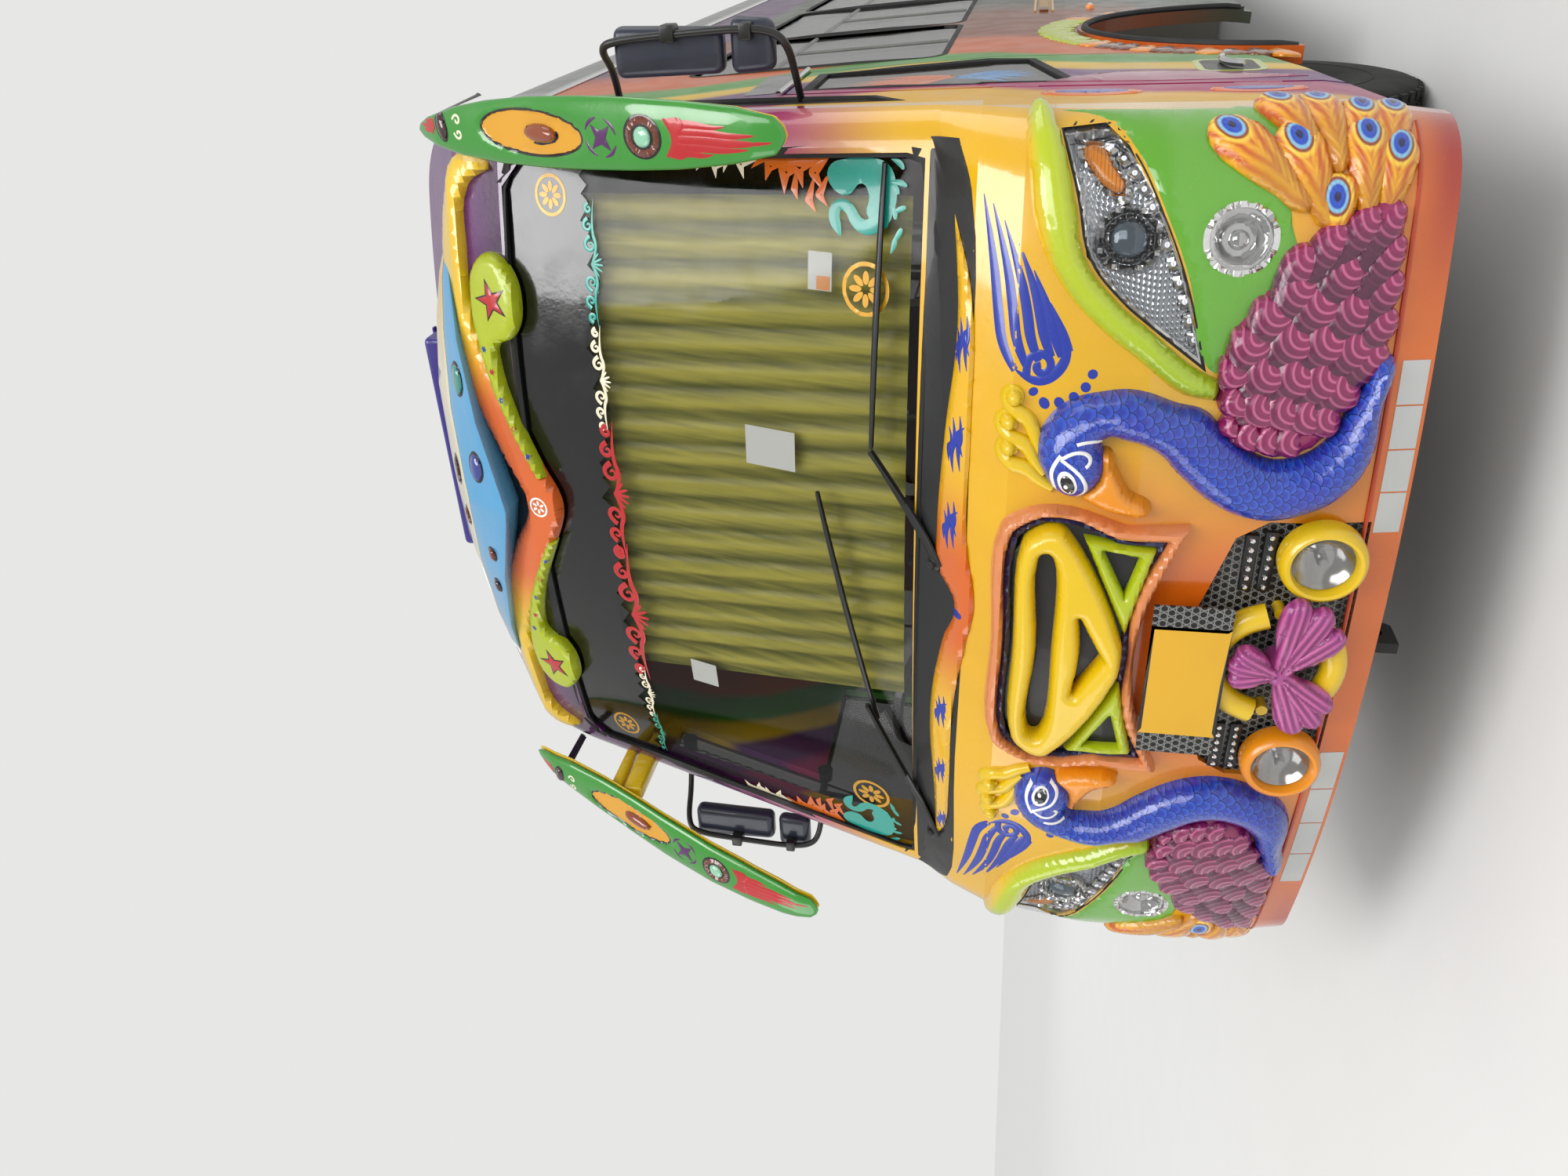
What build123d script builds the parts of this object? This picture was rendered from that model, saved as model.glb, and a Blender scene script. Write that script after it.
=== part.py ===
from build123d import *
import os
from math import acos, atan2, cos, degrees, pi, sin, sqrt

# Decorated coach. X is across (positive on the bus's own left), Y runs back from the
# front plane while the parts are made, Z is up from the ground. Millimetres.

# Overall body
LENGTH = 11000.0
HALF_WIDTH = 1300.0
ROOF_Z = 3400.0
ROOF_EDGE_Z = 2955.0
ROOF_EDGE_HALF = 1215.0
ROOF_CORNER_R = 290.0
BELT_Z = 1455.0
WALL = 45.0
SEAM = 0.3

# Running gear
WHEELBASE = 5640.0
FRONT_AXLE_Y = 2100.0
REAR_AXLE_Y = FRONT_AXLE_Y + WHEELBASE
TYRE_R = 525.0
TYRE_WIDTH = 275.0
RIM_R = 254.0
FRONT_TRACK = 2000.0
TWIN_SPACING = 322.0
REAR_TRACK = 1850.0
KINGPIN_X = 850.0
ARCH_R = 630.0

# Ladder frame and floor
RAIL_OUTER = 432.5
RAIL_DEPTH = 240.0
RAIL_FLANGE = 75.0
RAIL_THICK = 8.0
RAIL_TOP = 870.0
FLOOR_Z = 985.0
FLOOR_THICK = 40.0
SKIRT_Z = 500.0
LIP_Z = 385.0

# Front seams
COWL_END_Y = 470.0
FRONT_R = 3700.0
REAR_CORNER_R = 160.0

# Windows
SILL_Z = 1640.0
WINDOW_TOP_Z = 2500.0
GLASS_THICK = 8.0

# Entry door
DOOR_FRONT_Y = 780.0
DOOR_REAR_Y = 1420.0
DOOR_TOP_Z = 2050.0
PILLAR_RAKE = 0.30
PILLAR_FOOT_Y = 550.0
GAP = 8.0
HINGE_R = 8.0
HINGE_REACH = 10.5
HINGE_LEAF = 60.0
FLARE_WIDTH = 34.0
FLARE_PROUD = 8.0
RUB_Z = 1290.0
RUB_HEIGHT = 36.0

# Cutters: reach past the body across it, inner limit beside a wall, end of the front dome
WIDE = 1500.0
CUT_IN = 1000.0
DOME_END_Y = 1500.0

# Plan sections of the body: height, setback of the front's centre line,
# half width, front corner radius, lean of the back
SECTIONS = (
    (LIP_Z, 50.0, 1274.0, 230.0, 20.0),
    (600.0, 12.0, 1302.0, 230.0, 0.0),
    (1020.0, 0.0, 1302.0, 230.0, 0.0),
    (1340.0, 47.0, 1302.0, 230.0, 0.0),
    (BELT_Z, 125.0, 1302.0, 190.0, 0.0),
    (1560.0, 229.0, 1296.0, 130.0, 5.0),
    (ROOF_EDGE_Z, 707.0, 1217.0, 120.0, 75.0),
    (3150.0, 800.0, 1206.0, 120.0, 90.0),
    (3420.0, 1130.0, 1190.0, 120.0, 130.0),
)


def plan_outline(z, setback, half, corner, lean, inset):
    """Plan outline at one height: bowed front, corner arcs, sides and back."""
    bow = FRONT_R - inset
    centre_y = setback + FRONT_R
    r = corner - inset
    x = half - inset
    corner_y = centre_y - sqrt((bow - r) ** 2 - (x - r) ** 2)
    reach = bow / (bow - r)
    tangent = ((x - r) * reach, centre_y + (corner_y - centre_y) * reach)
    turn = 0.5 * acos((centre_y - corner_y) / (bow - r)) + pi / 4
    middle = (x - r + r * sin(turn), corner_y - r * cos(turn))
    back = LENGTH - lean - inset
    rear_r = REAR_CORNER_R - inset
    diagonal = rear_r * (1 - sqrt(0.5))
    edges = [
        ThreePointArc((-tangent[0], tangent[1]), (0, setback + inset), tangent),
        ThreePointArc(tangent, middle, (x, corner_y)),
        Line((x, corner_y), (x, back - rear_r)),
        ThreePointArc((x, back - rear_r), (x - diagonal, back - diagonal), (x - rear_r, back)),
        Line((x - rear_r, back), (-x + rear_r, back)),
        ThreePointArc((-x + rear_r, back), (-x + diagonal, back - diagonal), (-x, back - rear_r)),
        Line((-x, back - rear_r), (-x, corner_y)),
        ThreePointArc((-x, corner_y), (-middle[0], middle[1]), (-tangent[0], tangent[1])),
    ]
    return Pos(0, 0, z) * make_face(edges)


def cross_section(inset, low_z):
    """Section across the body: upright sides, tumblehome and a crowned roof."""
    edge = ROOF_EDGE_HALF - inset
    shoulder_z = ROOF_Z - 60.0 - inset
    shoulder = edge - (shoulder_z - ROOF_EDGE_Z) * 0.057
    side = HALF_WIDTH - inset
    right = [
        (side - 28.0, low_z), (side, 600.0), (side, BELT_Z), (edge, ROOF_EDGE_Z), (shoulder, shoulder_z),
    ]
    left = [(-x, z) for x, z in right]
    crown = ThreePointArc(right[-1], (0, ROOF_Z - inset), left[-1])
    face = make_face([Polyline(*right), crown, Polyline(*left[::-1]), Line(left[0], right[0])])
    corners = [v for v in face.vertices() if v.Y > shoulder_z - 1.0]
    return fillet(corners, ROOF_CORNER_R - inset)


def along_y(sketch, y0, y1):
    """Extrude an X-Z sketch from y0 to y1."""
    return extrude(Plane.XZ.offset(-y0) * sketch, amount=y1 - y0, dir=(0, 1, 0))


def along_x(sketch, x0, x1):
    """Extrude a Y-Z sketch from x0 to x1."""
    return extrude(Plane.YZ.offset(x0) * sketch, amount=x1 - x0, dir=(1, 0, 0))


def block(x0, x1, y0, y1, z0, z1):
    """Box between two corners."""
    return Pos((x0 + x1) / 2, (y0 + y1) / 2, (z0 + z1) / 2) * Box(x1 - x0, y1 - y0, z1 - z0)


def both(shape):
    """A shape and its mirror image across the centre plane."""
    return shape + mirror(shape, Plane.YZ)


def half_span(side):
    """Extent across of a cutter on one side of the centre plane."""
    return min(0, side * WIDE), max(0, side * WIDE)


def symmetrical(shape, side):
    """One half of a shape together with its mirror image."""
    return both(shape & block(*half_span(side), -200, LENGTH + 100, 0, ROOF_Z + 100))


def envelope(inset, low_z):
    """Closed body volume, inset from the outer skin."""
    rows = [plan_outline(*row, inset) for row in SECTIONS]
    if inset:
        first = SECTIONS[0]
        rows.insert(0, plan_outline(low_z - 10.0, *first[1:], inset))
    tower = loft(rows, ruled=True)
    return tower & along_y(cross_section(inset, low_z), -50.0, LENGTH + 50.0)


def mirrored_face(points):
    """Face from the right half of a symmetrical outline, bottom or top first."""
    return make_face(Polyline(*points, *[(-x, z) for x, z in points[::-1]], close=True))


def face_of(points):
    """Face inside a closed outline."""
    return make_face(Polyline(*points, close=True))


OUTER = envelope(0.0, LIP_Z)
INNER = envelope(WALL, LIP_Z - 60.0)
SHELL = OUTER - INNER


def relief(sketch, height, sink=0.0):
    """Raised piece that follows the front skin and stands off it by a height."""
    tool = along_y(sketch, -400.0, 1300.0)
    return (tool & (Pos(0, -height, 0) * OUTER)) - (Pos(0, sink, 0) * OUTER)


def hinge(x, y, z, axis, fixed_way):
    """Two barrels end to end: (fixed one, moving one) with their webs."""
    place = Plane(origin=(x, y, z), x_dir=fixed_way, z_dir=axis)
    half = HINGE_LEAF / 2
    web = HINGE_REACH + 6.0
    still = Cylinder(HINGE_R, HINGE_LEAF) + Pos(web / 2, 0, 0) * Box(web, 2 * HINGE_R, HINGE_LEAF)
    moving = Cylinder(HINGE_R, HINGE_LEAF) + Pos(-web / 2, 0, 0) * Box(web, 2 * HINGE_R, HINGE_LEAF)
    return place * Pos(0, 0, half + SEAM / 2) * still, place * Pos(0, 0, -half - SEAM / 2) * moving


def pillar_y(z, behind=0.0):
    """Raked line of the windscreen pillar, or a line parallel behind it."""
    return PILLAR_FOOT_Y + behind + PILLAR_RAKE * (z - BELT_Z)


PARTS = {}


# Front mouldings, cut from the shell where the real panels meet
front_zone = block(-WIDE, WIDE, -100, COWL_END_Y, 0, BELT_Z)
pillar_profile = face_of([
    (-100, BELT_Z), (pillar_y(BELT_Z), BELT_Z), (pillar_y(ROOF_EDGE_Z), ROOF_EDGE_Z), (-100, ROOF_EDGE_Z),
])
pillar_zone = along_x(pillar_profile, -WIDE, WIDE)
dome_zone = block(-WIDE, WIDE, 0, DOME_END_Y, ROOF_EDGE_Z, ROOF_Z + 100)

moulding = SHELL & (front_zone + pillar_zone)

# Headlamps: outline from the inner tip up and round to the outer end
HEADLAMP = [
    (768, 900), (856, 1020), (920, 1104), (1006, 1186), (1118, 1210), (1270, 1262), (1280, 1160),
    (1240, 1106), (1123, 1032), (959, 958),
]
lamp_sketch = face_of(HEADLAMP)
lamp_tool = both(along_y(lamp_sketch, -100, COWL_END_Y))
moulding -= lamp_tool
PARTS["headlamps"] = (lamp_tool & OUTER) - INNER

# Mesh intake: arched opening with the lower grille plate behind it
MESH = [(395, 462), (395, 700), (350, 775), (155, 842)]
mesh_sketch = mirrored_face(MESH)
moulding -= along_y(mesh_sketch, -100, COWL_END_Y)
PARTS["grille_mesh"] = along_y(mesh_sketch, -100, 400) & ((Pos(0, 20, 0) * OUTER) - (Pos(0, 26, 0) * OUTER))

# Fog lamps in the green corner panels
FOG_X = 1051.0
FOG_Z = 846.0
FOG_R = 78.0
fog_tool = both(along_y(Pos(FOG_X, FOG_Z) * Circle(FOG_R), -100, COWL_END_Y))
moulding -= fog_tool

# Round lamps that stand in the mesh opening
ROUND_X = 312.0
ROUND_Z = 572.0
ROUND_GLASS_R = 73.0
ROUND_RIM_R = 104.0
RING_X = 8.0
RING_Z = 645.0
RING_R = 187.0
RING_HOLE_R = 115.0
ROUND_FRONT_Y = -40.0
RING_BREAK = 56.0
RING_PEG = 107.0
BOW_FRONT_Y = -80.0
BOW_BACK_Y = -50.0
MESH_FACE = Pos(0, 20, 0) * OUTER
round_place = Pos(ROUND_X, ROUND_Z)
round_bodies = both(along_y(round_place * Circle(ROUND_GLASS_R), ROUND_FRONT_Y + 15, 80.0)) - MESH_FACE
small_lamps = round_bodies + ((fog_tool & (Pos(0, 15, 0) * OUTER)) - INNER)
rim_face = Circle(ROUND_RIM_R) - Circle(ROUND_GLASS_R)
lamp_rims = both(along_y(round_place * rim_face, ROUND_FRONT_Y, 24.0))
ring_face = (Circle(RING_R) - Circle(RING_HOLE_R)) - Rectangle(2 * RING_R + 20, RING_BREAK)
ring = along_y(Pos(RING_X, RING_Z) * ring_face, BOW_BACK_Y, 14.0)
for x in (-RING_PEG, RING_PEG):
    for z in (-RING_PEG, RING_PEG):
        ring += along_y(Pos(RING_X + x, RING_Z + z) * Circle(15), 0.0, 80.0) - MESH_FACE
step_face = Circle(ROUND_RIM_R - 12) - Circle(ROUND_GLASS_R)
rim_step = both(along_y(round_place * step_face, ROUND_FRONT_Y - 8, 0.0))
PARTS["ring_rims"] = ((lamp_rims + rim_step) - OUTER) + ring

# Pleated bow over the ring
BOW = [
    (-188, 610), (-175, 560), (-104, 487), (-40, 560), (0, 600), (60, 560), (150, 497), (225, 560),
    (232, 644), (140, 660), (60, 668), (70, 735), (20, 755), (-31, 740), (-30, 680), (-110, 655),
]
bow_knot = along_y(Pos(RING_X, 632) * Circle(40), BOW_FRONT_Y - 8, 18.0)
PARTS["bow"] = along_y(face_of(BOW), BOW_FRONT_Y, BOW_BACK_Y) + bow_knot

# Patterned grille panel: salmon frame with a yellow mouth and lime triangles
FRAME = [(340, 1352), (376, 1318), (410, 1216), (358, 1040), (380, 887), (285, 927), (105, 972)]
NAVY = [(330, 1316), (390, 1204), (345, 1075), (339, 934), (180, 989), (95, 995)]
MOUTH = [(305, 1291), (337, 1272), (365, 1205), (350, 1178), (35, 1020)]
frame_face = mirrored_face(FRAME) - mirrored_face(NAVY)
frame_piece = relief(frame_face, 55.0)
mouth_face = mirrored_face(MOUTH) - mirrored_face([(278, 1243), (278, 1218)])
mouth_face -= face_of([(-97, 1125), (97, 1125), (0, 1080)])
lime = face_of([(342, 1139), (80, 1012), (320, 957)]) - face_of([(312, 1080), (215, 1020), (300, 995)])
mouth_lip = mirrored_face([(290, 1282), (322, 1262), (346, 1205), (332, 1186), (40, 1042)])
mouth_lip -= mirrored_face([(292, 1256), (292, 1205)]) + face_of([(-120, 1138), (120, 1138), (0, 1066)])
PARTS["grille_mouth"] = relief(mouth_face, 56.0) + relief(mouth_lip, 75.0)
PARTS["grille_frame"] = frame_piece + both(relief(lime, 45.0))

# Brow over each headlamp, green corner panel below it
BROW = [
    (678, 873), (705, 939), (768, 1029), (858, 1155), (943, 1240), (1056, 1304), (1184, 1330),
    (1278, 1345), (1301, 1329), (1300, 1299), (1279, 1273), (1118, 1216), (1006, 1192), (914, 1108),
    (850, 1024), (765, 908), (740, 850),
]

# Peacock pair: neck and head, wing, tail feathers and crest
NECK = [
    (604, 1264), (670, 1213), (705, 1121), (713, 1039), (687, 952), (671, 887), (640, 850), (600, 800),
    (562, 740), (560, 680), (600, 610), (700, 560), (807, 493), (674, 489), (557, 497), (477, 547),
    (433, 619), (410, 700), (415, 772), (448, 848), (509, 926), (575, 997), (594, 1056), (592, 1113),
    (546, 1102), (491, 1113), (447, 1161), (451, 1213), (498, 1256), (552, 1274),
]
WING = [
    (640, 812), (677, 858), (748, 857), (837, 850), (911, 799), (1008, 733), (1046, 693), (1084, 628),
    (1143, 528), (1130, 508), (1097, 500), (893, 497), (812, 500), (705, 562), (605, 614), (566, 682),
    (566, 740),
]
BEAK = [
    (438, 1152), (417, 1099), (408, 1041), (415, 998), (436, 986), (468, 1039), (518, 1072), (569, 1105),
    (470, 1120),
]
CREST = [
    (437, 1233), (474, 1259), (545, 1270), (600, 1267), (660, 1330), (650, 1362), (612, 1362), (575, 1372),
    (540, 1352), (505, 1360), (480, 1330),
]
neck_face = face_of(NECK)
wing_face = face_of(WING) - neck_face
beak_face = face_of(BEAK) - neck_face
crest_face = face_of(CREST) - neck_face
PARTS["headlamp_brows"] = both(relief(face_of(BROW) - wing_face, 45.0))
# Scalloped rows of covert feathers: height, then the middles of their tips
COVERT_R = 36.0
COVERTS = (
    (56.0, ((660, 680), (700, 640), (770, 612), (840, 596), (910, 600), (975, 620), (1025, 655), (650, 740),
            (730, 700), (810, 680), (890, 680), (950, 700), (700, 770), (800, 750), (880, 750), (640, 790),
            (740, 810), (820, 815))),
    (70.0, ((650, 745), (700, 705), (760, 690), (820, 705), (870, 735), (700, 765), (780, 765), (660, 800),
            (740, 810))),
)
wing = relief(wing_face, 44.0)
for height, tips in COVERTS:
    scallops = Sketch() + [Pos(x, z) * RegularPolygon(COVERT_R, 10) for x, z in tips]
    wing += relief(scallops & wing_face, height)
PARTS["peacock_wings"] = both(wing)
# Tail feathers: tip, root and half width
PLUMES = (
    (1296, 960, 1070, 700, 52), (1297, 840, 1085, 680, 48), (1280, 730, 1075, 660, 46),
    (1297, 690, 1120, 640, 46), (1190, 690, 1060, 640, 44), (1297, 560, 1130, 600, 46),
    (1250, 560, 1090, 590, 46),
)
plume_sketch = Sketch()
for x, z, root_x, root_z, half in PLUMES:
    run = sqrt((x - root_x) ** 2 + (z - root_z) ** 2)
    turn = degrees(atan2(z - root_z, x - root_x))
    kite = [(0, 12), (run * 0.6, half), (run * 0.85, half * 0.9), (run * 0.97, half * 0.5), (run, 0)]
    plume_face = face_of(kite + [(a, -b) for a, b in kite[3::-1]])
    plume_sketch += Pos(root_x, root_z) * Rot(0, 0, turn) * plume_face
tail_limit = face_of([(1040, 520), (1285, 520), (1285, 970), (1040, 970)])
plume_sketch = (plume_sketch & tail_limit) - wing_face
PARTS["peacock_tails"] = both(relief(plume_sketch, 24.0))
neck_core = offset(neck_face, amount=-20.0, kind=Kind.INTERSECTION)
head = relief(neck_face, 66.0) + relief(neck_core, 90.0)
head = head + relief(beak_face, 60.0) + relief(crest_face, 30.0)
for x, z in ((548, 1346), (613, 1350), (672, 1336)):
    head += relief(Pos(x, z) * Circle(24), 44.0)
PARTS["peacock_necks"] = both(head)

# Number plate bracket, blank
PLATE_X = -35.0
PLATE_Z = 861.0
plate_face = Pos(PLATE_X, PLATE_Z) * Rectangle(460, 195)
plate_stem = relief(Pos(PLATE_X, PLATE_Z + 60) * Rectangle(60, 40), 61.0)
PARTS["grille_mesh"] += along_y(plate_face, -64.0, -58.0) + plate_stem

# Windscreen opening and glass
SCREEN = [(1182, 1592), (1192, 1640), (1118, 2860), (1030, 2942)]
screen_tool = along_y(mirrored_face(SCREEN), 0, 1200)
PARTS["front_moulding"] = symmetrical(moulding - screen_tool, -1)
PARTS["windscreen"] = (screen_tool & (Pos(0, 18, 0) * OUTER)) - (Pos(0, 18 + GLASS_THICK, 0) * OUTER)
PARTS["roof_dome"] = symmetrical(SHELL & dome_zone, 1)

# Wavy band on the ledge below the windscreen
BAND = [
    (60, 1412), (250, 1445), (550, 1440), (880, 1448), (1047, 1500), (700, 1497), (330, 1530), (140, 1522),
    (60, 1478),
]
PARTS["cowl_band"] = relief(mirrored_face(BAND), 18.0)

# Side panels
side_zone = block(0, WIDE, 0, LENGTH - 400, 0, ROOF_EDGE_Z) - front_zone - pillar_zone
slope_face = face_of([(0, 0), (FRONT_AXLE_Y, 0), (FRONT_AXLE_Y, 860), (480, 470), (0, 470)])
slope = along_x(slope_face, -WIDE, WIDE)
skirt_cut = slope + block(-WIDE, WIDE, FRONT_AXLE_Y, LENGTH, 0, SKIRT_Z)
arch_cut = Part()
for axle_y in (FRONT_AXLE_Y, REAR_AXLE_Y):
    arch_cut += along_x(Pos(axle_y, TYRE_R) * Circle(ARCH_R), -WIDE, WIDE)
left_wall = (SHELL & side_zone) - skirt_cut - arch_cut
right_wall = mirror(left_wall, Plane.YZ)

# Window bays down each side: start, end
FIRST_BAY = (1560.0, 2560.0)
BAY_COUNT = 6
BAY_START = 2640.0
BAY_END = 10350.0
PILLAR = 80.0
bay_pitch = (BAY_END - BAY_START + PILLAR) / BAY_COUNT
BAYS = [FIRST_BAY]
for i in range(BAY_COUNT):
    BAYS.append((BAY_START + i * bay_pitch, BAY_START + (i + 1) * bay_pitch - PILLAR))


def bay_tool(y0, y1, z0, z1, x0, x1):
    """Cutter for a window with rounded corners."""
    sketch = Pos((y0 + y1) / 2, (z0 + z1) / 2) * RectangleRounded(y1 - y0, z1 - z0, 60)
    return along_x(sketch, x0, x1)


GLASS_RECESS = 6.0
glass_outside = OUTER & along_y(cross_section(GLASS_RECESS, LIP_Z - 50), 0, LENGTH)
GLASS_BAND = glass_outside - along_y(cross_section(GLASS_RECESS + GLASS_THICK, 200.0), 0, LENGTH)

# Quarter light behind the windscreen pillar
QUARTER_TOP = WINDOW_TOP_Z + 120
QUARTER = [
    (pillar_y(1690, 40), 1690), (pillar_y(1780, 140), 1780), (pillar_y(QUARTER_TOP, 150), QUARTER_TOP),
    (pillar_y(QUARTER_TOP, 25), QUARTER_TOP),
]
quarter_tool = along_x(face_of(QUARTER), CUT_IN, WIDE)

left_tools = Part()
for start, end in BAYS:
    left_tools += bay_tool(start, end, SILL_Z, WINDOW_TOP_Z, CUT_IN, WIDE)
left_tools += quarter_tool
left_glass = left_tools & GLASS_BAND

# Entry door, on the left ahead of the front wheel
def door_outline(front, top, rear):
    """Door leaf with its upper front edge raked like the pillar."""
    lean = PILLAR_RAKE * (top - BELT_Z)
    leaf = face_of([(front, 0), (front, BELT_Z), (front + lean, top), (rear, top), (rear, 0)])
    return along_x(leaf, 0, WIDE)


door_zone = door_outline(DOOR_FRONT_Y, DOOR_TOP_Z, DOOR_REAR_Y)
door_cut = door_outline(DOOR_FRONT_Y - 2 * HINGE_REACH, DOOR_TOP_Z + GAP, DOOR_REAR_Y + GAP)
DOOR_WINDOW = [(860, 1235), (1330, 1350), (1330, 1985), (1010, 1985), (860, 1500)]
door_window = along_x(face_of(DOOR_WINDOW), CUT_IN, WIDE)
door = (left_wall & door_zone) - door_window
left_wall = left_wall - left_tools - door_cut
door_axis_x = HALF_WIDTH - HINGE_R
door_axis_y = DOOR_FRONT_Y - HINGE_REACH
for z in (760.0, 1380.0):
    still, moving = hinge(door_axis_x, door_axis_y, z, (0, 0, 1), (0, -1, 0))
    left_wall += still
    door += moving
PARTS["entry_door"] = door
PARTS["entry_door_glass"] = door_window & GLASS_BAND

# Driver's window and emergency door, on the right
EXIT_WIDTH = 770.0
EXIT_REAR_Y = BAYS[-1][1]
EXIT_FRONT_Y = EXIT_REAR_Y - EXIT_WIDTH
DRIVER_WINDOW = [(760, 1400), (1440, 1400), (1440, 1990), (800, 1990)]
driver_tool = mirror(along_x(face_of(DRIVER_WINDOW), CUT_IN, WIDE), Plane.YZ)
right_tools = driver_tool + mirror(quarter_tool, Plane.YZ)
for start, end in BAYS[:-1] + [(BAYS[-1][0], EXIT_FRONT_Y - PILLAR)]:
    right_tools += mirror(bay_tool(start, end, SILL_Z, WINDOW_TOP_Z, CUT_IN, WIDE), Plane.YZ)
EXIT_LOW_Z = FLOOR_Z + 60.0
EXIT_TOP_Z = WINDOW_TOP_Z
EXIT_RIM = 90.0
exit_zone = block(*half_span(-1), EXIT_FRONT_Y, EXIT_REAR_Y, EXIT_LOW_Z, EXIT_TOP_Z)
exit_cut = block(
    *half_span(-1), EXIT_FRONT_Y - 2 * HINGE_REACH, EXIT_REAR_Y + GAP, EXIT_LOW_Z - GAP, EXIT_TOP_Z + GAP,
)
exit_window = bay_tool(
    EXIT_FRONT_Y + EXIT_RIM, EXIT_REAR_Y - EXIT_RIM, SILL_Z, WINDOW_TOP_Z - EXIT_RIM, CUT_IN, WIDE,
)
exit_window = mirror(exit_window, Plane.YZ)
exit_door = (right_wall & exit_zone) - exit_window
right_wall = right_wall - right_tools - exit_cut
exit_axis_y = EXIT_FRONT_Y - HINGE_REACH
for z in (1120.0, 1380.0):
    still, moving = hinge(-door_axis_x, exit_axis_y, z, (0, 0, 1), (0, -1, 0))
    right_wall += still
    exit_door += moving
PARTS["exit_door"] = exit_door
PARTS["exit_door_glass"] = exit_window & GLASS_BAND

# Luggage flaps below the floor between the axles
FLAP_TOP_Z = 925.0
SKIRT_TOP_Z = FLAP_TOP_Z + 2 * HINGE_REACH
FLAP_BAYS = ((4500.0, 6000.0),)
flap_axis_z = FLAP_TOP_Z + HINGE_REACH
flaps = []
walls = {1: left_wall, -1: right_wall}
for side, name in ((1, "left"), (-1, "right")):
    wall = walls[side]
    for start, end in FLAP_BAYS:
        zone = block(*half_span(side), start, end, 0, FLAP_TOP_Z)
        opening = block(*half_span(side), start - GAP, end + GAP, 0, SKIRT_TOP_Z)
        flap = wall & zone
        wall = wall - opening
        for y in (start + 200.0, end - 200.0):
            still, moving = hinge(side * door_axis_x, y, flap_axis_z, (0, 1, 0), (0, 0, 1))
            wall += still
            flap += moving
        PARTS[f"luggage_flap_{name}"] = flap
    walls[side] = wall

# Wheel arch flares, the moulding along the waist and the skirt panels
flares = Part()
for axle_y in (FRONT_AXLE_Y, REAR_AXLE_Y):
    flare_ring = Pos(axle_y, TYRE_R) * (Circle(ARCH_R + FLARE_WIDTH) - Circle(ARCH_R))
    flare = along_x(flare_ring, HALF_WIDTH - WALL, HALF_WIDTH + FLARE_PROUD)
    flares += flare - block(0, WIDE, 0, LENGTH, -300, SKIRT_Z + 30)
rub_across = (HALF_WIDTH - 10, HALF_WIDTH + FLARE_PROUD)
rub_split_y = EXIT_FRONT_Y - 60
rub_rail = block(*rub_across, FIRST_BAY[1] + 300, rub_split_y, RUB_Z, RUB_Z + RUB_HEIGHT)
rail_end = block(*rub_across, rub_split_y, BAY_END, RUB_Z, RUB_Z + RUB_HEIGHT)
right_flares = mirror(flares, Plane.YZ)
skirt_zone = block(-WIDE, WIDE, FRONT_AXLE_Y, LENGTH, 0, SKIRT_TOP_Z)
PARTS["skirt_left"] = (walls[1] & skirt_zone) - flares
PARTS["skirt_right"] = (walls[-1] & skirt_zone) - right_flares
PARTS["side_left"] = (walls[1] - skirt_zone) + flares + rub_rail + rail_end
PARTS["side_right"] = (walls[-1] - skirt_zone) + right_flares + mirror(rub_rail, Plane.YZ)
PARTS["side_glass_left"] = left_glass
PARTS["side_glass_right"] = right_tools & GLASS_BAND

# Back panel with its window, tail lamps and boot lid
BOOT_HALF = 800.0
REAR_BUMPER_HALF = 1120.0
BOOT_LOW_Z = 1020.0
BOOT_TOP_Z = 1580.0
rear_zone = block(-WIDE, WIDE, LENGTH - 400, LENGTH + 100, SKIRT_Z, ROOF_EDGE_Z)
rear_wall = SHELL & rear_zone
rear_window_face = Pos(0, 2250) * RectangleRounded(1800, 900, 120)
rear_window = along_y(rear_window_face, LENGTH - 300, LENGTH + 100)
PARTS["rear_glass"] = (rear_window & (Pos(0, -8, 0) * OUTER)) - (Pos(0, -8 - GLASS_THICK, 0) * OUTER)
through_back = (LENGTH - 300, LENGTH + 100)
boot_zone = block(-BOOT_HALF, BOOT_HALF, *through_back, BOOT_LOW_Z, BOOT_TOP_Z)
boot_cut = block(
    -BOOT_HALF - GAP, BOOT_HALF + GAP, *through_back, BOOT_LOW_Z - GAP, BOOT_TOP_Z + 2 * HINGE_REACH,
)
boot_lid = rear_wall & boot_zone
tail_tool = both(along_y(Pos(1050, 1250) * Rectangle(160, 420), *through_back))
rear_wall = rear_wall - rear_window - boot_cut - tail_tool
boot_axis_z = BOOT_TOP_Z + HINGE_REACH
for x in (-600.0, 600.0):
    still, moving = hinge(x, LENGTH - HINGE_R, boot_axis_z, (1, 0, 0), (0, 0, 1))
    rear_wall += still
    boot_lid += moving
bumper = block(-REAR_BUMPER_HALF, REAR_BUMPER_HALF, LENGTH - WALL, LENGTH, SKIRT_Z - 70, SKIRT_Z + 20)
PARTS["rear_panel"] = rear_wall + bumper
PARTS["boot_lid"] = boot_lid
small_lamps += tail_tool & SHELL

# Roof behind the front dome
PARTS["roof_panel"] = SHELL & block(-WIDE, WIDE, DOME_END_Y, LENGTH + 100, ROOF_EDGE_Z, ROOF_Z + 100)

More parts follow.
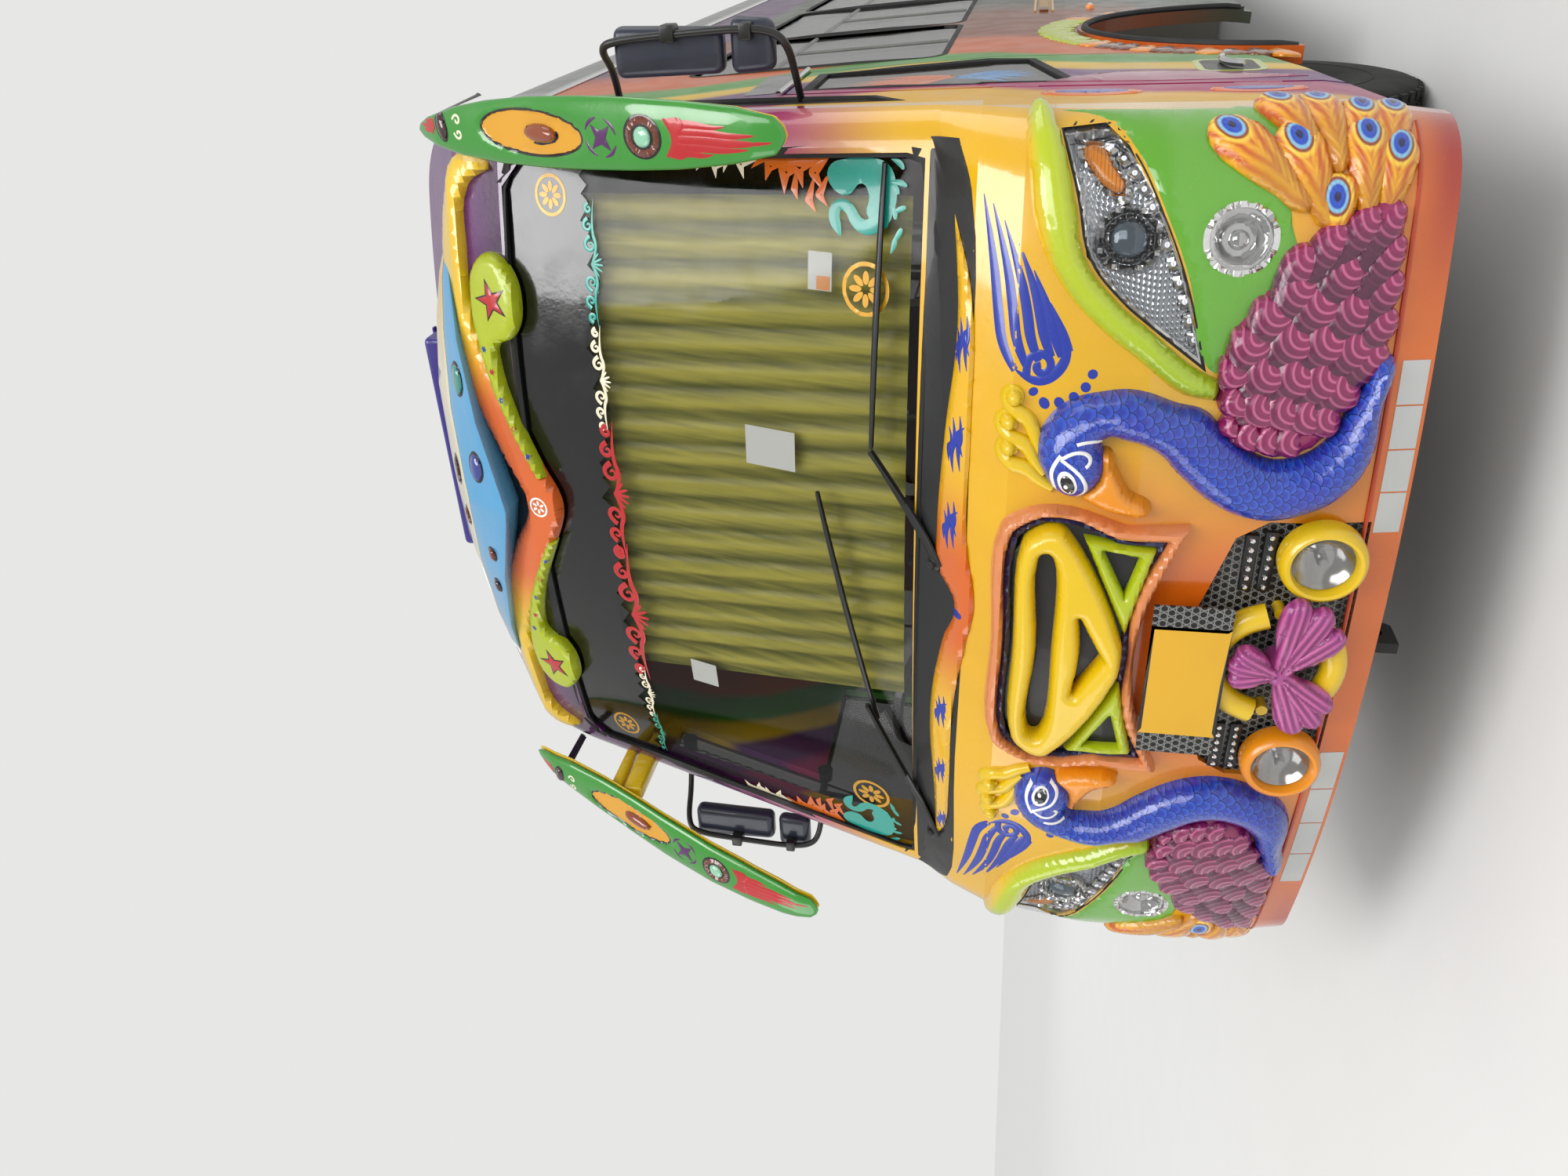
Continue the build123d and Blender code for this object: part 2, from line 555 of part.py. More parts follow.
# Roof front ornament: arched yellow band, lime bars with discs, faceted crest
ARCH_BAND = [
    (1121, 3075), (1104, 3138), (996, 3202), (778, 3259), (640, 3262), (600, 3110), (828, 3105), (1022, 3087),
    (1080, 2990), (1101, 2985),
]
roof_trim = both(relief(face_of(ARCH_BAND), 30.0))
LIME_BAR = [
    (110, 2872), (330, 2966), (520, 3010), (600, 2915), (700, 2895), (790, 2930), (837, 2986), (801, 3078),
    (700, 3098), (594, 3070), (380, 3020), (300, 2990), (110, 2900),
]
roof_trim += both(relief(face_of(LIME_BAR), 46.0) + relief(Pos(700, 2990) * Circle(98), 58.0))
VEE = [(60, 2835), (146, 2873), (404, 2996), (578, 3072), (560, 3125), (300, 3075), (60, 3000)]
PARTS["roof_trim"] = roof_trim + relief(mirrored_face(VEE), 45.0)
CREST_OUTLINE = [
    (60, 3010), (300, 3085), (560, 3135), (700, 3160), (800, 3230), (560, 3300), (200, 3380), (50, 3395),
]
CREST_LOWER = [(60, 3030), (300, 3100), (560, 3150), (640, 3165), (560, 3215), (200, 3285), (50, 3295)]
roof_box = block(-450, 450, 1650, 3000, ROOF_Z - 35, ROOF_Z + 90) - OUTER
crest = relief(mirrored_face(CREST_OUTLINE), 90.0) + relief(mirrored_face(CREST_LOWER), 125.0)
PARTS["roof_crest"] = (crest + roof_box) - PARTS["roof_trim"]

dome_lamp = Pos(907, 1240, 3340) * Cylinder(40, 120)
PARTS["small_lamps"] = small_lamps + both(dome_lamp - OUTER)

# Horn blades beside the windscreen, with bracket arms
HORN_FACE = [
    (1199, 3172), (1169, 3093), (1150, 2985), (1143, 2816), (1148, 2654), (1158, 2502), (1170, 2358),
    (1186, 2197), (1209, 2046), (1231, 1947), (1261, 1911), (1296, 1904), (1324, 1934), (1344, 2035),
    (1351, 2180), (1352, 2333), (1346, 2505), (1332, 2694), (1311, 2858), (1285, 2992), (1246, 3119),
]
HORN_LINE = [
    (172, 1890), (190, 1985), (252, 2150), (330, 2330), (440, 2540), (560, 2750), (740, 3080), (830, 3200),
]
HORN_THICK = 62.0
HORN_RECESS = 14.0
horn_band = along_x(face_of(HORN_LINE + [(y + HORN_THICK, z) for y, z in HORN_LINE[::-1]]), 1100, 1400)
horn = horn_band & along_y(face_of(HORN_FACE), 0, 1100)
horn_oval = along_y(Pos(1241, 2690) * Ellipse(58, 190), 0, 1100)
horn -= horn_oval & (Pos(0, HORN_RECESS - HORN_THICK, 0) * horn_band)
horn += along_y(Pos(1241, 2650) * Ellipse(26, 48), 0, 1100) & horn_band
arm = along_x(face_of([(590, 2640), (1120, 2700), (1120, 2790), (600, 2800)]), 1160, 1225) - OUTER
PARTS["horns"] = both(horn + arm)

# Mirrors on bent arms
MIRROR_Y = 700.0
upper_head = block(1345, 1480, MIRROR_Y + 20, MIRROR_Y + 90, 2175, 2490)
lower_head = block(1350, 1500, MIRROR_Y + 20, MIRROR_Y + 80, 2030, 2155)
arm_path = FilletPolyline(
    (1225, MIRROR_Y + 260, 2560), (1345, MIRROR_Y + 190, 2545), (1440, MIRROR_Y, 2520),
    (1470, MIRROR_Y, 2080), (1430, MIRROR_Y + 20, 1995), (1255, MIRROR_Y + 170, 1985), radius=45,
)
mirror_arm = sweep(Plane(arm_path @ 0, z_dir=arm_path % 0) * Circle(11), arm_path) - OUTER
clamps = block(1435, 1475, MIRROR_Y - 15, MIRROR_Y + 25, 2300, 2340)
clamps += block(1440, 1485, MIRROR_Y - 15, MIRROR_Y + 25, 2085, 2120)
PARTS["mirrors"] = both(mirror_arm + clamps + upper_head + lower_head)

# Wipers lie on the windscreen
RIGHT_WIPER = [(-987, 1500), (-955, 1490), (-515, 1700), (265, 1880), (260, 1895), (-530, 1722)]
LEFT_WIPER = [(120, 1520), (150, 1505), (435, 1710), (1220, 1690), (1222, 1705), (425, 1735)]
wipers = relief(face_of(RIGHT_WIPER), 25.0) + relief(face_of(LEFT_WIPER), 25.0)
PARTS["wipers"] = wipers - PARTS["cowl_band"]

# Ladder frame
rail_place = Pos(RAIL_OUTER - RAIL_FLANGE / 2, RAIL_TOP - RAIL_DEPTH / 2)
rail_section = rail_place * Rectangle(RAIL_FLANGE, RAIL_DEPTH)
rail_section -= rail_place * Pos(-RAIL_THICK, 0) * Rectangle(RAIL_FLANGE, RAIL_DEPTH - 2 * RAIL_THICK)
frame = both(along_y(rail_section, 350, LENGTH - 420))
rail_inner = RAIL_OUTER - RAIL_THICK
for y in (420, 2600, 3600, 5200, 6700, 8600, 10200):
    frame += block(-rail_inner, rail_inner, y, y + 90, RAIL_TOP - 200, RAIL_TOP - 60)
bearer_top = FLOOR_Z - FLOOR_THICK
for y in (500, 1400, 2800, 3990, 5470, 6990, 8450, 9500, 10450):
    frame += block(-HALF_WIDTH + WALL, HALF_WIDTH - WALL, y, y + 50, RAIL_TOP, bearer_top)

# Floor with the engine hatch, step well and wheel boxes cut away
WELL_IN = 760.0
# Treads and risers of the entry steps: inner and outer side, bottom, top
STEP_PLATES = (
    (970, 1245, 560, 590), (970, 1000, 590, 790), (WELL_IN, 970, 760, 790),
    (WELL_IN, WELL_IN + 30, 790, FLOOR_Z),
)
floor = INNER & block(-WIDE, WIDE, 300, LENGTH - 100, bearer_top, FLOOR_Z)
engine_hatch = block(-340, 340, 560, 1900, 0, FLOOR_Z + 50)
well_cut = block(WELL_IN, WIDE, DOOR_FRONT_Y - 30, DOOR_REAR_Y + 30, 0, FLOOR_Z + 50)
housing_cut = Part()
housings = Part()
for axle_y in (FRONT_AXLE_Y, REAR_AXLE_Y):
    for x0, x1 in ((520, HALF_WIDTH - WALL), (-HALF_WIDTH + WALL, -520)):
        outer_arch = along_x(Pos(axle_y, TYRE_R) * Circle(ARCH_R + 20), x0, x1)
        inner_arch = along_x(Pos(axle_y, TYRE_R) * Circle(ARCH_R), x0 - 10, x1 + 10)
        housing_cut += outer_arch
        housings += (outer_arch - inner_arch) - block(-WIDE, WIDE, 0, LENGTH, -300, 620)
hatch_cut = block(-340, 340, 560, 1900, RAIL_TOP, FLOOR_Z)
steps = [block(x0, x1, DOOR_FRONT_Y - 30, DOOR_REAR_Y + 30, z0, z1) for x0, x1, z0, z1 in STEP_PLATES]
PARTS["entry_steps"] = Compound(steps)
PARTS["chassis_frame"] = frame - housing_cut - well_cut - hatch_cut - steps
PARTS["floor_deck"] = floor - engine_hatch - well_cut - housing_cut + housings

# Towing eyes under the front and back
EYE_R = 20.0
EYE_THICK = 30.0
FRONT_EYE = [(420, 820), (510, 820), (510, 640), (200, 310), (110, 310), (110, 400)]
front_eye = along_x(face_of(FRONT_EYE), -EYE_THICK / 2, EYE_THICK / 2)
front_eye -= Pos(0, 165, 360) * Rot(0, 90, 0) * Cylinder(EYE_R, 2 * EYE_THICK)
rear_eye_y = LENGTH - 100
REAR_EYE = [
    (10200, 820), (10290, 820), (rear_eye_y + 55, 470), (rear_eye_y + 55, 380), (rear_eye_y - 55, 380),
    (10200, 640),
]
rear_eye = along_x(face_of(REAR_EYE), -EYE_THICK / 2, EYE_THICK / 2)
rear_eye -= Pos(0, rear_eye_y, 430) * Rot(0, 90, 0) * Cylinder(EYE_R, 2 * EYE_THICK)
PARTS["towing_eyes"] = (front_eye + rear_eye) - PARTS["chassis_frame"]

# Engine under its cover beside the driver
engine = block(-300, 300, 700, 1780, 640, 1300)
for y in (850, 1600):
    engine += block(-RAIL_OUTER + RAIL_THICK, RAIL_OUTER - RAIL_THICK, y, y + 80, 720, 780)
PARTS["engine_block"] = engine
cover = block(-420, 420, 520, 1940, FLOOR_Z, 1420) - block(-400, 400, 540, 1920, 0, 1400)
upright_edges = cover.edges().filter_by(Axis.Z).group_by(Axis.X)
PARTS["engine_cover"] = fillet(upright_edges[-1] + upright_edges[0], 15)

# Front axle: dropped beam with kingpins; knuckles turn on them
BOSS_H = 100.0
PIN_R = 22.0
PIN_CLEAR = 0.05
beam = along_y(face_of([
    (-KINGPIN_X, 575), (-KINGPIN_X, 475), (-700, 475), (-560, 400), (560, 400), (700, 475), (KINGPIN_X, 475),
    (KINGPIN_X, 575), (650, 575), (520, 500), (-520, 500), (-650, 575),
]), FRONT_AXLE_Y - 45, FRONT_AXLE_Y + 45)
boss = Pos(KINGPIN_X, FRONT_AXLE_Y, TYRE_R) * Cylinder(50, BOSS_H)
pin = Pos(KINGPIN_X, FRONT_AXLE_Y, TYRE_R) * Cylinder(PIN_R, BOSS_H + 100)
PARTS["front_axle"] = beam + both(boss + pin)
hub_face_x = FRONT_TRACK / 2 - 60
SPINDLE_R = 40.0
ear_foot_z = TYRE_R + BOSS_H / 2
ear = block(
    KINGPIN_X - 45, hub_face_x - 20, FRONT_AXLE_Y - 45, FRONT_AXLE_Y + 45, ear_foot_z + SEAM, ear_foot_z + 45,
)
knuckle = ear + mirror(ear, Plane(origin=(0, 0, TYRE_R), z_dir=(0, 0, 1)))
knuckle -= Pos(KINGPIN_X, FRONT_AXLE_Y, TYRE_R) * Cylinder(PIN_R + PIN_CLEAR, 400)
knuckle += block(
    KINGPIN_X + 55, hub_face_x - 6, FRONT_AXLE_Y - 60, FRONT_AXLE_Y + 60, TYRE_R - 95, TYRE_R + 95,
)
spindle_in, spindle_out = hub_face_x - 20, FRONT_TRACK / 2 + 40
spindle = Rot(0, 90, 0) * Cylinder(SPINDLE_R, spindle_out - spindle_in)
knuckle += Pos((spindle_in + spindle_out) / 2, FRONT_AXLE_Y, TYRE_R) * spindle
PARTS["knuckle_left"] = knuckle
PARTS["knuckle_right"] = mirror(knuckle, Plane.YZ)


def turned(profile, x, y):
    """Revolve a (offset along X, radius) profile about the wheel's axis."""
    return Pos(x, y, TYRE_R) * revolve(Plane.XZ * face_of(profile), Axis.X)


half = TYRE_WIDTH / 2
TYRE_PROFILE = (
    (-half + 30, RIM_R + SEAM), (-half, 390), (-half + 12, TYRE_R - 30), (-half + 40, TYRE_R),
    (half - 40, TYRE_R), (half - 12, TYRE_R - 30), (half, 390), (half - 30, RIM_R + SEAM),
)
# Front rim: profile from the inner edge; the disc sits outboard
BORE = SPINDLE_R + PIN_CLEAR
FRONT_RIM = (
    (-half + 30, RIM_R), (-half + 30, RIM_R - 20), (30, RIM_R - 40), (30, 110), (-60, 110), (-60, BORE),
    (60, BORE), (60, 0), (110, 0), (110, 85), (50, 115), (50, RIM_R - 60), (half - 30, RIM_R - 18),
    (half - 30, RIM_R),
)
for side, name in ((1, "left"), (-1, "right")):
    x = side * FRONT_TRACK / 2
    profile = [(side * dx, r) for dx, r in FRONT_RIM]
    tyre = [(side * dx, r) for dx, r in TYRE_PROFILE]
    PARTS[f"wheel_front_{name}"] = turned(profile, x, FRONT_AXLE_Y)
    PARTS[f"tyre_front_{name}"] = turned(tyre, x, FRONT_AXLE_Y)

# Rear axle and twin wheels
REAR_HUB_R = 120.0
REAR_RIM = (
    (-half + 30, RIM_R), (-half + 30, RIM_R - 18), (40, RIM_R - 40), (40, REAR_HUB_R), (60, REAR_HUB_R),
    (60, RIM_R - 40), (half - 30, RIM_R - 18), (half - 30, RIM_R),
)
for side, name in ((1, "left"), (-1, "right")):
    x = side * REAR_TRACK / 2
    rims = Part()
    tyres = Part()
    for step, flip in ((-TWIN_SPACING / 2, 1), (TWIN_SPACING / 2, -1)):
        profile = [(side * flip * dx, r) for dx, r in REAR_RIM]
        rims += turned(profile, x + side * step, REAR_AXLE_Y)
        tyres += turned(TYRE_PROFILE, x + side * step, REAR_AXLE_Y)
    hub = Pos(x + side * 40, REAR_AXLE_Y, TYRE_R) * Rot(0, 90, 0) * Cylinder(REAR_HUB_R, 330)
    hub -= Pos(x - side * 60, REAR_AXLE_Y, TYRE_R) * Rot(0, 90, 0) * Cylinder(60 + PIN_CLEAR, 200)
    PARTS[f"wheels_rear_{name}"] = rims + hub
    PARTS[f"tyres_rear_{name}"] = tyres
AXLE_HALF = REAR_TRACK / 2 + 30
AXLE_TUBE_R = 60.0
REAR_CASING = (
    (-AXLE_HALF, 0), (-AXLE_HALF, AXLE_TUBE_R), (-210, AXLE_TUBE_R), (-140, 150), (-60, 190), (60, 190),
    (140, 150), (210, AXLE_TUBE_R), (AXLE_HALF, AXLE_TUBE_R), (AXLE_HALF, 0),
)
PARTS["rear_axle"] = turned(REAR_CASING, 0, REAR_AXLE_Y)

# Leaf springs between axles and rails
springs = Part()
for axle_y, seat_z in ((FRONT_AXLE_Y, 500.0), (REAR_AXLE_Y, TYRE_R + 60)):
    leaf = along_x(face_of([
        (axle_y - 700, 700), (axle_y - 60, seat_z), (axle_y + 60, seat_z), (axle_y + 700, 700),
        (axle_y + 700, 730), (axle_y + 60, seat_z + 60), (axle_y - 60, seat_z + 60), (axle_y - 700, 730),
    ]), 440, 510)
    for step, reach in ((12, 560), (24, 420)):
        drop = 200 * reach / 640 - step
        end_z = seat_z + drop
        leaf += along_x(face_of([
            (axle_y - reach, end_z - 8), (axle_y - 60, seat_z - step), (axle_y + 60, seat_z - step),
            (axle_y + reach, end_z - 8), (axle_y + reach, end_z + 8), (axle_y + 60, seat_z + 5),
            (axle_y - 60, seat_z + 5), (axle_y - reach, end_z + 8),
        ]), 445, 505)
    leaf += block(440, 510, axle_y - 50, axle_y + 50, seat_z - 25, seat_z + 5)
    hangers = block(RAIL_OUTER, 520, axle_y - 720, axle_y - 680, 690, 820)
    hangers += block(RAIL_OUTER, 520, axle_y + 680, axle_y + 720, 690, 820)
    springs += both(leaf + hangers)
PARTS["leaf_springs"] = springs - PARTS["front_axle"] - PARTS["rear_axle"]

# Luggage bay trays behind the flaps, fuel tank ahead of them
TRAY_IN = RAIL_OUTER
TRAY_OUT = HALF_WIDTH - WALL - 30
TRAY_LOW = SKIRT_Z + 10
PLATE = 15.0
trays = []
for start, end in FLAP_BAYS:
    y0, y1 = start - 40, end + 40
    trays += [
        block(TRAY_IN, TRAY_OUT, y0, y1, TRAY_LOW, TRAY_LOW + PLATE),
        block(TRAY_IN, TRAY_OUT, y0, y0 + PLATE, TRAY_LOW + PLATE, RAIL_TOP),
        block(TRAY_IN, TRAY_OUT, y1 - PLATE, y1, TRAY_LOW + PLATE, RAIL_TOP),
        block(TRAY_IN, TRAY_IN + PLATE, y0 + PLATE, y1 - PLATE, TRAY_LOW + PLATE, RAIL_TOP),
    ]
PARTS["luggage_boxes"] = Compound(trays + [mirror(plate, Plane.YZ) for plate in trays])
tank = block(-1190, -560, 2950, 3900, 520, 850)
tank = fillet(tank.edges().filter_by(Axis.Y), 60)
for y in (3100, 3700):
    tank += block(-1180, -RAIL_OUTER, y, y + 50, 505, 520) + block(-450, -RAIL_OUTER, y, y + 50, 505, 850)
PARTS["fuel_tank"] = tank

# Seats: pairs either side of the aisle
SEAT_PITCH = 760.0
SEAT = [(0, FLOOR_Z), (420, FLOOR_Z), (420, 1180), (560, 2000), (500, 2000), (400, 1440), (0, 1440)]
seats = Part()
row_y = 2900.0
while row_y + 600 < LENGTH - 900:
    profile = [(row_y + y, z) for y, z in SEAT]
    seats += along_x(face_of(profile), 300, 1180)
    row_y += SEAT_PITCH
seats -= housing_cut
DRIVER_SEAT = [
    (1420, FLOOR_Z), (1800, FLOOR_Z), (1850, 1380), (1980, 1980), (1900, 1980), (1780, 1420), (1420, 1420),
]
driver_seat = along_x(face_of(DRIVER_SEAT), -1000, -500)
PARTS["seats"] = both(seats) + (driver_seat - housing_cut)

# Dashboard and steering wheel
DASH = [(200, FLOOR_Z), (560, FLOOR_Z), (700, 1380), (640, 1450), (200, 1450)]
dash = INNER & along_x(face_of(DASH), -1200, 600)
PARTS["dashboard"] = dash - block(-420, 420, 515, 2000, 900, 1425)
COLUMN_LENGTH = 430.0
column_place = Plane(origin=(-750, 640, 1200), x_dir=(1, 0, 0), z_dir=(0, 0.45, 0.9))
column = column_place * Pos(0, 0, COLUMN_LENGTH / 2) * Cylinder(25, COLUMN_LENGTH)
wheel_shape = Cylinder(220, 28) - Cylinder(192, 40) + Box(400, 46, 22)
PARTS["dashboard"] += column + column_place * Pos(0, 0, COLUMN_LENGTH) * wheel_shape

# Curtain behind the windscreen
curtain_sketch = face_of([(-420, 1620), (1080, 1620), (1000, 2953), (-700, 2953)])
PARTS["curtain"] = along_y(curtain_sketch, 0, 1200) & (INNER - (Pos(0, 25, 0) * INNER))

os.makedirs("parts", exist_ok=True)
for name, shape in PARTS.items():
    placed = Pos(0, -LENGTH / 2, 0) * shape
    export_step(placed, f"parts/{name}.step")
    box = placed.bounding_box()
    print(name, len(placed.solids()), [round(v) for v in (*box.min, *box.max)])
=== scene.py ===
"""Looks of the decorated coach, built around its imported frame."""
from __future__ import annotations

import logging
import math
from dataclasses import dataclass
from enum import Enum
from typing import Callable, Sequence

import bmesh
import bpy
import numpy as np
from mathutils import Matrix, Vector
from mathutils.bvhtree import BVHTree


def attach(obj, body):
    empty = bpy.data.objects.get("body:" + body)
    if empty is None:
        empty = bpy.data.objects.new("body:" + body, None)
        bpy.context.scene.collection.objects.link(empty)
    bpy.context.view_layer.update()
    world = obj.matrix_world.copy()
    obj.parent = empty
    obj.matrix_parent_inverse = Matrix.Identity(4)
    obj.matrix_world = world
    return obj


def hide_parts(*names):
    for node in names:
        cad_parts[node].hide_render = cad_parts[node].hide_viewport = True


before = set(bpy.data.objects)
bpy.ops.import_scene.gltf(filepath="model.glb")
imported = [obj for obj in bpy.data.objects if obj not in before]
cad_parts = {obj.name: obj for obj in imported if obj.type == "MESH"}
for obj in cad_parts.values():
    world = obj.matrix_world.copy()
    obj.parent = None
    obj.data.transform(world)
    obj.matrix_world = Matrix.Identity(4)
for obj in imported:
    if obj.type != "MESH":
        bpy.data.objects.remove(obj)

LOG = logging.getLogger("coach")
FRONT_Y = -5.5
LENGTH = 11.0
FRONT_AXLE = 2.1
REAR_AXLE = 7.74
AXLE_Z = 0.525
NOSE_BOW = 3.7
NOSE_CORNER = 0.23
CORNER_X = 1.072
TURN_X = 1.1431
HALF_WIDTH = 1.302
COACH = "coach"
Point = Sequence[float]
Colour = tuple[float, float, float, float]


def ink(code: str) -> Colour:
    """Linear colour of a six-figure sRGB code.

    Args:
        code: red, green and blue as hexadecimal pairs.

    Returns:
        The colour as four linear values.
    """
    parts = [int(code[i:i + 2], 16) / 255 for i in (0, 2, 4)]
    return tuple(p / 12.92 if p <= 0.04045 else ((p + 0.055) / 1.055) ** 2.4 for p in parts) + (1.0,)


class Tint(Enum):
    """Colours of the coach's paints and mouldings."""

    YELLOW = ink("DDB808")
    AMBER = ink("E08A0C")
    ORANGE = ink("D2610A")
    RED_ORANGE = ink("B83C0C")
    LIME = ink("A9B712")
    LEAF = ink("2F7A20")
    BLUE = ink("16309C")
    SKY = ink("2F7FBE")
    TEAL = ink("1F9A8C")
    NAVY = ink("141A4A")
    MAGENTA = ink("8E1450")
    PURPLE = ink("4F1A58")
    SALMON = ink("D58350")
    CREAM = ink("E8E0C4")
    WHITE = ink("E8E8E4")
    RED = ink("B4161C")
    BROWN = ink("6A3212")
    BLACK = ink("0C0C0D")
    DULL_GREEN = ink("3B4234")


class Maths:
    """A number on a node's socket; arithmetic on it adds Math nodes."""

    def __init__(self, shader: "Shader", socket: bpy.types.NodeSocket) -> None:
        """Keep the shader and the socket that carries the number."""
        self.shader = shader
        self.socket = socket

    def _op(self, kind: str, *values: "Maths | float") -> "Maths":
        """Add one Math node of a kind, fed with values."""
        return self.shader.node("ShaderNodeMath", {"operation": kind}, dict(enumerate(values)))

    def __add__(self, other: "Maths | float") -> "Maths":
        """Sum."""
        return self._op("ADD", self, other)

    __radd__ = __add__

    def __sub__(self, other: "Maths | float") -> "Maths":
        """Difference."""
        return self._op("SUBTRACT", self, other)

    def __rsub__(self, other: float) -> "Maths":
        """Difference from a plain number."""
        return self._op("SUBTRACT", other, self)

    def __mul__(self, other: "Maths | float") -> "Maths":
        """Product."""
        return self._op("MULTIPLY", self, other)

    __rmul__ = __mul__

    def __truediv__(self, other: "Maths | float") -> "Maths":
        """Quotient."""
        return self._op("DIVIDE", self, other)

    def __neg__(self) -> "Maths":
        """Negative."""
        return self._op("MULTIPLY", self, -1.0)

    def power(self, exponent: float) -> "Maths":
        """Power."""
        return self._op("POWER", self, exponent)

    def sine(self) -> "Maths":
        """Sine of an angle in radians."""
        return self._op("SINE", self)

    def size(self) -> "Maths":
        """Absolute value."""
        return self._op("ABSOLUTE", self)

    def modulo(self, step: float) -> "Maths":
        """Remainder that stays positive."""
        return self._op("FLOORED_MODULO", self, step)

    def floor(self) -> "Maths":
        """Whole part."""
        return self._op("FLOOR", self)

    def least(self, other: "Maths | float") -> "Maths":
        """Smaller of two."""
        return self._op("MINIMUM", self, other)

    def most(self, other: "Maths | float") -> "Maths":
        """Larger of two."""
        return self._op("MAXIMUM", self, other)

    def ramp(self, low: float, high: float) -> "Maths":
        """Smooth 0 to 1 between two values, the other way round if low is above high."""
        flip = low > high
        ends = (high, low) if flip else (low, high)
        settings = {"interpolation_type": "SMOOTHSTEP"}
        smooth = self.shader.node("ShaderNodeMapRange", settings, {0: self, 1: ends[0], 2: ends[1]})
        return 1.0 - smooth if flip else smooth


class Shader:
    """A material's node tree, with its wrapper for values and colours."""

    def __init__(self, name: str) -> None:
        """Start an empty tree with its surface shader."""
        self.material = bpy.data.materials.new(name)
        self.material.use_nodes = True
        self.tree = self.material.node_tree
        self.tree.nodes.clear()
        self.output = self.tree.nodes.new("ShaderNodeOutputMaterial")
        self.surface = self.tree.nodes.new("ShaderNodeBsdfPrincipled")
        self.tree.links.new(self.surface.outputs[0], self.output.inputs[0])

    def node(self, kind: str, settings: dict, inputs: dict, out: int = 0) -> Maths:
        """Add a node.

        Args:
            kind: Blender's node type.
            settings: attributes set before the sockets.
            inputs: values or links by socket name or number.
            out: number of the output that is wanted.

        Returns:
            The output, ready for arithmetic.
        """
        made = self.tree.nodes.new(kind)
        for key, value in settings.items():
            setattr(made, key, value)
        for key, value in inputs.items():
            self.feed(made.inputs[key], value)
        return Maths(self, made.outputs[out])

    def feed(self, socket: bpy.types.NodeSocket, value: "Maths | float | Colour") -> None:
        """Link a wrapped value to a socket, or set a plain one on it."""
        if isinstance(value, Maths):
            self.tree.links.new(value.socket, socket)
        else:
            socket.default_value = value

    def place(self) -> Maths:
        """Object coordinates."""
        return self.node("ShaderNodeTexCoord", {}, {}, 3)

    def axes(self) -> tuple[Maths, Maths, Maths]:
        """The three Object coordinates as numbers."""
        return self.split(self.place())

    def split(self, vector: Maths) -> tuple[Maths, Maths, Maths]:
        """The three parts of a vector."""
        made = self.node("ShaderNodeSeparateXYZ", {}, {0: vector})
        return tuple(Maths(self, socket) for socket in made.socket.node.outputs)

    def spine(self) -> tuple[Maths, Maths]:
        """Way along and way across a relief's spine, in metres."""
        along_way, across, _ = self.split(self.node("ShaderNodeUVMap", {"uv_map": "spine"}, {}))
        return along_way, across

    def noise(self, scale: float, detail: float = 3.0, vector: Maths | None = None) -> Maths:
        """Noise on Object coordinates, or on a vector of its own."""
        return self.node(
            "ShaderNodeTexNoise", {}, {"Vector": vector or self.place(), "Scale": scale, "Detail": detail}
        )

    def mix(self, factor: Maths | float, first: Maths | Colour, second: Maths | Colour) -> Maths:
        """Mix two colours by a factor."""
        return self.node("ShaderNodeMix", {"data_type": "RGBA"}, {0: factor, 6: first, 7: second}, 2)

    def layers(self, base: Maths | Colour, *steps: tuple[Maths, str]) -> Maths:
        """Lay colours over a base.

        Args:
            base: what lies below.
            steps: how far each colour covers, and its sRGB code.

        Returns:
            The colour on top.
        """
        for factor, code in steps:
            base = self.mix(factor, base, ink(code))
        return base

    def bump(self, height: Maths, depth: float) -> None:
        """Drive the surface's normal by a height."""
        bump = self.node("ShaderNodeBump", {}, {"Height": height, "Distance": depth, "Strength": 1.0})
        self.feed(self.surface.inputs["Normal"], bump)


Pattern = Callable[[Shader], Maths]


@dataclass(frozen=True)
class Finish:
    """A finish: colour or pattern, gloss, variation and grain."""

    name: str
    colour: Colour = (0.5, 0.5, 0.5, 1.0)
    rough: float = 0.3
    metal: float = 0.0
    coat: float = 0.0
    vary: float = 0.12
    grain: float = 60.0
    relief: float = 0.0004
    pattern: Pattern | None = None
    height: Pattern | None = None
    depth: float = 0.002
    glow: float = 0.0
    alpha: float = 1.0
    ior: float = 1.5

    def build(self) -> bpy.types.Material:
        """Make the material, or give back the one that is already made."""
        known = bpy.data.materials.get(self.name)
        if known:
            return known
        shader = Shader(self.name)
        surface = shader.surface
        base = self.pattern(shader) if self.pattern else self.colour
        wear = shader.noise(2.3, 5.0).ramp(0.35, 0.75)
        dark = tuple(c * 0.62 for c in self.colour[:3]) + (1.0,)
        soiled = shader.mix(wear * self.vary, base, dark if not self.pattern else (0.03, 0.025, 0.02, 1.0))
        shader.feed(surface.inputs["Base Color"], soiled)
        shader.feed(surface.inputs["Roughness"], shader.noise(9.0, 4.0).ramp(0.3, 0.8) * 0.14 + self.rough)
        surface.inputs["Metallic"].default_value = self.metal
        surface.inputs["Coat Weight"].default_value = self.coat
        surface.inputs["Coat Roughness"].default_value = 0.06
        if self.glow:
            shader.feed(surface.inputs["Emission Color"], base)
            surface.inputs["Emission Strength"].default_value = self.glow
        surface.inputs["Alpha"].default_value = self.alpha
        surface.inputs["IOR"].default_value = self.ior
        grain = shader.noise(self.grain, 3.0)
        if self.height:
            shader.bump(self.height(shader) + grain * (self.relief / self.depth), self.depth)
        else:
            shader.bump(grain, self.relief)
        return shader.material


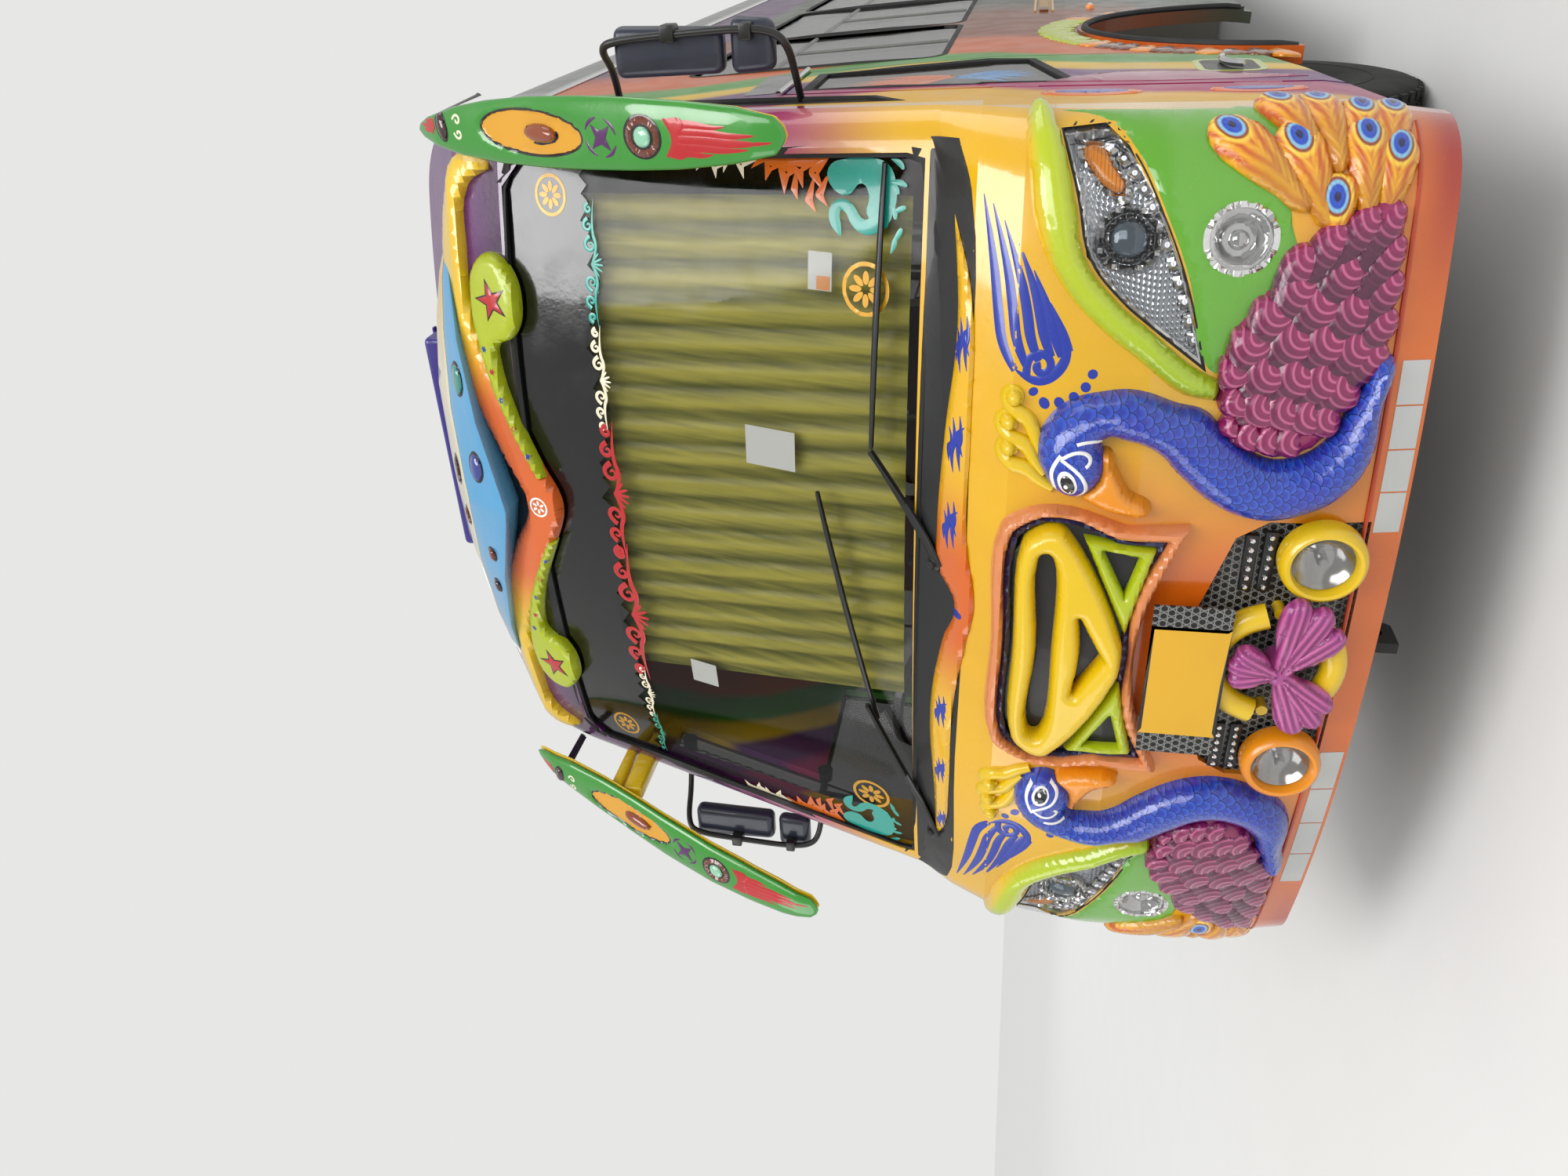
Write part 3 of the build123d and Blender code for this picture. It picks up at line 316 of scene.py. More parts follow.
def gloss(tint: Tint, **more: float) -> Finish:
    """Glossy lacquered moulding in one colour."""
    return Finish(f"gloss_{tint.name.lower()}", tint.value, rough=0.24, coat=0.6, **more)


@dataclass(frozen=True)
class Skin:
    """The coach's outer skin, with the sizes that the part has."""

    rows: tuple[tuple[float, float, float, float], ...] = (
        (0.385, 0.050, 1.274, 0.230), (0.600, 0.012, 1.302, 0.230), (1.020, 0.0, 1.302, 0.230),
        (1.340, 0.047, 1.302, 0.230), (1.455, 0.125, 1.302, 0.190), (1.560, 0.229, 1.296, 0.130),
        (2.955, 0.707, 1.217, 0.120), (3.150, 0.800, 1.206, 0.120), (3.420, 1.130, 1.190, 0.120),
    )
    bow: float = NOSE_BOW
    side: float = 1.3
    belt: float = 1.455
    lean: float = 0.0567

    def _row(self, x: float, setback: float, half: float, corner: float) -> float:
        """Depth of one plan section at a distance from the middle."""
        x = min(abs(x), half - 0.001)
        turn = (half - corner) * self.bow / (self.bow - corner)
        if x <= turn:
            return setback + self.bow - math.sqrt(self.bow ** 2 - x ** 2)
        reach = setback + self.bow - math.sqrt((self.bow - corner) ** 2 - (half - corner) ** 2)
        return reach - math.sqrt(max(corner ** 2 - (x - half + corner) ** 2, 0.0))

    def front(self, x: float, z: float) -> float:
        """The front skin's y in the row's frame at a place seen from ahead."""
        rows = self.rows
        z = min(max(z, rows[0][0]), rows[-1][0])
        for low, high in zip(rows, rows[1:]):
            if z <= high[0]:
                part = (z - low[0]) / (high[0] - low[0])
                return FRONT_Y + (1 - part) * self._row(x, *low[1:]) + part * self._row(x, *high[1:])
        return FRONT_Y + self._row(x, *rows[-1][1:])

    def flank(self, z: float) -> float:
        """Half width of the side walls at a height."""
        if z < 0.6:
            return self.side - 0.028 * (0.6 - z) / 0.215
        return self.side - max(z - self.belt, 0.0) * self.lean


SKIN = Skin()
TURN_ANGLE = math.asin(TURN_X / NOSE_BOW)
TURN_WAY = NOSE_BOW * TURN_ANGLE
QUARTER_WAY = TURN_WAY + NOSE_CORNER * (math.pi / 2 - TURN_ANGLE)
CORNER_Y = NOSE_BOW - math.sqrt((NOSE_BOW - NOSE_CORNER) ** 2 - CORNER_X ** 2)
LEAN_FROM = 1.0
LEAN_OVER = 0.3
Wrap = Callable[[float, float, float], Vector]


def on_front(x: float, z: float, height: float) -> Vector:
    """A place that stands off the front skin by a height."""
    return Vector((x, SKIN.front(x, z) - height, z))


def on_left(y: float, z: float, height: float) -> Vector:
    """A place that stands off the left side wall; y is the way back from the front."""
    return Vector((SKIN.flank(z) + height, y + FRONT_Y, z))


def on_plane(depth: float) -> Wrap:
    """Wrap on an upright plane across the coach.

    Args:
        depth: the plane's y in the row's frame.

    Returns:
        The wrap.
    """
    return lambda x, z, height: Vector((x, depth - height, z))


def raised(wrap: Wrap, lift: float) -> Wrap:
    """A surface lifted off another.

    Args:
        wrap: the other surface.
        lift: how far above it.

    Returns:
        The lifted surface's wrap.
    """
    def lay(x: float, z: float, height: float) -> Vector:
        """A place on the lifted surface."""
        return wrap(x, z, height + lift)

    return lay


def smooth_line(points: Sequence[Point], closed: bool = True, steps: int = 5) -> list[Vector]:
    """Points along a smooth curve through knots.

    Args:
        points: the knots; a third value makes a knot a sharp corner.
        closed: whether the curve joins its ends.
        steps: points between two knots.

    Returns:
        The points in order.
    """
    data = bpy.data.curves.new("outline", "CURVE")
    data.dimensions = "2D"
    data.fill_mode = "NONE"
    data.resolution_u = steps
    line = data.splines.new("BEZIER")
    line.bezier_points.add(len(points) - 1)
    line.use_cyclic_u = closed
    for knot, point in zip(line.bezier_points, points):
        knot.co = (point[0], point[1], 0.0)
        kind = "VECTOR" if len(point) > 2 else "AUTO"
        knot.handle_left_type = kind
        knot.handle_right_type = kind
    holder = bpy.data.objects.new("outline", data)
    mesh = bpy.data.meshes.new_from_object(holder)
    found = [v.co.copy() for v in mesh.vertices]
    bpy.data.objects.remove(holder)
    bpy.data.meshes.remove(mesh)
    bpy.data.curves.remove(data)
    return found


def nearest(place: np.ndarray, line: np.ndarray) -> tuple[np.ndarray, np.ndarray]:
    """Nearest point of a line for many places.

    Args:
        place: the places, one row each.
        line: the line's points, one row each.

    Returns:
        The way along the line and the signed way across it.
    """
    start, end = line[:-1], line[1:]
    run = end - start
    length = np.linalg.norm(run, axis=1) + 1e-9
    lead = np.concatenate([[0.0], np.cumsum(length)[:-1]])
    away = place[:, None, :] - start[None]
    part = np.clip((away * run[None]).sum(2) / (length ** 2)[None], 0.0, 1.0)
    gap = away - part[..., None] * run[None]
    far = np.linalg.norm(gap, axis=2)
    best = far.argmin(1)
    pick = np.arange(len(place))
    side = np.sign(run[best, 0] * gap[pick, best, 1] - run[best, 1] * gap[pick, best, 0])
    return lead[best] + part[pick, best] * length[best], side * far[pick, best]


@dataclass
class Relief:
    """A raised piece drawn as an outline and laid on a surface."""

    outline: Sequence[Point]
    height: float
    shoulder: float = 0.02
    lift: float = 0.001
    cell: float = 0.02
    root: float = 0.006
    holes: Sequence[Sequence[Point]] = ()
    spine: Sequence[Point] | None = None
    tilt: float = 0.0
    dish: float = 0.0
    steps: int = 5
    wrap: Wrap = on_front
    raw: bool = False

    def build(self) -> bmesh.types.BMesh:
        """Fill, cut into cells, raise by the distance from the edge, close the back and lay on."""
        loops = [self._loop(self.outline)] + [self._loop(hole) for hole in self.holes]
        work = bmesh.new()
        edges = []
        for loop in loops:
            verts = [work.verts.new(p) for p in loop]
            edges += [work.edges.new((a, b)) for a, b in zip(verts, verts[1:] + verts[:1])]
        bmesh.ops.triangle_fill(work, use_beauty=True, use_dissolve=False, edges=edges, normal=(0, 0, 1))
        xs = [v.co.x for v in work.verts]
        zs = [v.co.y for v in work.verts]
        for low, high, axis in ((min(xs), max(xs), 0), (min(zs), max(zs), 1)):
            cuts = max(1, math.ceil((high - low) / self.cell))
            for i in range(1, cuts):
                place = [0.0, 0.0, 0.0]
                place[axis] = low + (high - low) * i / cuts
                way = [0.0, 0.0, 0.0]
                way[axis] = 1.0
                geometry = work.verts[:] + work.edges[:] + work.faces[:]
                bmesh.ops.bisect_plane(work, geom=geometry, dist=1e-5, plane_co=place, plane_no=way)
        self._raise(work, loops)
        self._close(work)
        for vert in work.verts:
            vert.co = self.wrap(vert.co.x, vert.co.y, vert.co.z)
        return work

    def _loop(self, points: Sequence[Point]) -> list[Vector]:
        """One outline as points."""
        if self.raw:
            return [Vector((p[0], p[1], 0.0)) for p in points]
        return smooth_line(points, steps=self.steps)

    def _raise(self, work: bmesh.types.BMesh, loops: list[list[Vector]]) -> None:
        """Lift each point by its distance from the outline, and mark the spine's coordinates."""
        place = np.array([(v.co.x, v.co.y) for v in work.verts])
        away = np.full(len(place), 9.0)
        for loop in loops:
            line = np.array([(p.x, p.y) for p in loop + loop[:1]])
            away = np.minimum(away, np.abs(nearest(place, line)[1]))
        part = np.clip(away / self.shoulder, 0.0, 1.0)
        rise = self.lift + self.height * np.sqrt(1 - (1 - part) ** 2)
        if self.dish:
            rise -= self.dish * np.clip(away / self.shoulder - 1.0, 0.0, 1.0)
        if self.spine is not None:
            line = np.array([(p.x, p.y) for p in smooth_line(self.spine, closed=False)])
            along, across = nearest(place, line)
            rise -= self.tilt * along
            marks = {v: (a, b) for v, a, b in zip(work.verts, along, across)}
            layer = work.loops.layers.uv.new("spine")
            for face in work.faces:
                for corner in face.loops:
                    corner[layer].uv = marks[corner.vert]
        for vert, height in zip(work.verts, rise):
            vert.co.z = height

    def _close(self, work: bmesh.types.BMesh) -> None:
        """Extrude the rim back to the root and fill the back."""
        rim = [e for e in work.edges if e.is_boundary]
        made = bmesh.ops.extrude_edge_only(work, edges=rim)["geom"]
        for item in made:
            if isinstance(item, bmesh.types.BMVert):
                item.co.z = min(item.co.z, 0.0) - self.root
        back = [e for e in work.edges if e.is_boundary]
        if self.holes:
            bmesh.ops.triangle_fill(
                work, use_beauty=False, use_dissolve=False, edges=back, normal=(0, 0, -1)
            )
        else:
            bmesh.ops.holes_fill(work, edges=back, sides=0)
        bmesh.ops.recalc_face_normals(work, faces=work.faces[:])


def relief(*fields: object, **more: object) -> bmesh.types.BMesh:
    """Mesh of a relief with these fields."""
    return Relief(*fields, **more).build()


def join(parts: Sequence[bmesh.types.BMesh]) -> bmesh.types.BMesh:
    """Put several meshes into one and free them.

    Args:
        parts: the meshes.

    Returns:
        The joined mesh.
    """
    whole = bmesh.new()
    for part in parts:
        if part.loops.layers.uv.get("spine") and not whole.loops.layers.uv.get("spine"):
            whole.loops.layers.uv.new("spine")
        mesh = bpy.data.meshes.new("part")
        part.to_mesh(mesh)
        whole.from_mesh(mesh)
        bpy.data.meshes.remove(mesh)
        part.free()
    return whole


def flipped(work: bmesh.types.BMesh) -> bmesh.types.BMesh:
    """Mirror image of a mesh across the middle plane."""
    twin = work.copy()
    bmesh.ops.scale(twin, vec=(-1, 1, 1), verts=twin.verts[:])
    bmesh.ops.recalc_face_normals(twin, faces=twin.faces[:])
    return twin


def flipped_only(work: bmesh.types.BMesh) -> bmesh.types.BMesh:
    """Mirror image alone, with the first mesh freed."""
    twin = flipped(work)
    work.free()
    return twin


def pair(work: bmesh.types.BMesh) -> bmesh.types.BMesh:
    """A mesh together with its mirror image."""
    return join([work, flipped(work)])


def spun(profile: Sequence[Point], centre: Point, axis: Point, steps: int = 32) -> bmesh.types.BMesh:
    """Turn a profile about an axis.

    Args:
        profile: pairs of radius and way along the axis, from pole to pole or closed.
        centre: the axis's foot.
        axis: the axis's direction.
        steps: divisions round it.

    Returns:
        The mesh.
    """
    work = bmesh.new()
    verts = [work.verts.new((r, 0.0, h)) for r, h in profile]
    edges = [work.edges.new(ends) for ends in zip(verts, verts[1:])]
    bmesh.ops.spin(work, geom=verts + edges, axis=(0, 0, 1), cent=(0, 0, 0), steps=steps,
                   angle=2 * math.pi, use_merge=True)
    bmesh.ops.remove_doubles(work, verts=work.verts[:], dist=1e-6)
    bmesh.ops.recalc_face_normals(work, faces=work.faces[:])
    turn = Vector((0, 0, 1)).rotation_difference(Vector(axis)).to_matrix().to_4x4()
    bmesh.ops.transform(work, matrix=Matrix.Translation(centre) @ turn, verts=work.verts[:])
    return work


def brick(low: Point, high: Point, rounding: float = 0.004, segments: int = 2) -> bmesh.types.BMesh:
    """Box between two corners with rounded edges."""
    work = bmesh.new()
    bmesh.ops.create_cube(work, size=1.0)
    size = [h - l for l, h in zip(low, high)]
    middle = [(h + l) / 2 for l, h in zip(low, high)]
    bmesh.ops.scale(work, vec=size, verts=work.verts[:])
    bmesh.ops.translate(work, vec=middle, verts=work.verts[:])
    if rounding:
        bmesh.ops.bevel(work, geom=work.edges[:], offset=min(rounding, min(size) * 0.45), segments=segments,
                        profile=0.5, affect="EDGES", material=-1)
    return work


def tube(points: Sequence[Point], radius: float, widths: Sequence[float] | None = None,
         flat: float = 1.0, wrap: Wrap | None = None, sides: int = 6) -> bmesh.types.BMesh:
    """Round bar or brush stroke along a smooth line.

    Args:
        points: the line's knots, in space, or on a surface where a wrap is given.
        radius: the bar's radius.
        widths: the radius at each knot as a share of the first.
        flat: squash of the bar's height on its surface.
        wrap: the surface.
        sides: fineness of the bar's round.

    Returns:
        The closed mesh.
    """
    data = bpy.data.curves.new("bar", "CURVE")
    data.dimensions = "3D"
    data.bevel_depth = radius
    data.bevel_resolution = max(1, sides // 3)
    data.use_fill_caps = True
    data.resolution_u = 6
    line = data.splines.new("NURBS")
    line.points.add(len(points) - 1)
    for i, (knot, point) in enumerate(zip(line.points, points)):
        knot.co = (*point, 1.0) if len(point) == 3 else (point[0], point[1], 0.0, 1.0)
        knot.radius = widths[i] if widths else 1.0
    line.use_endpoint_u = True
    line.order_u = 3
    holder = bpy.data.objects.new("bar", data)
    mesh = bpy.data.meshes.new_from_object(holder)
    work = bmesh.new()
    work.from_mesh(mesh)
    bpy.data.objects.remove(holder)
    bpy.data.meshes.remove(mesh)
    bpy.data.curves.remove(data)
    bmesh.ops.remove_doubles(work, verts=work.verts[:], dist=1e-6)
    bmesh.ops.recalc_face_normals(work, faces=work.faces[:])
    if wrap:
        for vert in work.verts:
            vert.co = wrap(vert.co.x, vert.co.y, vert.co.z * flat)
    return work


def piece(name: str, work: bmesh.types.BMesh, finish: Finish, body: str = COACH,
          crease: float = 38.0, replaces: str = "") -> bpy.types.Object:
    """Make a finished piece of a mesh, riding on its body.

    Args:
        name: the piece's name.
        work: its mesh, in place.
        finish: its finish.
        body: the CAD body that it rides on.
        crease: the angle, in degrees, past which an edge stays sharp.
        replaces: the CAD node that the piece stands in for, if any.

    Returns:
        The object.
    """
    mesh = bpy.data.meshes.new(name)
    work.to_mesh(mesh)
    work.free()
    mesh.shade_smooth()
    mesh.set_sharp_from_angle(angle=math.radians(crease))
    mesh.materials.append(finish.build())
    made = bpy.data.objects.new(name, mesh)
    bpy.context.scene.collection.objects.link(made)
    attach(made, body)
    if replaces:
        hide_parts(replaces)
    LOG.info("%s: %d faces on %s", name, len(mesh.polygons), body)
    return made


def dress(node: str, finish: Finish) -> None:
    """Give a CAD node that stays in view its finish."""
    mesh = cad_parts[node].data
    mesh.materials.clear()
    mesh.materials.append(finish.build())
    mesh.shade_smooth()
    mesh.set_sharp_from_angle(angle=math.radians(30))


def millimetres(points: Sequence[Point], side: int = 1) -> list[tuple[float, ...]]:
    """Points written in millimetres as metres, on the side asked for; a third value stays a mark."""
    return [(side * p[0] / 1000, p[1] / 1000, *p[2:]) for p in points]


def from_front(*points: Point) -> list[tuple[float, float, float]]:
    """Places given by their way back from the front, in the row's frame."""
    return [(x, y + FRONT_Y, z) for x, y, z in points]


def oval(
    x: float, z: float, wide: float, high: float, knots: int = 8, turn: float = 0.0
) -> list[tuple[float, float]]:
    """Knots of an oval."""
    found = []
    for i in range(knots):
        angle = 2 * math.pi * i / knots
        across, up = wide * math.cos(angle), high * math.sin(angle)
        found.append((x + across * math.cos(turn) - up * math.sin(turn),
                      z + across * math.sin(turn) + up * math.cos(turn)))
    return found


def star(
    x: float, z: float, outer: float, inner: float, tips: int = 5, turn: float = math.pi / 2
) -> list[tuple]:
    """Outline of a star with sharp tips."""
    found = []
    for i in range(2 * tips):
        reach = inner if i % 2 else outer
        angle = turn + math.pi * i / tips
        found.append((x + reach * math.cos(angle), z + reach * math.sin(angle), 1))
    return found


def leaf(tip: Point, root: Point, half: float, height: float, lift: float, wrap: Wrap,
         cell: float = 0.016) -> bmesh.types.BMesh:
    """Rounded feather or petal, domed across, with its spine from the tip.

    Args:
        tip: the tip's place on the surface.
        root: the root's place.
        half: half of its greatest width.
        height: the dome's height.
        lift: how far its edge stands off the surface.
        wrap: the surface.
        cell: size of the mesh's cells.

    Returns:
        The mesh.
    """
    way = Vector((root[0] - tip[0], root[1] - tip[1]))
    across = Vector((-way.y, way.x)).normalized() * half
    start = Vector(tip[:2])
    shares = ((0.0, 0.0), (0.05, 0.55), (0.20, 0.95), (0.45, 0.9), (0.75, 0.55), (1.0, 0.2))
    right = [start + way * a + across * b for a, b in shares]
    left = [start + way * a - across * b for a, b in shares[1:]]
    outline = [tuple(p) for p in right + left[::-1]]
    return relief(
        outline, height, half * 0.85, lift=lift, cell=cell, spine=[tuple(tip[:2]), tuple(root[:2])],
        steps=3, wrap=wrap
    )


def scaled(points: Sequence[Point], share: float) -> list[tuple[float, ...]]:
    """Outline grown or shrunk about its middle, with its marks kept."""
    x = sum(p[0] for p in points) / len(points)
    z = sum(p[1] for p in points) / len(points)
    return [(x + (p[0] - x) * share, z + (p[1] - z) * share, *p[2:]) for p in points]


def both_sides(points: Sequence[Point]) -> list[tuple[float, ...]]:
    """Closed outline from its right half, given in order."""
    return [tuple(p) for p in points] + [(-p[0], *p[1:]) for p in reversed(points)]


def along(points: Sequence[Point], count: int) -> list[tuple[float, float, float]]:
    """Evenly spaced places on a smooth line.

    Args:
        points: the line's knots.
        count: how many places.

    Returns:
        Each place with the line's angle there.
    """
    line = np.array([(p.x, p.y) for p in smooth_line(points, closed=False, steps=12)])
    lead = np.concatenate([[0.0], np.cumsum(np.linalg.norm(np.diff(line, axis=0), axis=1))])
    found = []
    for i in range(count):
        at = lead[-1] * (i + 0.5) / count
        here = np.array([np.interp(at, lead, line[:, k]) for k in (0, 1)])
        ahead = np.array([np.interp(at + 0.004, lead, line[:, k]) for k in (0, 1)])
        behind = np.array([np.interp(at - 0.004, lead, line[:, k]) for k in (0, 1)])
        way = ahead - behind
        found.append((float(here[0]), float(here[1]), math.atan2(way[1], way[0])))
    return found


def tile(x: float, z: float, wide: float, high: float, turn: float = 0.0) -> list[tuple[float, float, int]]:
    """Turned rectangle with clipped corners."""
    corners = [
        (-0.5, -0.34), (-0.38, -0.5), (0.38, -0.5), (0.5, -0.34), (0.5, 0.34), (0.38, 0.5), (-0.38, 0.5),
        (-0.5, 0.34)
    ]
    found = []
    for a, b in corners:
        across, up = a * wide, b * high
        found.append((x + across * math.cos(turn) - up * math.sin(turn),
                      z + across * math.sin(turn) + up * math.cos(turn), 1))
    return found


def curl(
    x: float, z: float, radius: float, turns: float, start: float, way: int = 1
) -> list[tuple[float, float]]:
    """Knots of a spiral that winds inwards."""
    count = max(5, round(turns * 7))
    found = []
    for i in range(count + 1):
        part = i / count
        angle = start + way * 2 * math.pi * turns * part
        reach = radius * (1.0 - 0.86 * part)
        found.append((x + reach * math.cos(angle), z + reach * math.sin(angle)))
    return found


def on_glass(x: float, z: float, height: float) -> Vector:
    """A place that stands off the windscreen's outer face by a height."""
    return Vector((x, SKIN.front(x, z) + 0.018 - height, z))


def on_left_glass(y: float, z: float, height: float) -> Vector:
    """A place that stands off the left side's glass by a height."""
    return on_left(y, z, height - 0.006)


def on_back(x: float, z: float, height: float) -> Vector:
    """A place that stands off the back panel by a height."""
    lean = np.interp(z, (0.6, 1.455, 1.56, 2.955), (0.0, 0.0, 0.005, 0.075))
    return Vector((x, FRONT_Y + LENGTH - float(lean) + height, z))


PAINTED = raised(on_glass, 0.0022)


def box_line(x0: float, x1: float, z0: float, z1: float, corner: float) -> list[tuple[float, float, int]]:
    """Rectangle with rounded corners."""
    found = []
    for x, z, start in (
        (x1 - corner, z1 - corner, 0), (x0 + corner, z1 - corner, 90), (x0 + corner, z0 + corner, 180),
        (x1 - corner, z0 + corner, 270)
    ):
        for i in range(5):
            angle = math.radians(start + 22.5 * i)
            found.append((x + corner * math.cos(angle), z + corner * math.sin(angle), 1))
    return found


def ring_relief(x0: float, x1: float, z0: float, z1: float, width: float, height: float, wrap: Wrap,
                corner: float = 0.06) -> bmesh.types.BMesh:
    """Rounded rectangular frame on a surface."""
    return relief(
        box_line(x0 - width, x1 + width, z0 - width, z1 + width, corner + width), height, 0.004, cell=0.3,
        raw=True, holes=[box_line(x0, x1, z0, z1, corner)], root=0.008, wrap=wrap
    )


class Camera:
    """The view of the photograph, which lies on its side."""

    PLACE = (1.781, -2.704 + FRONT_Y, 1.333)
    AHEAD = (-0.5091, 0.8409, 0.1836)
    UP = (0.045, -0.1871, 0.9813)
    RIGHT = (0.8595, 0.5079, 0.0574)

    def build(self) -> None:
        """Set the camera with the photograph's angle and lens."""
        data = bpy.data.cameras.new("camera")
        data.lens = 27.0
        data.sensor_width = 36.0
        data.clip_end = 200.0
        seen = bpy.data.objects.new("camera", data)
        across, up, back = -Vector(self.UP), Vector(self.RIGHT), -Vector(self.AHEAD)
        turn = Matrix((across, up, back)).transposed().to_4x4()
        seen.matrix_world = Matrix.Translation(self.PLACE) @ turn
        bpy.context.scene.collection.objects.link(seen)
        bpy.context.scene.camera = seen


class Stage:
    """Pale floor, pale surroundings and soft lamps."""

    PALE: Colour = (0.80, 0.80, 0.79, 1.0)

    def build(self) -> None:
        """Make the floor, the world and the lamps."""
        work = bmesh.new()
        bmesh.ops.create_grid(work, x_segments=1, y_segments=1, size=60.0)
        mesh = bpy.data.meshes.new("floor")
        work.to_mesh(mesh)
        work.free()
        floor = bpy.data.objects.new("floor", mesh)
        mesh.materials.append(Finish("floor_pale", self.PALE, rough=0.85, vary=0.03).build())
        bpy.context.scene.collection.objects.link(floor)
        self._world()
        self._lamp("key", (6.5, -14.0, 7.5), (0.3, -4.6, 1.6), 440.0, 6.0)
        self._lamp("fill", (-8.0, -12.0, 5.0), (0.0, -4.5, 1.5), 220.0, 6.0)
        self._lamp("side", (12.0, 0.0, 7.0), (1.0, 0.0, 1.2), 260.0, 8.0)
        self._lamp("back", (-9.0, 12.0, 8.0), (0.0, 3.0, 1.5), 300.0, 8.0)
        self._lamp("sky", (3.0, -6.0, 10.0), (0.0, 0.0, 0.0), 1.3, 0.5, "SUN")
        bpy.context.scene.view_settings.view_transform = "Standard"

    def _world(self) -> None:
        """Pale world, seen at full strength and lighting at less."""
        world = bpy.data.worlds.new("pale")
        world.use_nodes = True
        tree = world.node_tree
        ground = tree.nodes["Background"]
        ground.inputs[0].default_value = self.PALE
        rays = tree.nodes.new("ShaderNodeLightPath")
        widest = tree.nodes.new("ShaderNodeMath")
        widest.operation = "MAXIMUM"
        tree.links.new(rays.outputs["Is Camera Ray"], widest.inputs[0])
        tree.links.new(rays.outputs["Is Transmission Ray"], widest.inputs[1])
        level = tree.nodes.new("ShaderNodeMapRange")
        level.inputs[3].default_value = 0.7
        level.inputs[4].default_value = 1.0
        tree.links.new(widest.outputs[0], level.inputs[0])
        tree.links.new(level.outputs[0], ground.inputs[1])
        bpy.context.scene.world = world

    def _lamp(
        self, name: str, place: Point, target: Point, power: float, size: float, kind: str = "AREA"
    ) -> None:
        """Add one soft lamp that points at a target; a sun's size is its angle."""
        data = bpy.data.lights.new(name, kind)
        data.energy = power
        if kind == "SUN":
            data.angle = size
        else:
            data.size = size
        lamp = bpy.data.objects.new(name, data)
        way = Vector(target) - Vector(place)
        lamp.matrix_world = Matrix.Translation(place) @ way.to_track_quat("-Z", "Y").to_matrix().to_4x4()
        bpy.context.scene.collection.objects.link(lamp)


def round_way(x: float) -> float:
    """Way round the front, from its middle, of a place at a distance from the middle."""
    if abs(x) <= TURN_X:
        return math.copysign(NOSE_BOW * math.asin(abs(x) / NOSE_BOW), x)
    angle = math.asin(min((abs(x) - CORNER_X) / NOSE_CORNER, 1.0))
    return math.copysign(TURN_WAY + NOSE_CORNER * (angle - TURN_ANGLE), x)


def on_round(way: float, z: float, height: float) -> Vector:
    """A place on the front, its corner or the flank, by the way round from the middle."""
    reach = abs(way)
    shift = SKIN.flank(z) - HALF_WIDTH
    if reach <= TURN_WAY:
        angle = reach / NOSE_BOW
        x, y = NOSE_BOW * math.sin(angle), NOSE_BOW * (1 - math.cos(angle))
        out = (math.sin(angle), -math.cos(angle))
    elif reach <= QUARTER_WAY:
        angle = TURN_ANGLE + (reach - TURN_WAY) / NOSE_CORNER
        x, y = CORNER_X + NOSE_CORNER * math.sin(angle), CORNER_Y - NOSE_CORNER * math.cos(angle)
        out = (math.sin(angle), -math.cos(angle))
    else:
        x, y = HALF_WIDTH, CORNER_Y + reach - QUARTER_WAY
        out = (1.0, 0.0)
    x += shift * max(0.0, min(1.0, (x - LEAN_FROM) / LEAN_OVER))
    x, y = x + out[0] * height, y + out[1] * height
    return Vector((math.copysign(x, way), SKIN.front(0.0, z) + y, z))


def unrolled(points: Sequence[Point]) -> list[tuple[float, ...]]:
    """Outline in millimetres, seen from ahead, as metres round the front."""
    return [(round_way(p[0] / 1000), p[1] / 1000, *p[2:]) for p in points]


def on_mesh(work: bmesh.types.BMesh, fallback: Wrap = on_front) -> Wrap:
    """Wrap that lays a thing on a piece seen from ahead.

    Args:
        work: the piece's mesh.
        fallback: the wrap where the piece isn't met.

    Returns:
        The wrap.
    """
    tree = BVHTree.FromBMesh(work)

    def lay(x: float, z: float, height: float) -> Vector:
        """Drop a place on the piece."""
        hit = tree.ray_cast(Vector((x, -8.0, z)), Vector((0.0, 1.0, 0.0)))[0]
        return fallback(x, z, height) if hit is None else Vector((x, hit.y - height, z))

    return lay


def scales(shader: Shader) -> tuple[Maths, Maths]:
    """Overlapping scales on a spine's coordinates.

    Args:
        shader: the material's shader.

    Returns:
        The distance from a scale's middle, and where a scale lies on top.
    """
    along_way, across = shader.spine()
    long, wide = 0.0175, 0.030
    row = (along_way / long).floor()
    part = (along_way / long).modulo(1.0)
    reach = []
    for step in (0.0, 0.5):
        side = (across / wide + row * 0.5 + 20.0 + step).modulo(1.0) - 0.5
        down = 1.0 - part if step else part
        reach.append((side * side * 4.0 + down * down).power(0.5))
    over = reach[0].ramp(1.01, 0.99)
    return over * reach[0] + (1.0 - over) * reach[1], over


def scale_colour(shader: Shader) -> Maths:
    """Blue scales, paler towards the rim as a painted highlight, darker as painted shade where a scale lies
    under the next, with a dark line round it.
    """
    far, over = scales(shader)
    return shader.layers(
        # Paler towards each scale's raised rim: painted highlight.
        ink("14309E"), (far.ramp(0.2, 0.85), "2450BE"), ((over * far).ramp(0.90, 0.98), "0A1766"),
        # Darker where a scale lies under the next one: painted shade.
        ((1.0 - over) * far.ramp(0.5, 1.0) * 0.7, "0C1C7A"),
        (shader.noise(6.0).ramp(0.4, 0.7) * 0.4, "2B1C9C"),
    )


def scale_height(shader: Shader) -> Maths:
    """Scales that rise towards their rims."""
    far, over = scales(shader)
    return over * (0.5 + far * 0.5) * far.ramp(1.0, 0.86) + (1.0 - over) * 0.2


def plume_height(shader: Shader) -> Maths:
    """Grooves parallel to a feather's tip."""
    along_way, across = shader.spine()
    far = (along_way * along_way + across * across * 1.6).power(0.5)
    return (far * (2 * math.pi / 0.021)).sine() * 0.5 + 0.5


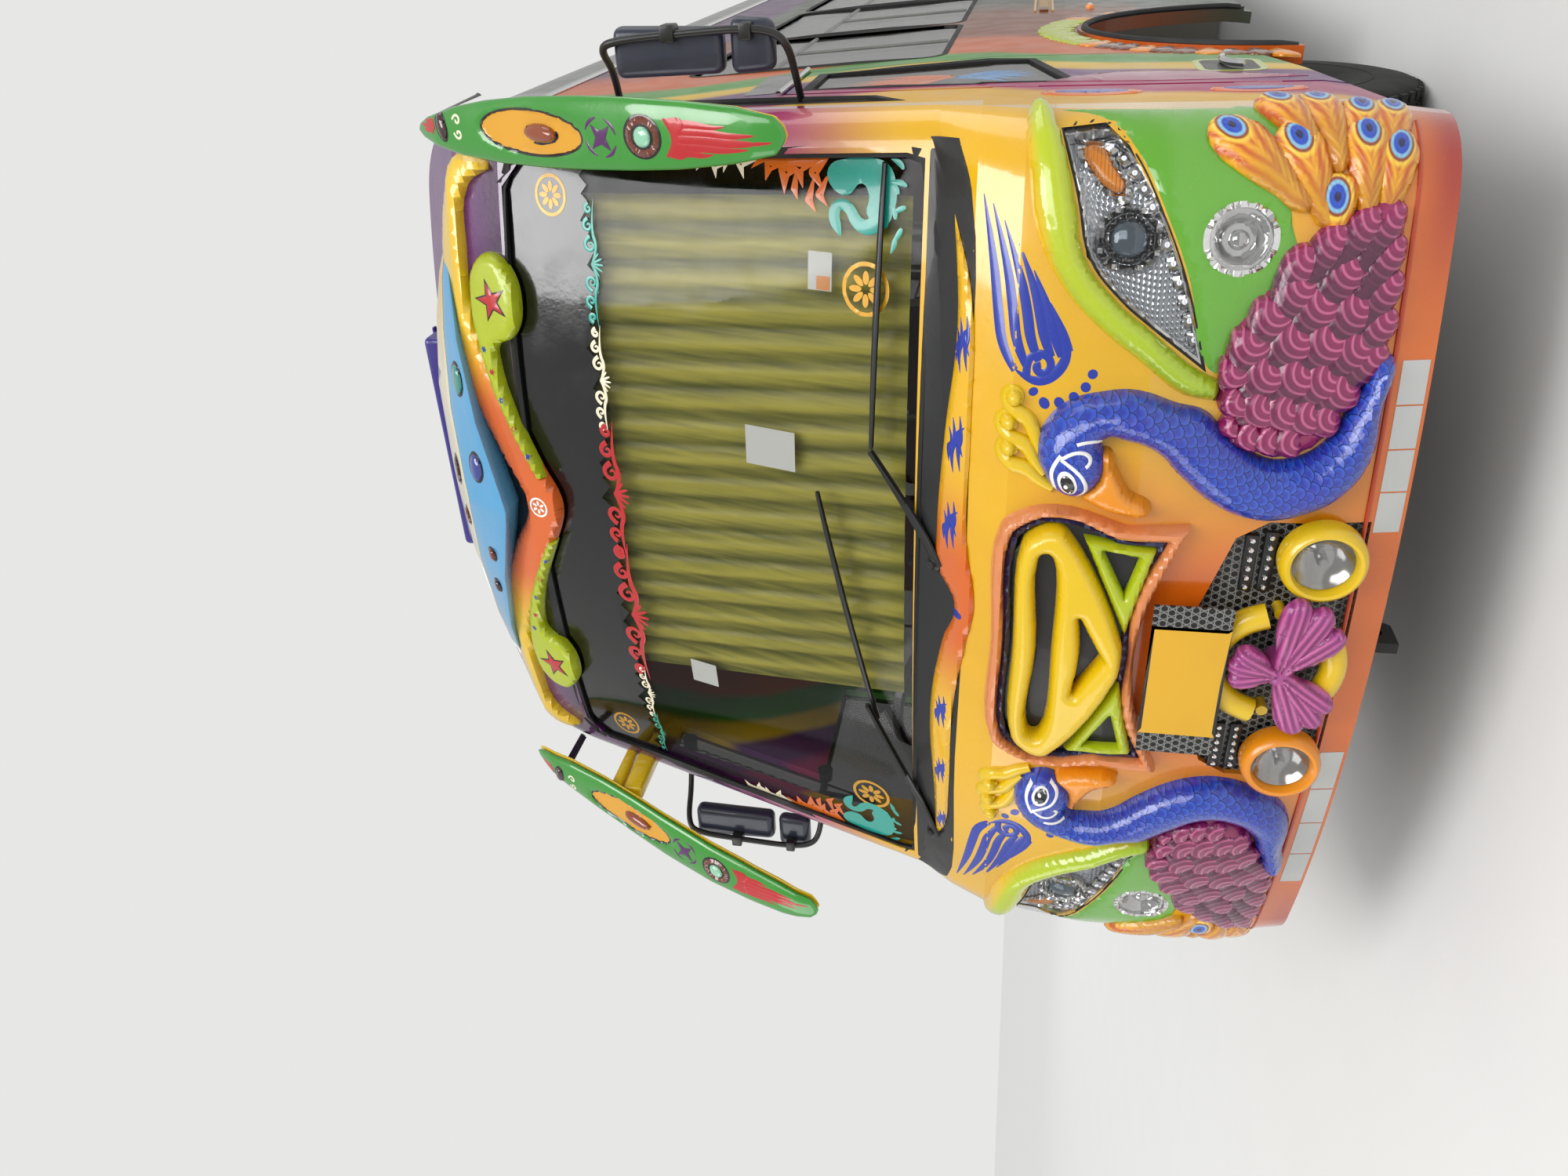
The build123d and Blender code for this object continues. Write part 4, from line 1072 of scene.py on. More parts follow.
def plume_colour(shader: Shader) -> Maths:
    """Magenta feather with a dark root, and pale arcs parallel to its tip as a painted highlight on its
    groove crests.
    """
    along_way, _ = shader.spine()
    # Pale arcs on the groove crests near the tip: painted highlight.
    arcs = plume_height(shader).ramp(0.62, 1.0) * (1.0 - along_way.ramp(0.03, 0.12)) * 0.6
    return shader.layers(ink("8E1256"), (along_way.ramp(0.0, 0.10), "4C0632"), (arcs, "D9709C"),
                         (along_way.ramp(0.006, 0.0) * 0.6, "5A0A3A"))


def eye_colour(shader: Shader) -> Maths:
    """Tail feather: flame ground with a ringed blue eye near its tip."""
    along_way, across = shader.spine()
    down = along_way - 0.052
    far = (down * down * 0.55 + across * across * 1.25).power(0.5) / 1.3
    streak = (across.size() * 260.0 + along_way * 60.0 + shader.noise(30.0) * 4.0).sine() * 0.5 + 0.5
    return shader.layers(
        ink("E8A21A"), (streak, "C4560E"), (along_way.ramp(0.10, 0.20) * 0.6, "B9861A"),
        (far.ramp(0.034, 0.027), "F0C23A"), (far.ramp(0.026, 0.023), "8A3A10"),
        (far.ramp(0.0215, 0.0185), "7FB8D8"), (far.ramp(0.0165, 0.0135), "1546B8"),
        (far.ramp(0.0075, 0.005), "071048"),
    )


def eye_height(shader: Shader) -> Maths:
    """Combed grooves that run out from a tail feather's shaft."""
    along_way, across = shader.spine()
    return (across.size() * 520.0 + along_way * 260.0).sine() * 0.5 + 0.5


def front_colour(shader: Shader) -> Maths:
    """Yellow front that turns orange in the middle and at the lip, and purple up the pillars."""
    x, _, z = shader.axes()
    wide = x.size()
    drift = shader.noise(1.7, 2.0) * 0.12
    middle = (wide + drift).ramp(0.80, 0.22) * (z + drift).ramp(1.46, 1.12)
    low = (z + drift).ramp(0.92, 0.55) * 0.7
    return shader.layers(
        ink("E0AC08"), (middle.most(low), "CC5A08"), (z.ramp(0.492, 0.468), "CC620A"),
        (z.ramp(0.49, 0.40) * wide.ramp(0.8, 1.25), "9C1E10"), (z.ramp(1.62, 2.05), "A83A70"),
        (z.ramp(1.95, 2.45), "4A1650"),
    )


def dome_colour(shader: Shader) -> Maths:
    """Black brow over the windscreen with purple shoulders."""
    x, _, z = shader.axes()
    arch = 3.02 + 0.22 * (1.0 - (x / 1.15) * (x / 1.15))
    return shader.layers(ink("3A1040"), (z.ramp(2.955, 3.10), "5A1E66"),
                         (x.size().ramp(0.78, 0.70) * (z - arch).ramp(0.0, -0.02), "08080A"))


def flame_side(shader: Shader) -> Maths:
    """Swept side: yellow, magenta and purple flames over green at the front, dull green behind."""
    _, y, z = shader.axes()
    wave = (z * 2.6 + 0.4).sine() * 0.16 + (z * 6.1).sine() * 0.05 + shader.noise(2.0, 2.0) * 0.10
    at = y - FRONT_Y + wave
    return shader.layers(
        ink("D8A40C"), (at.ramp(0.66, 0.74), "A01E5C"), (at.ramp(0.88, 0.97), "5A1C66"),
        (at.ramp(1.10, 1.16), "D8B012"), (at.ramp(1.24, 1.30), "3E8A20"), (at.ramp(1.42, 1.50), "C0560E"),
        (at.ramp(1.86, 2.02), "7A3A14"), (at.ramp(2.7, 3.4), "3B4234"),
        (z.ramp(0.95, 0.91) * at.ramp(2.6, 3.0), "2C3A2C"),
        ((z - 1.30).size().ramp(0.035, 0.03) * at.ramp(2.9, 3.1), "A8801A"),
        (z.ramp(2.62, 2.66) * at.ramp(1.6, 2.2), "4A1F55"),
    )


def mesh_colour(shader: Shader) -> Maths:
    """Black plate with a field of hexagonal holes painted black as the shade seen through them, each ringed
    by a painted highlight on its edge.
    """
    x, _, z = shader.axes()
    pitch = 0.022
    far = None
    for shift in (0.0, 0.5):
        across = (x / pitch + 40.0 + shift).modulo(1.0) - 0.5
        up = (z / (pitch * 1.732) + shift).modulo(1.0) - 0.5
        here = (across * across + up * up * 3.0).power(0.5)
        far = here if far is None else far.least(here)
    # Black in the holes is painted shade; the pale ring round each hole is a painted highlight.
    return shader.layers(ink("040404"), (far.ramp(0.34, 0.42), "8A8A86"), (far.ramp(0.44, 0.52), "2A2A2A"))


def cloth_colour(shader: Shader) -> Maths:
    """Yellow-green satin with soft streaks down its pleats: painted highlights on the pleats' crests over a
    darker base that stands for shade in their hollows, darker towards the top.
    """
    x, _, z = shader.axes()
    fold, _ = shader.spine()
    streak = shader.noise(55.0, 3.0, shader.node("ShaderNodeCombineXYZ", {}, {0: x, 1: 0.0, 2: z * 0.06}))
    # Bright where the pleats bulge towards the glass: painted highlight; the darker base between them is
    # painted shade.
    return shader.layers(ink("6E7220"), ((fold * 0.55 + streak * 1.5 - 0.75).ramp(1.0, -0.8), "EEE466"),
                         (z.ramp(2.3, 2.9) * 0.6, "4C4A1C"))


NECK = Finish("scaled_neck", ink("14289A"), rough=0.22, coat=0.8, pattern=scale_colour, height=scale_height,
              depth=0.003, vary=0.1)
PLUME = Finish("wing_plume", ink("8E1450"), rough=0.26, coat=0.7, pattern=plume_colour, height=plume_height,
               depth=0.0015, vary=0.1)
TAIL = Finish("tail_plume", ink("C4560E"), rough=0.26, coat=0.7, pattern=eye_colour, height=eye_height,
              depth=0.0012, vary=0.1)
FRONT = Finish("front_lacquer", ink("E0AC08"), rough=0.2, coat=1.0, pattern=front_colour, vary=0.12)
DOME = Finish("dome_lacquer", ink("3A1040"), rough=0.22, coat=0.8, pattern=dome_colour)
SIDE = Finish("side_lacquer", ink("3B4234"), rough=0.3, coat=0.2, ior=1.35, pattern=flame_side, vary=0.2)
MESH = Finish("hex_mesh", ink("202020"), rough=0.4, pattern=mesh_colour)
SATIN = Finish("pleated_satin", ink("8A8A30"), rough=0.32, pattern=cloth_colour, vary=0.05, relief=0.0003)
CHROME = Finish("chrome", ink("D8D8D8"), rough=0.08, metal=1.0, vary=0.05, relief=0.0001)
STEEL = Finish("bare_steel", ink("8C8C88"), rough=0.35, metal=1.0, vary=0.3)
GLASS = Finish("clear_glass", ink("101414"), rough=0.02, alpha=0.15, ior=1.8, vary=0.02, relief=0.00005)
DARK_GLASS = Finish(
    "tinted_glass", ink("0C1011"), rough=0.03, alpha=0.72, ior=1.8, coat=0.5, vary=0.1, relief=0.00005
)
RUBBER = Finish("black_rubber", ink("101011"), rough=0.55, vary=0.3, relief=0.0003)
TYRE = Finish("tyre_rubber", ink("171716"), rough=0.75, vary=0.4, relief=0.0008)
PLASTIC = Finish("black_plastic", ink("141516"), rough=0.38, coat=0.2)
FRAME_BLACK = Finish("frame_black", ink("101011"), rough=0.5, vary=0.5)
WHEEL = Finish("wheel_silver", ink("8E9092"), rough=0.42, metal=0.3, vary=0.4)
IRON = Finish("cast_iron", ink("242424"), rough=0.7, vary=0.4, relief=0.001)
BOARD = Finish("worn_board", ink("4A4740"), rough=0.7, vary=0.3)
SEAT = Finish("woven_cloth", ink("6A1A1E"), rough=0.85, vary=0.2, grain=500.0, relief=0.0006)
FOAM_WHITE = Finish("paper_white", ink("DADAD4"), rough=0.7, vary=0.1)
REFLECTOR = Finish("reflective_strip", ink("C4C6C4"), rough=0.3, metal=0.5, vary=0.35)
AMBER_LENS = Finish("amber_lens", ink("E07A10"), rough=0.12, coat=1.0, glow=0.1)
RED_LENS = Finish("red_lens", ink("A00C10"), rough=0.12, coat=1.0, glow=0.1)
PLATE = Finish("plate_yellow", ink("D9A514"), rough=0.35, coat=0.3, vary=0.25)
DULL = Finish("dull_green_paint", Tint.DULL_GREEN.value, rough=0.3, coat=0.6, vary=0.25)


@dataclass
class Peacocks:
    """The pair of peacocks in relief either side of the grille."""

    neck: Sequence[Point] = (
        (604, 1264), (670, 1213), (705, 1121), (713, 1039), (687, 952), (671, 887), (640, 850), (600, 800),
        (562, 740), (560, 680), (600, 610), (700, 560), (807, 497), (674, 489), (557, 497), (477, 547),
        (433, 619), (410, 700), (415, 772), (448, 848), (509, 926), (575, 997), (594, 1056), (592, 1113),
        (546, 1102), (491, 1113), (447, 1161), (451, 1213), (498, 1256), (552, 1274),
    )
    neck_spine: Sequence[Point] = (
        (470, 1180), (545, 1200), (625, 1170), (652, 1080), (640, 980), (590, 900), (520, 830), (488, 740),
        (500, 640), (560, 560), (680, 520), (810, 496),
    )
    beak: Sequence[Point] = (
        (452, 1160), (425, 1120), (410, 1060), (408, 1010), (420, 985, 1), (440, 990), (470, 1042),
        (522, 1075), (572, 1108), (500, 1125),
    )
    wing: Sequence[Point] = (
        (640, 812), (677, 858), (748, 857), (837, 850), (911, 799), (1008, 733), (1046, 693), (1084, 628),
        (1143, 528), (1130, 508), (1097, 500), (893, 497), (812, 500), (705, 562), (605, 614), (566, 682),
        (566, 740),
    )
    plumes: Sequence[tuple[float, float, float, float, float]] = (
        (1124, 508, 900, 660, 36), (1058, 500, 850, 640, 38), (985, 497, 800, 630, 40),
        (905, 498, 760, 620, 42), (828, 506, 700, 640, 46), (1118, 560, 930, 700, 38),
        (1084, 628, 900, 745, 40), (1040, 690, 880, 775, 44), (1022, 590, 860, 715, 50),
        (940, 560, 800, 680, 54), (850, 545, 745, 660, 56), (755, 562, 680, 665, 56),
        (680, 590, 640, 690, 50), (985, 690, 850, 780, 52), (950, 640, 830, 740, 56),
        (868, 610, 765, 715, 60), (778, 605, 700, 705, 60), (690, 632, 640, 720, 56),
        (620, 665, 600, 745, 44), (925, 745, 810, 812, 52), (872, 684, 775, 780, 62),
        (788, 665, 710, 765, 62), (700, 684, 655, 775, 60), (622, 715, 605, 785, 44),
        (862, 788, 760, 838, 50), (795, 738, 715, 815, 62), (708, 742, 660, 822, 60),
        (632, 762, 615, 825, 44), (790, 822, 730, 856, 42), (715, 802, 680, 852, 50),
        (652, 812, 635, 852, 36),
    )
    feathers: Sequence[tuple[float, float, float, float, float]] = (
        (1.452, 0.520, 1.170, 0.560, 0.050), (1.440, 0.600, 1.200, 0.600, 0.052),
        (1.320, 0.520, 1.080, 0.545, 0.048), (1.350, 0.600, 1.100, 0.580, 0.052),
        (1.480, 0.700, 1.210, 0.650, 0.052), (1.205, 0.665, 1.060, 0.640, 0.052),
        (1.330, 0.765, 1.090, 0.660, 0.054), (1.470, 0.800, 1.240, 0.700, 0.052),
        (1.345, 0.925, 1.130, 0.710, 0.058),
    )
    curls: Sequence[Sequence[Point]] = (
        (
            (455, 1228), (470, 1262), (500, 1295), (505, 1335), (525, 1362), (555, 1358), (556, 1332),
            (535, 1330)
        ),
        (
            (490, 1250), (520, 1275), (560, 1298), (572, 1338), (592, 1368), (624, 1362), (622, 1336),
            (600, 1336)
        ),
        (
            (540, 1262), (585, 1278), (625, 1298), (640, 1332), (662, 1356), (690, 1346), (684, 1322),
            (664, 1326)
        ),
    )

    def build(self) -> None:
        """Make necks, beaks, crests, wings and tails."""
        curls, whites, blacks = [], [], []
        neck = relief(
            millimetres(self.neck), 0.084, 0.075, cell=0.011, spine=millimetres(self.neck_spine), lift=0.0
        )
        lay = on_mesh(neck)
        beak = relief(millimetres(self.beak), 0.05, 0.03, cell=0.012, lift=0.006)
        for points in self.curls:
            curls.append(
                tube(
                    millimetres(points), 0.019, (0.8, 1.0, 1.1, 1.1, 1.0, 0.95, 0.85, 0.7), wrap=on_front,
                    sides=9
                )
            )
        for x, z in ((548, 1346), (613, 1350), (676, 1337)):
            curls.append(
                relief(oval(x / 1000, z / 1000, 0.022, 0.022), 0.028, 0.022, lift=0.008, cell=0.01)
            )
        whites.append(
            relief(oval(0.500, 1.196, 0.034, 0.022, turn=0.35), 0.0015, 0.004, cell=0.02, wrap=lay)
        )
        blacks.append(
            relief(
                oval(0.497, 1.195, 0.026, 0.0155, turn=0.35), 0.002, 0.004, lift=0.0025, cell=0.02, wrap=lay
            )
        )
        # The small white dot on the pupil is a painted highlight.
        whites.append(
            relief(oval(0.492, 1.199, 0.006, 0.005), 0.001, 0.002, lift=0.0046, cell=0.02, wrap=lay)
        )
        for line in (
            ((560, 1215), (582, 1190), (580, 1155), (556, 1140), (545, 1155)),
            ((455, 1170), (470, 1150), (500, 1150), (535, 1172), (560, 1215)),
            ((470, 1222), (500, 1236), (540, 1234), (570, 1216)), ((600, 1180), (612, 1150), (600, 1120))
        ):
            whites.append(tube(millimetres(line), 0.0045, flat=0.4, wrap=lay, sides=3))
        piece("peacock_necks_scaled", pair(neck), NECK, replaces="peacock_necks")
        piece("peacock_beaks", pair(beak), gloss(Tint.AMBER))
        piece("peacock_crests", pair(join(curls)), gloss(Tint.YELLOW))
        piece("peacock_eye_whites_and_highlight", pair(join(whites)), gloss(Tint.WHITE))
        piece("peacock_eye_pupils", pair(join(blacks)), gloss(Tint.BLACK))
        self._wings()
        self._tails()

    def _wings(self) -> None:
        """Lay overlapping plumes on each wing, the shoulder's on top."""
        base = relief(millimetres(self.wing), 0.036, 0.045, cell=0.03, lift=0.0)
        parts = []
        for i, (*ends, half) in enumerate(self.plumes):
            tip, root = millimetres((ends[:2], ends[2:]))
            parts.append(leaf(tip, root, half / 1000, 0.022, 0.020 + 0.0006 * i, on_front))
        piece("peacock_wing_plumes", pair(join(parts)), PLUME, replaces="peacock_wings")
        piece("peacock_wing_bases", pair(base), gloss(Tint.MAGENTA))

    def _tails(self) -> None:
        """Lay the eyed tail feathers round each corner."""
        parts = []
        for i, (way, z, root_way, root_z, half) in enumerate(self.feathers):
            parts.append(leaf((way, z), (root_way, root_z), half, 0.020, 0.004 + 0.0012 * i, on_round))
        piece(
            "peacock_tail_feathers", pair(join(parts)), TAIL, replaces="peacock_tails"
        )


@dataclass
class Grille:
    """Patterned grille panel, mesh intake, ring with its bow, and the blank plate."""

    STUDS = 6
    frame_line: Sequence[Point] = (
        (340, 1352), (376, 1318), (410, 1216), (375, 1040, 1), (385, 887, 1), (285, 927), (105, 978),
        (-105, 978), (-285, 927), (-385, 887, 1), (-375, 1040, 1), (-410, 1216), (-376, 1318), (-340, 1352),
        (0, 1362),
    )
    navy_line: Sequence[Point] = (
        (318, 1322), (352, 1296), (386, 1206), (345, 1062, 1), (345, 936, 1), (180, 1002), (0, 1004),
        (-180, 1002), (-345, 936, 1), (-345, 1062, 1), (-386, 1206), (-352, 1296), (-318, 1322), (0, 1328),
    )
    inner_line: Sequence[Point] = (
        (310, 1304), (340, 1280), (368, 1204), (330, 1060, 1), (328, 960, 1), (180, 1018), (0, 1020),
        (-180, 1018), (-328, 960, 1), (-330, 1060, 1), (-368, 1204), (-340, 1280), (-310, 1304), (0, 1310),
    )
    mouth_line: Sequence[Point] = (
        (300, 1296), (335, 1276), (364, 1206), (345, 1176), (60, 1026), (0, 1018), (-60, 1026),
        (-345, 1176), (-364, 1206), (-335, 1276), (-300, 1296), (0, 1302),
    )
    slot_line: Sequence[Point] = (
        (262, 1250), (290, 1234), (276, 1214), (0, 1200), (-276, 1214), (-290, 1234), (-262, 1250),
        (0, 1240),
    )
    notch_line: Sequence[Point] = ((118, 1136, 1), (0, 1072, 1), (-118, 1136, 1), (0, 1126))

    def build(self) -> None:
        """Make the panel, the mouth, the triangles, the ring and the bow."""
        panel = relief(millimetres(self.frame_line), 0.032, 0.016, lift=0.012, cell=0.010,
                       holes=[millimetres(self.navy_line)])
        piece("grille_frame_salmon", panel, gloss(Tint.SALMON), replaces="grille_frame")
        border = relief(millimetres(self.navy_line), 0.012, 0.008, lift=0.012, cell=0.014,
                        holes=[millimetres(self.inner_line)])
        piece("grille_border_navy", border, gloss(Tint.NAVY))
        piece(
            "grille_back", relief(millimetres(self.inner_line), 0.004, 0.004, cell=0.05, lift=0.0), PLASTIC,
        )
        mouth = relief(millimetres(self.mouth_line), 0.050, 0.026, lift=0.020, cell=0.009,
                       holes=[millimetres(self.slot_line), millimetres(self.notch_line)])
        piece("grille_mouth_rounded", mouth, gloss(Tint.YELLOW), replaces="grille_mouth")
        outer = ((340, 1142, 1), (70, 1018, 1), (322, 962, 1))
        opening = ((310, 1092, 1), (190, 1030, 1), (300, 1000, 1))
        lime = relief(
            millimetres(outer), 0.028, 0.018, lift=0.014, cell=0.009, holes=[millimetres(opening)]
        )
        piece("grille_triangles", pair(lime), gloss(Tint.LIME))
        self._ring()
        self._plate()
        self._studs()

    def _ring(self) -> None:
        """Broken ring with a pleated bow over it."""
        parts = []
        for start, end in ((200, 350), (12, 168)):
            line = [(0.008 + 0.15 * math.cos(math.radians(a)), 0.645 + 0.15 * math.sin(math.radians(a)))
                    for a in np.linspace(start, end, 12)]
            parts.append(tube(line, 0.034, wrap=on_plane(FRONT_Y - 0.014), sides=9))
        for x in (-0.142, 0.158):
            parts.append(
                spun(
                    ((0.0, 0.0), (0.015, 0.0), (0.015, 0.06), (0.0, 0.06)), (x, FRONT_Y - 0.012, 0.645),
                    (0, 1, 0), 12
                )
            )
        piece("intake_ring", join(parts), gloss(Tint.YELLOW), replaces="ring_rims")
        petals = []
        tips = ((-175, 565, 40), (-150, 515, 36), (-95, 492, 34), (228, 610, 38), (205, 545, 38),
                (140, 500, 34), (-20, 752, 30), (30, 758, 32), (70, 742, 28))
        for i, (x, z, half) in enumerate(tips):
            petals.append(leaf((x / 1000, z / 1000), (0.008, 0.635), half / 1000, 0.018, 0.010 + 0.001 * i,
                               on_plane(FRONT_Y - 0.048)))
        petals.append(
            relief(
                oval(0.008, 0.632, 0.042, 0.034), 0.030, 0.034, cell=0.015, wrap=on_plane(FRONT_Y - 0.045),
                root=0.06, lift=0.0
            )
        )
        piece("bow_pleated", join(petals), BOW, replaces="bow")

    def _plate(self) -> None:
        """Blank number plate with its rim."""
        centre = (-0.035, 0.861)
        plane = on_plane(FRONT_Y - 0.0645)
        corners, inner = (
            [
                (centre[0] + sx * wide, centre[1] + sz * high, 1) for sx,
                sz in ((1, 1), (-1, 1), (-1, -1), (1, -1))
            ]
            for wide, high in ((0.168, 0.098), (0.160, 0.090))
        )
        piece("plate_blank", relief(corners, 0.0015, 0.001, cell=0.2, root=0.001, wrap=plane),
              PLATE)
        piece("plate_rim", relief(corners, 0.003, 0.002, cell=0.2, root=0.001, holes=[inner], wrap=plane),
              PLASTIC)

    def _studs(self) -> None:
        """Black bars with bright studs either side of the ring."""
        bars, studs = [], []
        for x0, x1, z in (
            (0.20, 0.36, 0.735), (-0.37, -0.22, 0.735), (0.20, 0.37, 0.690), (-0.37, -0.22, 0.690)
        ):
            middle = SKIN.front((x0 + x1) / 2, z)
            bars.append(brick((x0, middle + 0.004, z - 0.016), (x1, middle + 0.022, z + 0.016)))
            for i in range(self.STUDS):
                x = x0 + (x1 - x0) * (i + 0.5) / self.STUDS
                studs.append(
                    spun(
                        ((0.0, 0.007), (0.006, 0.005), (0.009, 0.0), (0.009, -0.004), (0.0, -0.004)),
                        (x, middle + 0.004, z), (0, -1, 0), 10
                    )
                )
        piece("intake_bars", join(bars), PLASTIC)
        piece("intake_studs", join(studs), CHROME)


def pleat_height(shader: Shader) -> Maths:
    """Pleats that run along a petal."""
    return (shader.spine()[1] * 340.0).sine() * 0.5 + 0.5


def bow_colour(shader: Shader) -> Maths:
    """Purple and pink pleats of the bow, pink on each pleat's crest as a painted highlight."""
    along_way, _ = shader.spine()
    # Pink where the pleats rise: painted highlight.
    return shader.layers(ink("7A1A5E"), (pleat_height(shader), "C05A9A"),
                         (along_way.ramp(0.08, 0.0) * 0.4, "A03A8C"))


BOW = Finish("bow_pleats", ink("7A1A5E"), rough=0.3, coat=0.6, pattern=bow_colour,
             height=pleat_height, depth=0.004)


def facet_height(shader: Shader) -> Maths:
    """Flat facets of a pressed reflector."""
    x, y, z = shader.axes()
    return ((x - y) * 300.0).sine().size() * ((z * 260.0).sine().size())


def rib_height(shader: Shader) -> Maths:
    """Level ribs of an indicator's lens."""
    return (shader.axes()[2] * 700.0).sine()


def flute_height(shader: Shader) -> Maths:
    """Upright flutes of a lamp's glass."""
    x, _, z = shader.axes()
    return (x * 900.0).sine() * 0.5 + (z * 160.0).sine() * 0.15 + 0.5


def brow_colour(shader: Shader) -> Maths:
    """Yellow-green brow with a yellow upper edge."""
    along_way, across = shader.spine()
    return shader.layers(ink("9DB80E"), (along_way.ramp(0.05, 0.55), "B4C410"),
                         (across.ramp(0.012, 0.04), "E4B80E"))


def band_colour(shader: Shader) -> Maths:
    """Yellow band that turns orange at its middle."""
    x, _, _ = shader.axes()
    return shader.mix((x - 0.06).size().ramp(0.10, 0.42), ink("D2600C"), ink("E3AE0A"))


FACET = Finish(
    "faceted_reflector", ink("B4B8BE"), rough=0.08, metal=1.0, vary=0.05, height=facet_height, depth=0.002
)
FLUTED = Finish(
    "fluted_glass", ink("0C0E0E"), rough=0.05, height=flute_height, depth=0.0015, alpha=0.22, ior=2.2
)
LENS = Finish("projector_lens", ink("54636F"), rough=0.03, metal=0.35, coat=1.0, vary=0.05)
COVER = Finish("lamp_cover", ink("0C0E0E"), rough=0.02, alpha=0.14, ior=2.4, vary=0.02, relief=0.00005)
LED_GLOW = Finish("running_light", ink("F4F6FF"), rough=0.1, glow=0.5, vary=0.02)
BROW = Finish("brow_lacquer", ink("A9BC10"), rough=0.2, coat=1.0, pattern=brow_colour, vary=0.08)
BAND = Finish("band_lacquer", ink("E3AE0A"), rough=0.22, coat=0.9, pattern=band_colour, vary=0.1)
GRASS = Finish("grass_green", ink("5AA01C"), rough=0.2, coat=1.0, vary=0.15)
AMBER_RIBBED = Finish(
    "amber_ribbed", ink("E88A12"), rough=0.12, coat=1.0, glow=0.12, height=rib_height, depth=0.002
)
BAND_BLACK = Finish("band_black", ink("050506"), rough=0.12, coat=0.6)
MIRROR_SHELL = Finish("mirror_shell", ink("23283A"), rough=0.35, coat=0.4, vary=0.15)
WHITE_LENS = Finish("white_lens", ink("D8DCDC"), rough=0.1, coat=1.0)
GOLD = Finish("gold_paint", ink("C8921C"), rough=0.3, metal=0.2, coat=0.4)


@dataclass
class Lamps:
    """Headlamps with their brows and corner panels, fog lamps and round lamps."""

    rim: Sequence[Point] = (
        (768, 900, 1), (856, 1020), (920, 1104), (1006, 1178), (1118, 1209), (1272, 1260, 1), (1280, 1160),
        (1240, 1106), (1123, 1032), (959, 958),
    )
    brow: Sequence[Point] = (
        (692, 862, 1), (705, 939), (768, 1029), (858, 1155), (943, 1240), (1056, 1304), (1184, 1330),
        (1278, 1345), (1300, 1329), (1299, 1299), (1276, 1272), (1118, 1218), (1006, 1190), (914, 1112),
        (850, 1026), (765, 912), (740, 856, 1),
    )
    brow_spine: Sequence[Point] = (
        (712, 862), (745, 950), (812, 1058), (890, 1160), (980, 1228), (1085, 1264), (1200, 1290),
        (1292, 1318),
    )
    corner: Sequence[Point] = (
        (716, 842, 1), (742, 850), (770, 892), (959, 949), (1123, 1023), (1243, 1098), (1287, 1165),
        (1298, 1268, 1), (1301, 1100), (1301, 820, 1), (1240, 720), (1111, 745), (981, 716), (870, 790),
        (810, 834),
    )

    def build(self) -> None:
        """Make the lamps and what frames them."""
        rim = unrolled(self.rim)
        housing = relief(rim, 0.001, 0.01, lift=-0.040, cell=0.03, root=0.003, wrap=on_round)
        piece("headlamp_housings", pair(housing), FACET)
        wall = relief(rim, 0.003, 0.005, lift=-0.008, cell=0.04, root=0.030, holes=[scaled(rim, 0.93)],
                      wrap=on_round)
        piece("headlamp_bezels", pair(wall), CHROME)
        seal = relief(scaled(rim, 1.035), 0.004, 0.005, cell=0.04, root=0.004, holes=[scaled(rim, 0.985)],
                      wrap=on_round)
        piece("headlamp_seals", pair(seal), RUBBER)
        self._inside()
        cover = relief(scaled(rim, 0.985), 0.006, 0.03, lift=-0.003, cell=0.03, root=0.003, wrap=on_round)
        piece("headlamp_covers", pair(cover), COVER, replaces="headlamps")
        brow = relief(
            unrolled(self.brow), 0.041, 0.042, cell=0.016, spine=unrolled(self.brow_spine), wrap=on_round,
            lift=0.0
        )
        piece("headlamp_brow_ridges", pair(brow), BROW, replaces="headlamp_brows")
        corner = relief(unrolled(self.corner), 0.003, 0.006, cell=0.03,
                        holes=[oval(round_way(1.051), 0.846, 0.079, 0.079)], wrap=on_round)
        piece("corner_panels", pair(corner), GRASS)
        self._fog()
        self._round()

    def _inside(self) -> None:
        """Projector, reflectors, running lights and indicator behind the cover."""
        x, z = round_way(1.050), 1.092
        rings = []
        for outer, inner, lift, height in ((0.082, 0.060, -0.036, 0.024), (0.058, 0.044, -0.034, 0.026)):
            rings.append(
                relief(
                    oval(x, z, outer, outer, 12), height, (outer - inner) / 2, lift=lift, cell=0.012,
                    root=0.002, holes=[oval(x, z, inner, inner, 12)], wrap=on_round
                )
            )
        cells, lights = [], []
        row = unrolled(((808, 918), (959, 972), (1110, 1040), (1222, 1112), (1262, 1160)))
        for place in along(row, 12):
            cells.append(
                relief(
                    tile(*place[:2], 0.036, 0.022, place[2]), 0.010, 0.006, lift=-0.030, cell=0.02,
                    root=0.004, wrap=on_round
                )
            )
            lights.append(relief(oval(*place[:2], 0.007, 0.006, 6), 0.003, 0.004, lift=-0.0205, cell=0.02,
                                 root=0.001, wrap=on_round))
        frame_line = unrolled(
            (
                (1128, 1098), (1140, 1142), (1190, 1186), (1258, 1222), (1270, 1206), (1268, 1170),
                (1215, 1130)
            )
        )
        inner = scaled(frame_line, 0.74)
        rings.append(relief(frame_line, 0.014, 0.010, lift=-0.034, cell=0.02, root=0.003, holes=[inner],
                            wrap=on_round))
        piece("headlamp_bright_rings", pair(join(rings + cells)), CHROME)
        piece("headlamp_running_lights", pair(join(lights)), LED_GLOW)
        lens = relief(oval(x, z, 0.043, 0.043, 12), 0.018, 0.043, lift=-0.026, cell=0.010, root=0.002,
                      wrap=on_round)
        piece("headlamp_projectors", pair(lens), LENS)
        amber = relief(
            scaled(inner, 0.98), 0.010, 0.016, lift=-0.032, cell=0.010, root=0.002, wrap=on_round
        )
        piece("headlamp_indicators", pair(amber), AMBER_RIBBED)

